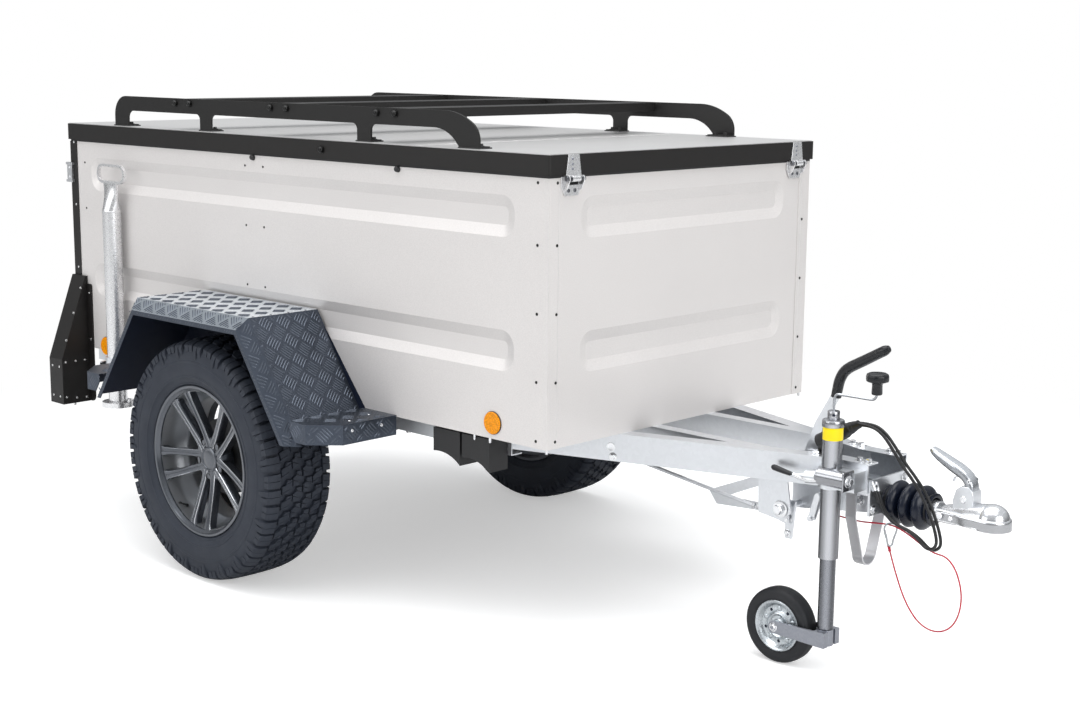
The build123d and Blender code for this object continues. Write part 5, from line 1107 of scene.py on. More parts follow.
def add_top_treads(top_bars, pair, side):
    """Bars on the flat top, its folded edge and its lip."""
    half, deep = FENDER_TOP_HALF, FOLD_Y - SHEET_Y
    lay_tread(top_bars, side, 1, (0, -SHEET_Y, FENDER_TOP_Z), RIGHT, FORWARD,
              [(0, -half), (deep, -half), (deep, half), (0, half)], (8.0, 10.0))
    lay_tread(pair, side, 1, (0, -FOLD_Y, FENDER_TOP_Z), (0, -DIAGONAL, -DIAGONAL), FORWARD,
              [(0, -half), (FOLD_WIDTH, -half + 8), (FOLD_WIDTH, half - 8), (0, half)], (8.0, 41.0))
    near, far = -half + 4, half - 4
    lay_tread(pair, side, 1, (0, -FENDER_OUTER, FENDER_TOP_Z - FENDER_FOLD), DOWN, FORWARD,
              [(0, near), (FENDER_LIP, near), (FENDER_LIP, far), (0, far)], (-22.0, 10.0), **LIP_BARS)


def add_slope_treads(pair, side, way):
    """Bars on one slope, its folded edge and its lip."""
    along = Vector((way * SLOPE_RUN / SLOPE_LENGTH, 0, -SLOPE_DROP / SLOPE_LENGTH))
    inward = Vector((-way * SLOPE_DROP / SLOPE_LENGTH, 0, -SLOPE_RUN / SLOPE_LENGTH))
    across = Vector(RIGHT) + inward
    x, deep, foot = way * FENDER_TOP_HALF, FOLD_Y - SHEET_Y, SLOPE_LENGTH
    lay_tread(pair, side, way, (x, -SHEET_Y, FENDER_TOP_Z), RIGHT, along,
              [(2, 2), (deep, 2), (deep, foot - 3), (2, foot - 3)], (8.0, 24.0))
    far = FOLD_WIDTH - 1
    lay_tread(pair, side, way, (x, -FOLD_Y, FENDER_TOP_Z), across, along,
              [(1, 8), (far, 14), (far, foot - 16), (1, foot - 6)], (8.0, 31.0))
    edge = Vector((x, -FENDER_OUTER, FENDER_TOP_Z)) + inward * FENDER_FOLD
    far = FENDER_LIP - 1
    lay_tread(pair, side, way, edge, inward, along,
              [(1, 16), (far, 20), (far, foot - 30), (1, foot - 22)], (-22.0, 0.0), **LIP_BARS)


def add_step_treads(pair, side, way):
    """Bars on the flat top and folded skirts of the step before or behind a fender."""
    root, outer = FENDER_BOTTOM_HALF - STEP_LAP, STEP_OUTER - SHEET_Y
    top = [(3, root), (outer - 2, root), (outer - 2, STEP_FAR - STEP_CORNER),
           (outer - STEP_CORNER, STEP_FAR - 2),
           (3, STEP_FAR - 2)]
    lay_tread(pair, side, way, (0, -SHEET_Y, STEP_TOP_Z), RIGHT, (way, 0, 0), top, (20.0, 14.0), rise=1.1)
    edge = ((root, STEP_OUTER), (STEP_FAR - STEP_CORNER, STEP_OUTER), (STEP_FAR, STEP_OUTER - STEP_CORNER),
            (STEP_FAR, SHEET_Y))
    corners = [Vector((way * x, -y, STEP_TOP_Z)) for x, y in edge]
    low = STEP_SKIRT - 2
    for a, b in zip(corners, corners[1:]):
        run = (b - a).length
        skirt = [(2, 2), (low, 2), (low, run - 2), (2, run - 2)]
        lay_tread(pair, side, way, a, DOWN, b - a, skirt, (28.0, run / 2), rise=1.0)


def add_fender_treads(name, side):
    """Bars of a fender and its two steps."""
    top_bars = [bmesh.new(), bmesh.new()]
    slope_bars = bmesh.new()
    pair = [slope_bars, slope_bars]
    add_top_treads(top_bars, pair, side)
    for way in (1, -1):
        add_slope_treads(pair, side, way)
        add_step_treads(pair, side, way)
    # bars in one direction on the top take a pale painted highlight, those in the other a dark painted shade,
    # as a painted reflection chequer; all other bars take a paler painted-highlight copy of the plate
    for bars, material, label in zip(top_bars, ("tread_plate_painted_highlight", "tread_bar_painted_shade"), ("pale", "dark")):
        finish_mesh(f"fender_top_bars_{label}_{name}", bars, "chassis", "tread_plate", material)
    finish_mesh(f"fender_bars_{name}", slope_bars, "chassis", "tread_plate", "slope_bar_painted_highlight")


def add_fender_shade_sheets():
    """Near-black sheet on the body wall behind each wheel, painted shade where the fender shades the wall."""
    bm = bmesh.new()
    foot, top = FENDER_BOTTOM_HALF - 14, FENDER_TOP_HALF - 2
    low, high = FENDER_BOTTOM_Z + 60, FENDER_TOP_Z - 4
    for side in SIDES:
        add_plate(bm, [(-foot, low), (-top, high), (top, high), (foot, low)], *(side * y for y in SHADE_SHEET_Y))
    finish_mesh("fender_painted_shade_sheets", bm, "chassis", "tread_plate", "painted_shade_black")


def paint_fender_light_and_shade():
    """Painted light and shade on the fenders' own sheets: a pale painted highlight on the rolled top, a
    painted half shade on the folds that lean up and out, and near-black painted shade on the undersides and
    the faces towards the wheel and the wall.
    """
    for name, side in WHEEL_SIDES:
        fender = NODES[f"fender_{name}"]
        for material in ("tread_plate_painted_highlight", "painted_shade_black", "fold_plate_painted_half_shade"):
            fender.data.materials.append(MATERIALS[material])
        to_world = fender.matrix_world
        for face in fender.data.polygons:
            spot, normal = to_world @ face.center, to_world.to_3x3() @ face.normal
            x, y, z = (spot.x - AXLE_X) / MM, abs(spot.y) / MM, spot.z / MM
            faces_wheel = x * normal.x < 0 and abs(normal.x) > 0.5
            faces_wall = side * normal.y < -0.5 and y > 600
            if normal.z > 0.98 and z > FENDER_TOP_Z - 1:
                face.material_index = 1
            elif normal.z > 0.6 and side * normal.y > 0.6:
                face.material_index = 3
            elif normal.z < -0.2 or faces_wheel or faces_wall:
                face.material_index = 2


def add_step_rivets():
    bm = bmesh.new()
    for side in SIDES:
        for way in (1, -1):
            for x, y in ((584, 700), (560, 610)):
                add_rivet(bm, (way * x, side * y, STEP_TOP_Z + 0.3), UP, 4.0)
            for y in (716, 611):
                add_rivet(bm, (way * STEP_FAR, side * y, 542), (way, 0, 0), 5.0)
    finish_mesh("step_rivets", bm, "chassis", "zinc_steel", "bright_steel")


def add_fender_details():
    for name, side in WHEEL_SIDES:
        add_fender_treads(name, side)
    add_fender_shade_sheets()
    paint_fender_light_and_shade()
    add_step_rivets()


# ---------------------------------------------------------------- box, lid and rack fastenings

WALL_RIVET_ZS = (1218.0, 1040.0, 861.0)
WALL_RIVET_XS = (-57.0, 30.0)
COLUMN_ZS = (1238.0, 1081.0, 906.0, 730.0, 576.0)
COLUMN_X = 1153.0
COLUMN_Y = 526.0
FLANGE_STOPS = (-16.0, 628.0)
RIM_BOLT_X = 313.0
BOLT_HEAD = [(0, 12), (4.0, 11.6), (7.4, 9.4), (9.0, 6.0), (9.0, 2.4), (11.2, 2.2), (11.2, -0.4)]
RACK_TOP_Z = 1406.0
RACK_FACE_Y = 540.0
CROSSBAR_XS = (-393.0, 88.0, 561.0)
RACK_FEET = ((-736.0, 76.0), (-275.0, 58.0), (468.0, 58.0), (888.5, 73.0))
LID_HINGE_Y = 478.0
LID_PIN_X = 1207.5
LID_PIN_Z = 1248.0
# x, distance from the middle, and how far the stud hangs down
CORNER_STUDS = ((BODY_FRONT_X - 6, HALF_WIDTH - 6, 11), (924, HALF_WIDTH - 4, 15),
                (982, HALF_WIDTH - 4, 14))
BUFFER = [(9.4, -0.5), (9.4, 1.5), (8.0, 2.5), (8.0, 7.0), (6.6, 9.4), (4.0, 10.6), (0, 11.0)]
BUFFER_Z = 1244.0
HINGE_RIVET = [(0, 1.4), (2.6, 1.2), (3.6, 0.2), (3.6, -1)]
EAR_OUTLINE = [(-14, 8), (4, 8), (8, 3), (8, -4), (-2, -27), (-14, -34)]


def add_wall_rivets():
    """Rivets that hold the side and front sheets to the posts inside."""
    bm = bmesh.new()
    for side in SIDES:
        face = side * HALF_WIDTH
        for z in WALL_RIVET_ZS:
            for x in WALL_RIVET_XS:
                add_rivet(bm, (x, face, z), (0, side, 0), 3.6)
        for z in COLUMN_ZS:
            add_rivet(bm, (COLUMN_X, face, z), (0, side, 0), 4.2)
            add_rivet(bm, (BODY_FRONT_X, side * COLUMN_Y, z), FORWARD, 4.2)
        for z in (1182.0, 1030.0):
            add_rivet(bm, (-940.0, face, z), (0, side, 0), 3.6)
    finish_mesh("wall_rivets", bm, "chassis", "black_steel")


def add_lid_buffers():
    """Rubber stops on the top flange, under the lid's rim."""
    bm = bmesh.new()
    for side in SIDES:
        for x in FLANGE_STOPS:
            add_lathe(bm, BUFFER, (x, side * HALF_WIDTH, BUFFER_Z), (0, side, 0), 22)
    finish_mesh("lid_buffers", bm, "chassis", "black_rubber")


def add_column_seams():
    """Fine pale lines where the side walls' returns end on the front wall."""
    bm = bmesh.new()
    for side in SIDES:
        y = side * (COLUMN_Y - 6)
        low = (BODY_FRONT_X - 1, y - 0.6, BODY_BOTTOM_Z + 4)
        add_block(bm, low, (BODY_FRONT_X + 0.35, y + 0.6, WALL_TOP_Z - 4))
    finish_mesh("front_column_seams", bm, "chassis", "silver_sheet", "lid_skin")


def add_post_screws():
    """Bright screws down both legs of the rear posts."""
    bm = bmesh.new()
    for side in SIDES:
        for z in (1247, 1039, 827):
            add_button_bolt(bm, (-1000, side * (HALF_WIDTH + 2), z), (0, side, 0), 3.2)
        for z in (1220, 1000, 860, 720, 600):
            add_button_bolt(bm, (BODY_REAR_X - 2, side * (HALF_WIDTH - 18), z), REARWARD, 3.6)
    finish_mesh("post_screws", bm, "chassis", "zinc_steel")


def add_corner_stops():
    """Short studs under the lower edges of the side walls."""
    bm = bmesh.new()
    for side in SIDES:
        for x, y, drop in CORNER_STUDS:
            stud = [(0, 0.5), (3.6, 0.5), (3.6, -drop + 1.5), (2.6, -drop), (0, -drop)]
            add_lathe(bm, stud, (x, side * y, BODY_BOTTOM_Z), UP, 14)
    finish_mesh("corner_stops", bm, "chassis", "zinc_steel", "bright_steel")


def add_lid_fasteners():
    """Black bolts in the lid's rim and the rivets along the seam of its skin."""
    bm = bmesh.new()
    for side in SIDES:
        add_lathe(bm, BOLT_HEAD, (RIM_BOLT_X, side * LID_HALF, 1282), (0, side, 0), 20)
    finish_mesh("lid_rim_bolts", bm, "lid", "black_rack", "bolt_black")
    seam = bmesh.new()
    for step in range(13):
        y = -504 + step * 84
        for x in (685.5, 694.5):
            add_rivet(seam, (x, y, LID_TOP_Z + 1.0), UP, 2.0)
    finish_mesh("seam_rivets", seam, "lid", "silver_sheet", "lid_skin")


def add_rack_bolts():
    """Button bolts through the rail plates into the crossbars, and the rails' feet on rubber pads."""
    heads = bmesh.new()
    bolts = bmesh.new()
    pads = bmesh.new()
    for side in SIDES:
        for x in CROSSBAR_XS:
            for shift in (-37, 38):
                at = (x + shift, side * RACK_FACE_Y, RACK_TOP_Z - 15)
                add_lathe(heads, BOLT_HEAD, at, (0, side, 0), 20)
        for x, width in RACK_FEET:
            for shift in (-0.26, 0.26):
                add_hex_bolt(bolts, (x + shift * width, side * (RACK_FACE_Y - 24), LID_TOP_Z + 6), UP, 10)
            reach = width / 2 + 4
            add_side_block(pads, side, (x - reach, RACK_FACE_Y - 44, LID_TOP_Z - 0.4),
                           (x + reach, RACK_FACE_Y + 3, LID_TOP_Z + 3.4))
    finish_mesh("rack_bolts", heads, "lid", "black_rack", "bolt_black")
    finish_mesh("rack_foot_bolts", bolts, "lid", "black_rack")
    finish_mesh("rack_pads", pads, "lid", "black_rubber", bevel=1.0)


def add_lid_hinge_leaf(bm, y):
    """Tapered strap with rounded corners, folded round the pin at its foot."""
    outline = [(-20, 60), (20, 60), (24, 34), (28, 10), (28, 1), (-28, 1), (-28, 10), (-24, 34)]
    frame_at = moved((LID_FRONT_X, y, LID_PIN_Z), FORWARD, LEFT)
    add_prism(bm, outline, 0.0, 3.0, frame_at)
    ring = [(8.0, -15.0), (8.0, 15.0), (4.1, 15.0), (4.1, -15.0)]
    add_lathe(bm, ring, (LID_PIN_X, y, LID_PIN_Z), LEFT, 24, closed=True)


def add_hinge_bracket(plate, pin, dark, y):
    """Wall plate with two ears round the pin, a black block painted as the shade in the gap between them, and
    two bolts at its foot.
    """
    wall = moved((BODY_FRONT_X, y, LID_PIN_Z), FORWARD, LEFT)
    add_prism(plate, [(-38, 5), (38, 5), (38, -20), (24, -44), (-24, -44), (-38, -20)], 0.0, 3.0, wall)
    for way in (-1, 1):
        ear = moved((LID_PIN_X, y + way * 27, LID_PIN_Z), (0, way, 0), FORWARD)
        sign = 1 if way < 0 else -1
        add_prism(plate, [(x, sign * z) for x, z in EAR_OUTLINE][::sign], -1.5, 1.5, ear)
        add_lathe(pin, [(0, 4), (5.6, 4), (6.8, 3), (6.8, 0), (0, 0)], (LID_PIN_X, y + way * 30, LID_PIN_Z),
                  (0, way, 0), 20)
        add_button_bolt(pin, (BODY_FRONT_X + 3, y + way * 12, LID_PIN_Z - 31), FORWARD, 4.0)
    add_lathe(pin, [(0, -29), (3.8, -29), (3.8, 29), (0, 29)], (LID_PIN_X, y, LID_PIN_Z), LEFT, 18)
    # black block painted as the shade in the gap between the ears
    add_block(dark, (BODY_FRONT_X + 2.8, y - 24, LID_PIN_Z - 17),
              (BODY_FRONT_X + 3.3, y + 24, LID_PIN_Z + 2))


def add_lid_hinges():
    """Straps on the lid and the pinned brackets on the front wall."""
    leaves, bolts, plate, pin, dark = (bmesh.new() for _ in range(5))
    for side in SIDES:
        y = side * LID_HINGE_Y
        add_lid_hinge_leaf(leaves, y)
        for z in (1272, 1284, 1297):
            add_lathe(bolts, HINGE_RIVET, (LID_FRONT_X + 3, y - 5, z), FORWARD, 12)
        add_hinge_bracket(plate, pin, dark, y)
    leaf = finish_mesh("lid_hinge_straps", leaves, "lid", "zinc_steel", "stand_steel", bevel=0.7)
    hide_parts("lid_hinge_leaves")
    finish_mesh("lid_hinge_rivets", bolts, "lid", "zinc_steel", "fork_steel")
    bracket = finish_mesh("hinge_bracket_plates", plate, "chassis", "zinc_steel", "stand_steel", bevel=0.7)
    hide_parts("hinge_brackets")
    finish_mesh("hinge_pins", pin, "chassis", "zinc_steel", "leg_steel")
    finish_mesh("hinge_gap_painted_shade", dark, "chassis", "zinc_steel", "bolt_black")


def add_body_details():
    add_wall_rivets()
    add_lid_buffers()
    add_column_seams()
    add_post_screws()
    add_corner_stops()
    add_lid_fasteners()
    add_rack_bolts()
    add_lid_hinges()


# ---------------------------------------------------------------- drawbar, coupling and brake

RAIL_TOP_Z = 557.0
RAIL_LOW_Z = 481.0
RAIL_BEND_X = 1745.0
RAIL_FRONT_Y = 90.0
RAIL_SLOPE = 348.0 / 1055.0
SHAFT_Z = 452.0
BELLOWS_REAR_X = 1858.0
BELLOWS_FRONT_X = 1992.0
BELLOWS_LOBES = 3
LOBE_POINTS = 15
BELLOWS_CUFF = 12.0
CROWN_STEPS = 12
CROWN_FOOT_Z = 448.0


def rail_face(x):
    """Distance of a V rail's outer face from the middle at a station."""
    return RAIL_FRONT_Y + max(RAIL_BEND_X - x, 0.0) * RAIL_SLOPE


def paint_rail_inside_shade():
    """Duller, darker zinc on the rails' faces that look at each other, painted shade under the box."""
    for name, _ in WHEEL_SIDES:
        rail = NODES[f"drawbar_rail_{name}"]
        rail.data.materials.append(MATERIALS["rail_painted_shade"])
        for face in rail.data.polygons:
            spot, normal = rail.matrix_world @ face.center, rail.matrix_world.to_3x3() @ face.normal
            if spot.y * normal.y < 0 and abs(normal.y) > 0.5:
                face.material_index = 1


def bellows_profile():
    """Radius along the bellows: flared rear lip, cuff, three full lobes with tight valleys, front collar."""
    profile = [(31.0, 0.0), (39.5, 0.0), (40.5, 1.5), (39.5, 3.5), (36.0, 5.5), (35.0, 9.0), (35.5, 12.0)]
    run = BELLOWS_FRONT_X - BELLOWS_REAR_X
    end = run - BELLOWS_CUFF
    pitch = (end - BELLOWS_CUFF) / BELLOWS_LOBES
    for lobe in range(BELLOWS_LOBES):
        for step in range(1, LOBE_POINTS):
            t = step / LOBE_POINTS
            profile.append((31.5 + 25.3 * math.sin(math.pi * t) ** 0.62, BELLOWS_CUFF + pitch * (lobe + t)))
        if lobe < BELLOWS_LOBES - 1:
            profile.append((30.0, BELLOWS_CUFF + pitch * (lobe + 1)))
    profile += [(35.5, end), (35.0, run - 9.0), (36.5, run - 5.0), (41.0, run - 3.0), (42.0, run - 1.2),
                (41.0, run), (31.0, run)]
    return profile


def add_bellows():
    bm = bmesh.new()
    add_lathe(bm, bellows_profile(), (BELLOWS_REAR_X, 0, SHAFT_Z), FORWARD, 56, closed=True)
    piece = finish_mesh("bellows_folds", bm, "chassis", "black_rubber", "bellows_rubber", smooth=55)
    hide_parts("bellows")
    ties = bmesh.new()
    for x in (BELLOWS_REAR_X + 8.2, BELLOWS_FRONT_X - 10.4):
        ring = [(35.4, -2.4), (37.0, -2.4), (37.0, 2.4), (35.4, 2.4)]
        add_lathe(ties, ring, (x, 0, SHAFT_Z), FORWARD, 40, closed=True)
    finish_mesh("bellows_ties", ties, "chassis", "black_rubber", "black_plastic")


def add_coupling_head_details():
    """Edge lip, cross bolts, wear stud and handle pivots of the coupling head."""
    lip = bmesh.new()
    for side in SIDES:
        plan = [(2004, 29), (2004, 35.5), (2074, 35.5), (2118, 43.5), (2133, 45), (2133, 38), (2074, 29)]
        outline = [(x, side * y) for x, y in plan]
        frame_at = moved((0, 0, 436.4), UP, FORWARD)
        add_prism(lip, outline if side > 0 else outline[::-1], 0, 4.6, frame_at)
    finish_mesh("head_lips", lip, "chassis", "galvanised", "bright_steel", bevel=1.2)
    bolts = bmesh.new()
    for side in SIDES:
        add_hex_bolt(bolts, (2026, side * 32, 451), (0, side, 0), 15)
        add_hex_bolt(bolts, (2056, side * 32, 449), (0, side, 0), 11)
        add_lathe(bolts, [(7.5, -2), (7.5, 1.2), (6.2, 3.2), (3.6, 3.9), (0, 4.0)], (2112, side * 38, 452),
                  (0, side, 0), 20)
        add_lathe(bolts, [(5.6, -1), (5.6, 2.0), (4.4, 3.0), (2.2, 3.0), (1.8, 1.2), (0, 1.2)],
                  (2090, side * 16.6, 545), (0, side, 0), 18)
        add_lathe(bolts, [(9.5, -12), (9.5, 0), (8.0, 1.6), (4.2, 1.6), (3.6, 0.4), (0, 0.4)],
                  (2078, side * 21, 498), (0, side, 0), 22)
    finish_mesh("head_bolts", bolts, "chassis", "galvanised", "bright_steel")


HANDLE_LINE = [(2084, 0, 474), (2090, 0, 502), (2090, 0, 530), (2078, 0, 551), (2056, 0, 565),
               (2030, 0, 577),
               (2005, 0, 589), (1988, 0, 598), (1976, 0, 606)]
HANDLE_GIRTH = ((0.0, 1.1), (0.35, 1.15), (0.55, 1.25), (0.75, 1.05), (0.9, 0.85), (1.0, 0.6))
HEAD_CREST = [(2000, 466, 24), (2030, 474, 25), (2060, 481, 27), (2092, 488, 31), (2120, 493, 35),
              (2146, 495.5, 37),
              (2166, 493, 34), (2182, 484, 26), (2191, 470, 15)]


def add_head_crown():
    """One smooth hump from the head's neck over its ball cup."""
    bm = bmesh.new()
    rows = []
    for x, top, half in HEAD_CREST:
        row = []
        for step in range(CROWN_STEPS + 1):
            angle = math.pi * step / CROWN_STEPS
            height = (top - CROWN_FOOT_Z) * math.sin(angle) ** 0.8
            row.append((x, half * 1.1 * math.cos(angle), CROWN_FOOT_Z + height))
        rows.append(row)
    add_loft(bm, rows)
    finish_mesh("head_crown", bm, "chassis", "galvanised", "head_steel", smooth=60)


def girth_at(share):
    """The grip's girth at a share of its length."""
    for (t0, g0), (t1, g1) in zip(HANDLE_GIRTH, HANDLE_GIRTH[1:]):
        if share <= t1:
            return g0 + (g1 - g0) * (share - t0) / (t1 - t0)
    return HANDLE_GIRTH[-1][1]


def add_coupling_handle():
    """Thick pressed grip rounded at its tip, with box cheeks at its foot."""
    bm = bmesh.new()
    line = smooth_points(HANDLE_LINE)
    count = len(line) - 1
    scales = [girth_at(i / count) for i in range(count + 1)]
    add_sweep(bm, line, rounded_rectangle(34, 19, 7, 4), LEFT, scales)
    piece = finish_mesh("coupling_grip", bm, "chassis", "galvanised", "handle_steel", smooth=45)
    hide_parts("coupling_handle")
    cheeks = bmesh.new()
    outline = [(2050, 465), (2103, 465), (2106, 500), (2103, 520), (2092, 531), (2072, 531), (2058, 520),
               (2051, 495)]
    add_plate(cheeks, outline, -21.0, 21.0)
    catch = smooth_points([(2062, 0, 550), (2050, 0, 549), (2042, 0, 544), (2040, 0, 535)], 5)
    add_sweep(cheeks, catch, [(5, 1.6), (-5, 1.6), (-5, -1.6), (5, -1.6)])
    finish_mesh("coupling_cheeks", cheeks, "chassis", "galvanised", bevel=2.0)


BLANK_PLATE_X = 1167.7


def add_drawbar_bolts():
    """Bolts along the rails' tops and webs, the frame's studs and a blank round plate."""
    bm = bmesh.new()
    for side in SIDES:
        for x, inset in ((1690, 24), (1722, 22), (1812, 22), (1838, 22)):
            add_hex_bolt(bm, (x, side * (rail_face(x) - inset), RAIL_TOP_Z), UP, 15)
        for x, z in ((760, 536), (760, 502), (820, 519), (1174, RAIL_LOW_Z + 12)):
            add_hex_bolt(bm, (x, side * rail_face(x), z), (RAIL_SLOPE, side, 0), 13)
        for x in (1622, 1700):
            add_hex_bolt(bm, (x, side * 66, RAIL_LOW_Z - 5), DOWN, 15)
        for x, z in ((1800, 448), (1836, 452)):
            add_hex_bolt(bm, (x, side * 40, z), (0, side, 0), 13)
        for z in (440, 500):
            add_hex_bolt(bm, (1856, side * 70, z), FORWARD, 13)
    finish_mesh("drawbar_bolts", bm, "chassis", "zinc_steel", "bright_steel")
    disc = bmesh.new()
    add_lathe(disc, [(12.5, -0.4), (12.5, 0.9), (11.2, 1.2), (9.6, 0.8), (0, 0.8)],
              (BLANK_PLATE_X, -rail_face(BLANK_PLATE_X), 519), (RAIL_SLOPE, -1, 0), 32)
    finish_mesh("round_blank_plate", disc, "chassis", "zinc_steel", "bright_steel")


GRIP_Y = -15.0
# x and z along the handbrake's bent grip
GRIP_LINE = ((1698, 697), (1701.5, 716), (1707, 741), (1718.5, 763), (1736, 778.5), (1760, 792),
             (1788, 807.5),
             (1820, 825.5), (1848, 841))
LEVER_X = 1646.0
SECTOR_Z = 516.0


def add_handbrake_sleeve():
    """Bent grip sleeve, rounded at its ends, with its end button."""
    bm = bmesh.new()
    bend = smooth_points([(x, GRIP_Y, z) for x, z in GRIP_LINE], 4)
    count = len(bend) - 1
    scales = [0.94 + 0.06 * math.sin(math.pi * min(i / count * 1.15, 1.0)) for i in range(count + 1)]
    scales[0] = 0.96
    scales[-2] *= 0.9
    scales[-1] *= 0.66
    add_sweep(bm, bend, circle(14.2, 20), LEFT, scales)
    add_lathe(bm, [(6.2, -2), (6.2, 0.6), (5.2, 1.8), (0, 2.2)], bend[-1], bend[-1] - bend[-3], 20)
    grip = finish_mesh("handbrake_sleeve", bm, "chassis", "black_plastic", "grip_plastic", smooth=50)
    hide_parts("handbrake_grip")


def add_handbrake_fittings():
    """The lever's bolts and its ratchet sector."""
    pins = bmesh.new()
    for side, y in ((-1, -26), (1, -4)):
        for x, z, across in ((LEVER_X, 520, 15), (1676, 500, 10), (1614, 500, 10)):
            add_hex_bolt(pins, (x, y, z), (0, side, 0), across)
    finish_mesh("handbrake_bolts", pins, "chassis", "zinc_steel", "bright_steel")
    sector = bmesh.new()
    outline = []
    for step in range(19):
        ahead, up = on_circle(44.0 if step % 2 else 41.0, math.radians(24 + step * 6))
        outline.append((LEVER_X + ahead, SECTOR_Z + up))
    outline += [(1620, 500), (1672, 500)]
    add_plate(sector, outline, -11.0, -7.0)
    finish_mesh("handbrake_sector", sector, "chassis", "galvanised")


def add_linkage_details():
    """Bolts of the gussets and levers, the release link, and the rod's clevis and lock nuts."""
    bm = bmesh.new()
    for side in SIDES:
        add_hex_bolt(bm, (1615, side * 126, 405), (0, side, 0), 24)
    for z, across in ((369, 13), (332, 11)):
        add_hex_bolt(bm, (1611, -84, z), RIGHT, across)
    for x in (1500, 1514):
        add_lathe(bm, [(9, -4), (9, 4), (5.2, 4), (5.2, -4)], (x, -80, 384), (-0.99, 0, 0.12), 6,
                  closed=True)
    finish_mesh("linkage_bolts", bm, "chassis", "zinc_steel", "bright_steel")
    link = bmesh.new()
    for y in (-104, -92):
        at = moved((1706, y, 424), RIGHT, (0.28, 0, 0.96))
        add_prism(link, rounded_rectangle(78, 17, 7, 3), 0, 4, at)
    add_lathe(link, [(0, 5), (6, 5), (7, 4), (7, -18), (0, -18)], (1696, -108, 393), RIGHT, 18)
    finish_mesh("release_link", link, "chassis", "galvanised", bevel=0.8)
    fork = bmesh.new()
    outline = [(1620, 358), (1620, 380), (1600, 384), (1566, 385), (1560, 378), (1560, 371), (1600, 360)]
    for near, far in ((-91.5, -88.5), (-72.5, -69.5)):
        add_plate(fork, outline, near, far)
    add_block(fork, (1556, -91, 370), (1568, -69, 386))
    finish_mesh("rod_clevis", fork, "chassis", "galvanised", bevel=0.8)


# ---------------------------------------------------------------- plug, cables and breakaway line

# routes and radii in metres, from the axle line
CABLE_RADIUS = 0.004
BREAKAWAY_RADIUS = 0.002
CABLE_PLUG_ROUTE = [
    (1.803, -0.060, 0.650), (1.842, -0.062, 0.656), (1.880, -0.066, 0.642), (1.914, -0.072, 0.612),
    (1.946, -0.076, 0.577), (1.979, -0.080, 0.549), (2.010, -0.082, 0.516), (2.034, -0.082, 0.474),
    (2.051, -0.080, 0.430), (2.059, -0.077, 0.394), (2.046, -0.074, 0.375), (2.023, -0.070, 0.371),
    (1.994, -0.067, 0.392), (1.962, -0.066, 0.406), (1.926, -0.065, 0.413), (1.896, -0.064, 0.432),
    (1.876, -0.062, 0.458), (1.863, -0.060, 0.486),
]
CABLE_BRAKE_ROUTE = [
    (1.803, -0.070, 0.650), (1.842, -0.0715, 0.653), (1.879, -0.075, 0.638), (1.911, -0.081, 0.608),
    (1.942, -0.085, 0.573), (1.975, -0.089, 0.545), (2.005, -0.091, 0.511), (2.029, -0.091, 0.470),
    (2.045, -0.089, 0.430), (2.052, -0.086, 0.396), (2.039, -0.083, 0.377), (2.016, -0.079, 0.375),
    (1.989, -0.076, 0.396), (1.958, -0.075, 0.410), (1.924, -0.075, 0.418), (1.896, -0.075, 0.437),
    (1.877, -0.074, 0.463), (1.863, -0.074, 0.490),
]
BREAKAWAY_ROUTE = [
    (1.716, -0.045, 0.396), (1.758, -0.045, 0.396), (1.807, -0.046, 0.394), (1.859, -0.050, 0.402),
    (1.903, -0.054, 0.407), (1.936, -0.056, 0.400), (1.966, -0.057, 0.388), (1.997, -0.057, 0.372),
    (2.030, -0.059, 0.361), (2.062, -0.061, 0.361), (2.088, -0.063, 0.342), (2.106, -0.065, 0.309),
    (2.115, -0.066, 0.270), (2.111, -0.066, 0.228), (2.093, -0.064, 0.190), (2.061, -0.061, 0.167),
    (2.024, -0.058, 0.163), (1.990, -0.056, 0.177), (1.964, -0.055, 0.204), (1.944, -0.055, 0.236),
    (1.928, -0.054, 0.270), (1.914, -0.054, 0.304), (1.902, -0.054, 0.338),
]
PLUG_TIP = Vector((1690, -66, 585))
PLUG_TAIL = Vector((1803, -64, 650))


def route_curve(name, route, radius):
    """A smooth curve with the route's points as its control points."""
    curve = bpy.data.curves.new(name, "CURVE")
    curve.dimensions = "3D"
    spline = curve.splines.new("NURBS")
    spline.points.add(len(route) - 1)
    for point, (x, y, z) in zip(spline.points, route):
        point.co = (x + AXLE_X, y, z, 1.0)
    spline.order_u = 3
    spline.use_endpoint_u = True
    spline.resolution_u = 8
    curve.bevel_depth = radius
    curve.bevel_resolution = 5
    curve.use_fill_caps = True
    return curve


def route_line(route):
    """Points along a route's smooth line, in drawing millimetres."""
    curve = route_curve("route_probe", route, 0.0)
    probe = bpy.data.objects.new("route_probe", curve)
    mesh = bpy.data.meshes.new_from_object(probe)
    line = [Vector(((v.co.x - AXLE_X) / MM, v.co.y / MM, v.co.z / MM)) for v in mesh.vertices]
    bpy.data.objects.remove(probe)
    bpy.data.curves.remove(curve)
    bpy.data.meshes.remove(mesh)
    return line


BOOT_RIB = 0.35


def line_length(line):
    """The length in metres of a line of drawing points."""
    return sum((b - a).length for a, b in zip(line, line[1:])) * MM


def head_of(line, reach):
    """The first stretch of a line, and how far along each of its points lies."""
    kept, at, run = [line[0]], [0.0], 0.0
    for a, b in zip(line, line[1:]):
        run += (b - a).length
        kept.append(b)
        at.append(run)
        if run >= reach:
            break
    return kept, at


def add_cord(name, node, route, radius, slot):
    """A cord along its route in place of its CAD node, with its length measured on the curve."""
    curve = route_curve(name, route, radius)
    curve.materials.append(MATERIALS[slot])
    cord = link_object(name, curve)
    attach(cord, "chassis")
    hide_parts(node)
    line_length(route_line(route))


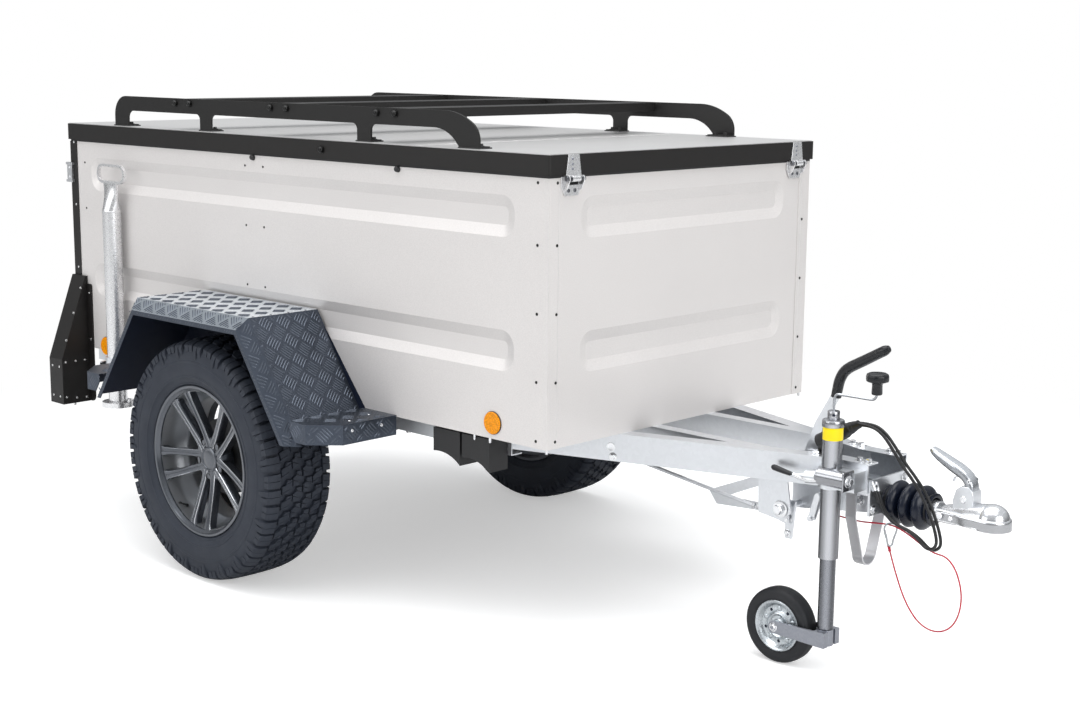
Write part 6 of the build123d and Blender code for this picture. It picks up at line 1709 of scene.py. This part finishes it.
def add_relief(name, route, foot_radius, tip_radius, reach, slot):
    """Ribbed boot that follows the start of a cord's line and tapers on to it."""
    line, at = head_of(route_line(route), reach)
    bm = bmesh.new()
    scales = []
    for i, run in enumerate(at):
        rib = BOOT_RIB if i % 2 and 0 < i < len(at) - 2 else 0.0
        scales.append(foot_radius + (tip_radius - foot_radius) * run / at[-1] + rib)
    add_sweep(bm, line, circle(1.0, 18), LEFT, scales)
    return finish_mesh(name, bm, "chassis", slot)


def add_trailer_plug():
    """Round plug in its parking socket: ribbed barrel, flats for the fingers and a boot for two cables."""
    bm = bmesh.new()
    axis = PLUG_TAIL - PLUG_TIP
    length = axis.length
    profile = [(0, 5), (18, 5), (18, 46), (19.2, 47), (21.4, 48), (21.4, 52), (20.0, 53.5)]
    for step in range(5):
        low = 54.0 + step * 5.2
        profile += [(20.2, low), (20.2, low + 3.2), (18.8, low + 3.9), (18.8, low + 4.8)]
    profile += [(19.6, 81), (19.6, 86), (16.8, 93), (15.6, 100), (15.6, 104), (14.4, 105), (14.4, 108),
                (13.6, 109), (13.6, 113), (12.4, 114), (12.4, 118), (11.2, 121), (10.8, length - 1),
                (9.4, length),
                (0, length)]
    add_lathe(bm, profile, PLUG_TIP, axis, 36)
    plug = finish_mesh("plug_body", bm, "chassis", "black_plastic", smooth=40)
    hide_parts("trailer_plug")
    collar = bmesh.new()
    collar_at = PLUG_TIP + axis.normalized() * 35
    add_lathe(collar, [(22.6, -1.5), (23.6, -0.5), (23.6, 2.5), (22.6, 3.5), (20.6, 3.5), (20.6, -1.5)],
              collar_at, axis, 36, closed=True)
    add_lathe(collar, [(0, -7), (6, -7), (6, 7), (0, 7)], collar_at + Vector((-15, 0, 20)), LEFT, 16)
    finish_mesh("plug_collar", collar, "chassis", "black_plastic")
    return plug


HOOK_MIDDLE = Vector((1901, -54, 381.5))
HOOK_ACROSS = (1, 1, 0)
HOOK_HALF = [(0, 29.2), (8.5, 27.4), (14.0, 22.6), (15.8, 15.0), (13.8, 5.0), (10.2, -6.0), (7.4, -16.0),
             (6.4, -23.0), (3.8, -28.2), (0, -29.4)]
HOOK_GATE = ((-15.2, 11.0), (-12.6, 1.0), (-9.4, -9.0))


def add_snap_hook():
    """Spring hook of bent wire, wide at the top, with its gate sleeve and the cable's crimp."""
    up = Vector(UP)
    across = Vector(HOOK_ACROSS).normalized()
    loop = HOOK_HALF + [(-u, z) for u, z in HOOK_HALF[-2::-1]]
    line = smooth_points([HOOK_MIDDLE + across * u + up * z for u, z in loop], 3)
    bm = bmesh.new()
    add_sweep(bm, line, circle(2.4, 12), across.cross(up))
    gate = [HOOK_MIDDLE + across * u + up * z for u, z in HOOK_GATE]
    add_sweep(bm, gate, circle(2.9, 12), across.cross(up))
    hook = finish_mesh("hook_wire", bm, "chassis", "zinc_steel", "handle_steel", smooth=60)
    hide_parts("snap_hook")
    crimp = bmesh.new()
    before, end = (Vector((x, y, z)) / MM for x, y, z in BREAKAWAY_ROUTE[-2:])
    add_lathe(crimp,
              [(0, 0), (3.2, 0), (4.0, 0.8), (4.0, 3.6), (3.2, 5.0), (3.2, 6.0), (4.0, 7.4), (4.0, 9.4),
                      (3.2, 10.8), (3.6, 12.6), (3.6, 15.6), (2.8, 16.4), (0, 16.4)], end, end - before, 20)
    ferrule = finish_mesh("hook_crimp", crimp, "chassis", "cable_red", smooth=45)
    return hook, ferrule


def add_cords():
    plug = add_trailer_plug()
    hook, ferrule = add_snap_hook()
    boots = [add_relief(f"gland_boot_{name}", route[::-1], 6.4, 4.5, 22, "cable_black")
             for name, route in (("plug", CABLE_PLUG_ROUTE), ("brake", CABLE_BRAKE_ROUTE))]
    tails = [add_relief(f"plug_boot_{name}", route, 5.4, 4.4, 24, "cable_black")
             for name, route in (("plug", CABLE_PLUG_ROUTE), ("brake", CABLE_BRAKE_ROUTE))]
    add_cord("plug_lead", "cable_plug", CABLE_PLUG_ROUTE, CABLE_RADIUS, "cable_black")
    add_cord("brake_lead", "cable_brake", CABLE_BRAKE_ROUTE, CABLE_RADIUS, "cable_black")
    add_cord("breakaway_line", "breakaway_cable", BREAKAWAY_ROUTE, BREAKAWAY_RADIUS, "cable_red")


def add_drawbar_details():
    paint_rail_inside_shade()
    add_bellows()
    add_coupling_head_details()
    add_head_crown()
    add_coupling_handle()
    add_drawbar_bolts()
    add_handbrake_sleeve()
    add_handbrake_fittings()
    add_linkage_details()


# ---------------------------------------------------------------- jockey wheel

JOCKEY_X = 1768.0
JOCKEY_Y = -127.0
JOCKEY_AXLE_X = 1632.0
JOCKEY_AXLE_Z = 100.0
JOCKEY_BAND_Z = 615.0
JOCKEY_CAP_Z = 655.0
JOCKEY_HOLE_Z = 679.0
JOCKEY_AXLE = (JOCKEY_AXLE_X, JOCKEY_Y, JOCKEY_AXLE_Z)
DISC_HOLES = 5
CRANK_REACH = 122.0
CRANK_Z = 731.0
CRANK_END_X = JOCKEY_X + CRANK_REACH
KNOB_Z = 746.0
CLAMP_Z = 523.0
SHELL_STEPS = 14
SHELL_RADIUS = 22.0
SHELL_Y = JOCKEY_Y - 27.0
WELD_POINTS = 12


def add_jockey_tube_details():
    """Plain yellow band, drop-nosed cap and gearbox head, with dark discs painted as the shade in its cross
    hole.
    """
    band = bmesh.new()
    add_lathe(band, [(25.55, 0), (25.7, 0.4), (25.7, 36.6), (25.55, 37)],
              (JOCKEY_X, JOCKEY_Y, JOCKEY_BAND_Z), UP,
              48, closed=True)
    finish_mesh("yellow_band", band, "jockey_tube", "galvanised", "yellow_band")
    cap = bmesh.new()
    add_lathe(cap,
              [(25.6, -8), (27.6, -7), (28.4, -5), (28.4, 7.5), (26.6, 10.6), (18, 11.2), (14.6, 11.2)],
              (JOCKEY_X, JOCKEY_Y, JOCKEY_CAP_Z), UP, 48)
    add_lathe(cap, [(14.4, 9), (15.6, 11), (15.6, 31), (14.2, 33), (8.4, 33.4), (0, 33.4)],
              (JOCKEY_X, JOCKEY_Y, JOCKEY_CAP_Z), UP, 32)
    finish_mesh("jockey_cap", cap, "jockey_tube", "galvanised", "tube_steel", smooth=40)
    # dark discs painted as the shade inside the cross hole
    hole = bmesh.new()
    for angle in (-55, 125):
        x, y = on_circle(15.0, math.radians(angle))
        add_lathe(hole, [(3.6, 0), (3.6, 1.0), (0, 1.0)], (JOCKEY_X + x, JOCKEY_Y + y, JOCKEY_HOLE_Z),
                  (x, y, 0), 14)
    finish_mesh("jockey_head_hole_painted_shade", hole, "jockey_tube", "galvanised", "painted_shade_black")


def knob_flute(height, angle):
    """Share of the knob's radius: eight shallow flutes round its head and six round its stem."""
    if 30 < height < 60:
        return 1.0 - 0.035 * (1 + math.cos(8 * angle)) / 2
    if 0 < height < 26:
        return 1.0 - 0.07 * (1 + math.cos(6 * angle)) / 2
    return 1.0


def add_crank():
    """Thin bent rod with a fluted mushroom knob on a plain stem."""
    rod = bmesh.new()
    near, end = JOCKEY_X, CRANK_END_X
    path = ((near, 684), (near, 706), (near + 1.5, 722), (near + 9, 730), (near + 24, CRANK_Z),
            (near + 60, 731.6),
            (end - 24, 731.6), (end - 9, 733), (end - 1.5, 741), (end, 752), (end, 762))
    line = smooth_points([(x, JOCKEY_Y, z) for x, z in path], 4)
    add_sweep(rod, line, circle(3.4, 14))
    crank = finish_mesh("crank_rod", rod, "jockey_tube", "galvanised", "handle_steel", smooth=60)
    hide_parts("jockey_crank")
    knob = bmesh.new()
    profile = [(0, 0), (11.6, 0), (13.0, 1.4), (13.4, 4), (12.6, 24), (14.0, 29), (21.0, 31.0),
               (27.4, 33.5),
               (28.2, 38), (28.0, 46), (26.6, 51), (22.0, 53.4), (0, 54.4)]
    add_lathe(knob, profile, (end, JOCKEY_Y, KNOB_Z), UP, 48, flute=knob_flute)
    finish_mesh("crank_knob", knob, "jockey_tube", "galvanised", "grip_plastic", smooth=50)


def add_clamp_shell():
    """Half-round pressed shell across the clamp, with its square nut plate and nut."""
    shell = bmesh.new()
    section = [on_circle(SHELL_RADIUS, math.pi * (1 - i / SHELL_STEPS)) for i in range(SHELL_STEPS + 1)]
    for x0, x1, grow in ((1746, 1753, 0.86), (1753, 1834, 1.0)):
        add_loft(shell,
                 [[(x, SHELL_Y - out * grow, CLAMP_Z + up * grow) for up, out in section] for x in (x0,
                                                                                                    x1)])
    plate = rounded_rectangle(48, 50, 3, 3)
    add_prism(shell, plate, 0, 4.5, moved((1834, SHELL_Y - 2, CLAMP_Z + 1), FORWARD, LEFT))
    finish_mesh("clamp_shell", shell, "chassis", "galvanised", "tube_steel", bevel=1.4)
    nut = bmesh.new()
    add_hex_bolt(nut, (1838.5, SHELL_Y - 4, CLAMP_Z + 1), FORWARD, 17)
    finish_mesh("clamp_nuts", nut, "chassis", "zinc_steel", "bright_steel")


def add_clamp_lever():
    """Bright flat lever with a black grip, rounded at its end."""
    lever = bmesh.new()
    line = smooth_points([(1752, -168, 513), (1724, -167, 508.5), (1698, -163, 509.5),
                          (1664, -160.5, 515.5)], 5)
    add_sweep(lever, line, rounded_rectangle(9, 5.4, 2.4, 2), UP)
    finish_mesh("clamp_lever", lever, "chassis", "galvanised", "bright_steel", smooth=50)
    grip = bmesh.new()
    line = smooth_points([(1676, -160.5, 513.5), (1656, -160.5, 516), (1634, -161, 519.6),
                          (1611, -161, 523.5)], 5)
    count = len(line) - 1
    scales = [0.66 + 0.34 * (i / count) ** 0.8 for i in range(count - 1)] + [0.92, 0.6]
    add_sweep(grip, line, circle(8.2, 18), LEFT, scales)
    finish_mesh("clamp_grip", grip, "chassis", "black_plastic", "grip_plastic", smooth=50)


def add_jockey_tyre():
    """Solid rubber tyre: round shoulders, mould line and a shallow step beside the rim."""
    half_profile = [(67.9, 20.6), (70.5, 21.6), (72.0, 20.6), (75.0, 21.8), (82.0, 24.0), (88.0, 24.9),
                    (93.2, 23.6), (97.2, 19.6), (99.2, 13.6), (99.8, 6.0), (99.9, 0.9), (100.0, 0.0)]
    profile = [(r, -y) for r, y in half_profile] + [(r, y) for r, y in half_profile[::-1][1:]]
    bm = bmesh.new()
    add_lathe(bm, profile, JOCKEY_AXLE, LEFT, 72, closed=True)
    tyre = finish_mesh("jockey_tyre_rubber", bm, "jockey_wheel", "tyre_rubber", "jockey_rubber", smooth=50)
    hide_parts("jockey_tyre")


def add_jockey_rim():
    """Pressed disc rim: rolled edge, dished face with a raised ring, round dimples, and dark discs painted as
    the shade of its lightening holes.
    """
    bm = bmesh.new()
    face = [(6.1, 27.8), (12.6, 27.8), (14.0, 26.4), (14.0, 14.5), (16.5, 12.2), (24.0, 11.6), (27.0, 13.8),
            (31.0, 15.6), (35.0, 13.6), (39.0, 9.6), (47.0, 8.6), (52.0, 9.8), (56.0, 14.6), (59.0, 19.0),
            (62.0, 21.6), (66.6, 22.6), (67.9, 21.6), (67.9, 18.0), (64.5, 17.4), (60.5, 14.0), (57.0, 9.6),
            (52.6, 5.0), (47.0, 3.6), (38.0, 4.6), (34.0, 8.6), (31.0, 10.4), (27.6, 8.8), (24.0, 6.6),
            (14.0, 6.6)]
    profile = [(r, -y) for r, y in face] + [(14.0, 26.4), (12.6, 27.8), (6.1, 27.8)]
    add_lathe(bm, profile, JOCKEY_AXLE, LEFT, 72, closed=True)
    far = [(66.6, 22.6), (67.9, 21.6), (67.9, -18.0), (64.5, -17.0), (64.5, 20.0)]
    add_lathe(bm, far, JOCKEY_AXLE, LEFT, 72, closed=True)
    dimple = [(0, 3.6), (3.5, 3.4), (6.6, 2.0), (8.2, -0.6), (8.2, -3)]
    for x, z in circle(43.5, DISC_HOLES, math.radians(90)):
        add_lathe(bm, dimple, (JOCKEY_AXLE_X + x, JOCKEY_Y - 8.9, JOCKEY_AXLE_Z + z), RIGHT, 22)
    rim = finish_mesh("jockey_disc", bm, "jockey_wheel", "zinc_steel", "disc_steel", smooth=30)
    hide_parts("jockey_rim")
    # dark discs painted as the shade of the lightening holes
    holes = bmesh.new()
    for x, z in circle(44.0, DISC_HOLES, math.radians(126)):
        at = (JOCKEY_AXLE_X + x, JOCKEY_Y - 9.0, JOCKEY_AXLE_Z + z)
        add_lathe(holes, [(0, 0.6), (4.2, 0.6), (4.2, -2)], at, RIGHT, 18)
    finish_mesh("jockey_disc_hole_painted_shade", holes, "jockey_wheel", "zinc_steel", "painted_shade_black")


def add_fork_details():
    """Hollow axle ends riveted over washers, dark discs painted as the shade in their bores, and the welds
    where the arms meet the sleeve.
    """
    bm = bmesh.new()
    for side in SIDES:
        at = (JOCKEY_AXLE_X, JOCKEY_Y + side * 35, JOCKEY_AXLE_Z)
        add_lathe(bm,
                  [(12.2, -1), (12.2, 0.8), (9.0, 1.8), (8.4, 5.0), (7.2, 6.4), (5.4, 6.4), (4.8, 4.8),
                   (4.8, -4),
                       (0, -4)], at, (0, side, 0), 28)
    finish_mesh("jockey_axle_ends", bm, "jockey_fork", "galvanised", "bright_steel", smooth=40)
    # dark discs painted as the shade inside the axle bores
    dark = bmesh.new()
    for side in SIDES:
        at = (JOCKEY_AXLE_X, JOCKEY_Y + side * 35, JOCKEY_AXLE_Z)
        add_lathe(dark, [(4.7, 4.4), (0, 4.4)], at, (0, side, 0), 20)
    finish_mesh("jockey_axle_bore_painted_shade", dark, "jockey_fork", "galvanised", "painted_shade_black")
    weld = bmesh.new()
    for side in SIDES:
        line = []
        for step in range(WELD_POINTS):
            z = 82 + 36 * step / (WELD_POINTS - 1)
            line.append(Vector((JOCKEY_X - 13.5 + 0.8 * math.sin(step * 2.4), JOCKEY_Y + side * 28.5, z)))
        scales = [1.0 + 0.18 * math.sin(i * 2.9) for i in range(WELD_POINTS)]
        add_sweep(weld, line, circle(2.6, 8), LEFT, scales)
    finish_mesh("fork_welds", weld, "jockey_fork", "galvanised", "fork_steel", smooth=60)


def add_jockey_details():
    add_jockey_tube_details()
    add_crank()
    add_clamp_shell()
    add_clamp_lever()
    add_jockey_tyre()
    add_jockey_rim()
    add_fork_details()


# ---------------------------------------------------------------- rear lamps, stands, tailgate and underside

LAMP_FACE_X = -1044.5
LAMP_BACK_X = -1029.5
LAMP_Y = 612.5
LAMP_LOW_Z = 384.0
LAMP_HIGH_Z = 514.0
LAMP_Z = (LAMP_LOW_Z + LAMP_HIGH_Z) / 2
# material, middle above the lamp's own, and height
LENS_FIELDS = (("red_lamp", 35, 56), ("amber_reflector", -17, 40), ("clear_lens", -50, 20))
LENS_RIB_STEP = 6
BOX_FRONT_X = -949.5
BOX_OUTER_Y = 666.5
STAND_X = -730.0
STAND_Y = 593.5
WING_X = STAND_X - 61.3
AXLE_BEAM_X = 165.0
HINGE_YS = (-330, 330)
HINGE_BOLT_SHIFT = 30
LATCH_Y = 538.5
# distances from the middle and heights of the fasteners on the lamp boxes' front faces
BOX_FRONT_SPOTS = ((586, 762), (616, 680), (648, 590), (654, 516), (616, 516), (580, 516), (654, 396),
                   (616, 390),
                   (578, 388))
# x, distance from the middle and height along one brake hose
HOSE_LINE = ((212, 60, 430), (214, 170, 408), (208, 300, 404), (170, 420, 400), (110, 490, 380),
             (60, 524, 352),
             (40, 538, 335))
DRUM_BOLTS = 6
DRUM_BOLT_CIRCLE = 96.0


def add_tail_lamps():
    """Black tray with three ribbed lens fields: red, amber and a clear reversing field below."""
    tray = bmesh.new()
    lenses = {"red_lamp": bmesh.new(), "amber_reflector": bmesh.new(), "clear_lens": bmesh.new()}
    screws = bmesh.new()
    for side in SIDES:
        y = side * LAMP_Y
        outline = rounded_rectangle(76, 130, 9, 5)
        add_prism(tray, outline, 0, 8.5, moved((LAMP_BACK_X, y, LAMP_Z), REARWARD, LEFT), 0.985)
        for name, middle, height in LENS_FIELDS:
            at = moved((LAMP_BACK_X - 8, y, LAMP_Z + middle), REARWARD, LEFT)
            add_prism(lenses[name], rounded_rectangle(69, height - 2.0, 5, 4), 0, 6.6, at, 0.95)
            for rib in range(height // LENS_RIB_STEP):
                z = LAMP_Z + middle - height / 2 + 4 + rib * LENS_RIB_STEP
                add_block(lenses[name], (LAMP_BACK_X - 15, y - 31, z), (LAMP_BACK_X - 14, y + 31, z + 2.4))
        for z in (6.5, -39):
            for shift in (-30, 30):
                at = (LAMP_FACE_X + 0.6, y + shift, LAMP_Z + z)
                add_lathe(screws, [(0, 0.4), (1.2, 0.3), (2.6, -0.2), (2.6, -3)], at, REARWARD, 12)
    piece = finish_mesh("lamp_trays", tray, "chassis", "black_plastic", bevel=0.8)
    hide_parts("tail_lamps")
    for name, bm in lenses.items():
        finish_mesh(f"lamp_{name}", bm, "chassis", "red_lamp", name, bevel=0.5)
    finish_mesh("lamp_screws", screws, "chassis", "zinc_steel", "bright_steel")


def add_lamp_box_fasteners():
    """Button bolts round each lamp box and the cable gland under it."""
    bm = bmesh.new()
    for side in SIDES:
        for y, z in BOX_FRONT_SPOTS:
            add_button_bolt(bm, (BOX_FRONT_X, side * y, z), FORWARD, 3.2)
        for z in (744, 586, 420):
            add_button_bolt(bm, (-936, side * (HALF_WIDTH + 4.5), z), (0, side, 0), 3.2)
        for x in (-1010, -968):
            for z in (500, 398):
                add_button_bolt(bm, (x, side * BOX_OUTER_Y, z), (0, side, 0), 3.2)
        add_lathe(bm, [(0, 0), (5, 0), (5, -14), (4, -16), (0, -16)], (-990, side * 600, 372), UP, 14)
    finish_mesh("lamp_box_fasteners", bm, "chassis", "zinc_steel")


def add_reflector_bezels():
    """Black seat and moulded rim round each side reflector."""
    seat = bmesh.new()
    ring = bmesh.new()
    for side in SIDES:
        for x, z in ((997, 600), (-846, 573)):
            at = (x, side * HALF_WIDTH, z)
            add_lathe(seat, [(29.6, 0), (31.2, 0), (31.2, 2.0), (30.0, 2.6), (29.6, 2.4)], at,
                      (0, side, 0), 44,
                      closed=True)
            add_lathe(ring, [(25.4, 5.6), (26.2, 6.6), (27.6, 6.6), (28.4, 5.0)], at, (0, side, 0), 44,
                      closed=True)
            add_lathe(ring, [(0, 7.2), (2.4, 7.0), (3.2, 5.8)], at, (0, side, 0), 16)
    finish_mesh("reflector_seats", seat, "chassis", "black_rubber")
    finish_mesh("reflector_rims", ring, "chassis", "amber_reflector")


def add_stand_details():
    """Wing screws and weld beads of the rear stands."""
    for name, side in WHEEL_SIDES:
        wing = bmesh.new()
        outline = [(0, -7), (9, -9), (22, -6), (25, 0), (22, 6), (9, 9), (0, 7)]
        for way in (-1, 1):
            at = moved((WING_X, side * STAND_Y, 527), FORWARD, (0, way, 0))
            add_prism(wing, outline, -4.6, 4.6, at, 0.9)
        finish_mesh(f"stand_wing_{name}", wing, "chassis", "galvanised", "black_plastic", bevel=1.6)
        welds = bmesh.new()
        for z, ring in ((398, [(30.2, 0), (33.4, 0), (32.4, 2.2), (30.2, 3.6)]),
                        (1034, [(30.1, 0), (31.6, 0.6), (31.6, 3.4), (30.1, 4)])):
            add_lathe(welds, ring, (STAND_X, side * STAND_Y, z), UP, 40, closed=True)
        finish_mesh(f"stand_welds_{name}", welds, f"stand_{name}", "galvanised", "stand_steel", smooth=50)
    bolts = bmesh.new()
    for side in SIDES:
        for z in (510, 544):
            add_hex_bolt(bolts, (STAND_X + 25, side * 530, z), FORWARD, 13)
    finish_mesh("stand_clamp_bolts", bolts, "chassis", "zinc_steel", "bright_steel")


def add_latch_keepers():
    """Bright keeper plates folded round the rear posts beside the latches."""
    bm = bmesh.new()
    for side in SIDES:
        add_side_block(bm, side, (-1036, 559, 1113), (-1008, 567, 1179))
        for z in (1113, 1171):
            add_side_block(bm, side, (-1038, 559, z), (-1002, 570, z + 8))
        for z in (1130, 1162):
            add_rivet(bm, (-1021, side * 567, z), (0, side, 0), 4.0)
    finish_mesh("latch_keepers", bm, "chassis", "zinc_steel", "bright_steel", bevel=1.2)


def add_tailgate_fasteners():
    """Rivets of the tailgate and the bolts of its hinges' two leaves."""
    rivets = bmesh.new()
    for y in (-490, -245, 0, 245, 490):
        for z in (1236, 1075, 905, 610):
            add_rivet(rivets, (BODY_REAR_X, y, z), REARWARD, 3.6)
    finish_mesh("tailgate_rivets", rivets, "tailgate", "zinc_steel")
    bolts = bmesh.new()
    low = bmesh.new()
    for y in HINGE_YS:
        for shift in (-HINGE_BOLT_SHIFT, HINGE_BOLT_SHIFT):
            for z in (596, 628):
                add_button_bolt(bolts, (BODY_REAR_X - 3, y + shift, z), REARWARD, 5.2)
            for z in (512, 534):
                add_button_bolt(low, (BODY_REAR_X - 3, y + shift, z), REARWARD, 5.2)
    finish_mesh("tailgate_hinge_bolts", bolts, "tailgate", "zinc_steel", "bright_steel")
    finish_mesh("rear_hinge_bolts", low, "chassis", "zinc_steel", "bright_steel")


def add_latch_hooks():
    """Wire hooks, pivots and rivets of the two latches."""
    latch = bmesh.new()
    for side in SIDES:
        y = side * LATCH_Y
        for z in (1108, 1172):
            add_rivet(latch, (BODY_REAR_X - 5, y, z), REARWARD, 3.4)
        half = [(-1037, -9, 1156), (-1037, -9, 1176), (-1036, -6, 1190), (-1034, 0, 1196)]
        wire = smooth_points([(x, y + out, z) for x, out, z in half]
                             + [(x, y - out, z) for x, out, z in half[-2::-1]], 4)
        add_sweep(latch, wire, circle(1.8, 10), FORWARD)
        add_block(latch, (-1036, y - 7, 1184), (-1024, y + 7, 1188))
        add_lathe(latch, [(3.4, -14), (3.4, 14)], (-1034, y, 1126), LEFT, 12)
    finish_mesh("latch_hooks", latch, "chassis", "zinc_steel")


def add_underside_bolts():
    """Bolts of the axle beam, the floor and the brake backplates."""
    bolts = bmesh.new()
    for side in SIDES:
        for x in (AXLE_BEAM_X - 56, AXLE_BEAM_X + 56):
            for y in (443, 468):
                add_hex_bolt(bolts, (x, side * y, 483), DOWN, 15)
        for x in (-900, -500, -120, 300, 560, 900):
            add_hex_bolt(bolts, (x, side * 461, 497), DOWN, 13)
        add_hex_bolt(bolts, (0, side * 400, TYRE_RADIUS + 92), (0, -side, 0), 10)
        for x, z in circle(DRUM_BOLT_CIRCLE, DRUM_BOLTS, math.radians(15)):
            add_hex_bolt(bolts, (x, side * 536.5, TYRE_RADIUS + z), (0, -side, 0), 9, washer=False)
    finish_mesh("underside_bolts", bolts, "chassis", "zinc_steel")


def add_brake_lines():
    """Brake hoses along the beam and the bracket that shares their pull."""
    hose = bmesh.new()
    for side in SIDES:
        line = smooth_points([(x, side * y, z) for x, y, z in HOSE_LINE])
        add_sweep(hose, line, circle(5.2, 12), UP)
    finish_mesh("brake_hoses", hose, "chassis", "galvanised", "black_plastic", smooth=60)
    plate = bmesh.new()
    add_block(plate, (201, -92, 420), (206, 92, 476))
    for y in (-62, 62):
        add_lathe(plate, [(0, 0), (8, 0), (8, 7), (0, 7)], (206, y, 430), FORWARD, 18)
    finish_mesh("equaliser_bracket", plate, "chassis", "galvanised", bevel=1.0)


def add_rear_details():
    add_tail_lamps()
    add_lamp_box_fasteners()
    add_reflector_bezels()
    add_stand_details()
    add_latch_keepers()
    add_tailgate_fasteners()
    add_latch_hooks()
    add_underside_bolts()
    add_brake_lines()


bpy.context.scene.view_settings.view_transform = "Standard"
add_camera()
add_studio()
dress_frame()
add_cords()
add_wheel_bodies()
add_fender_details()
add_body_details()
add_drawbar_details()
add_jockey_details()
add_rear_details()
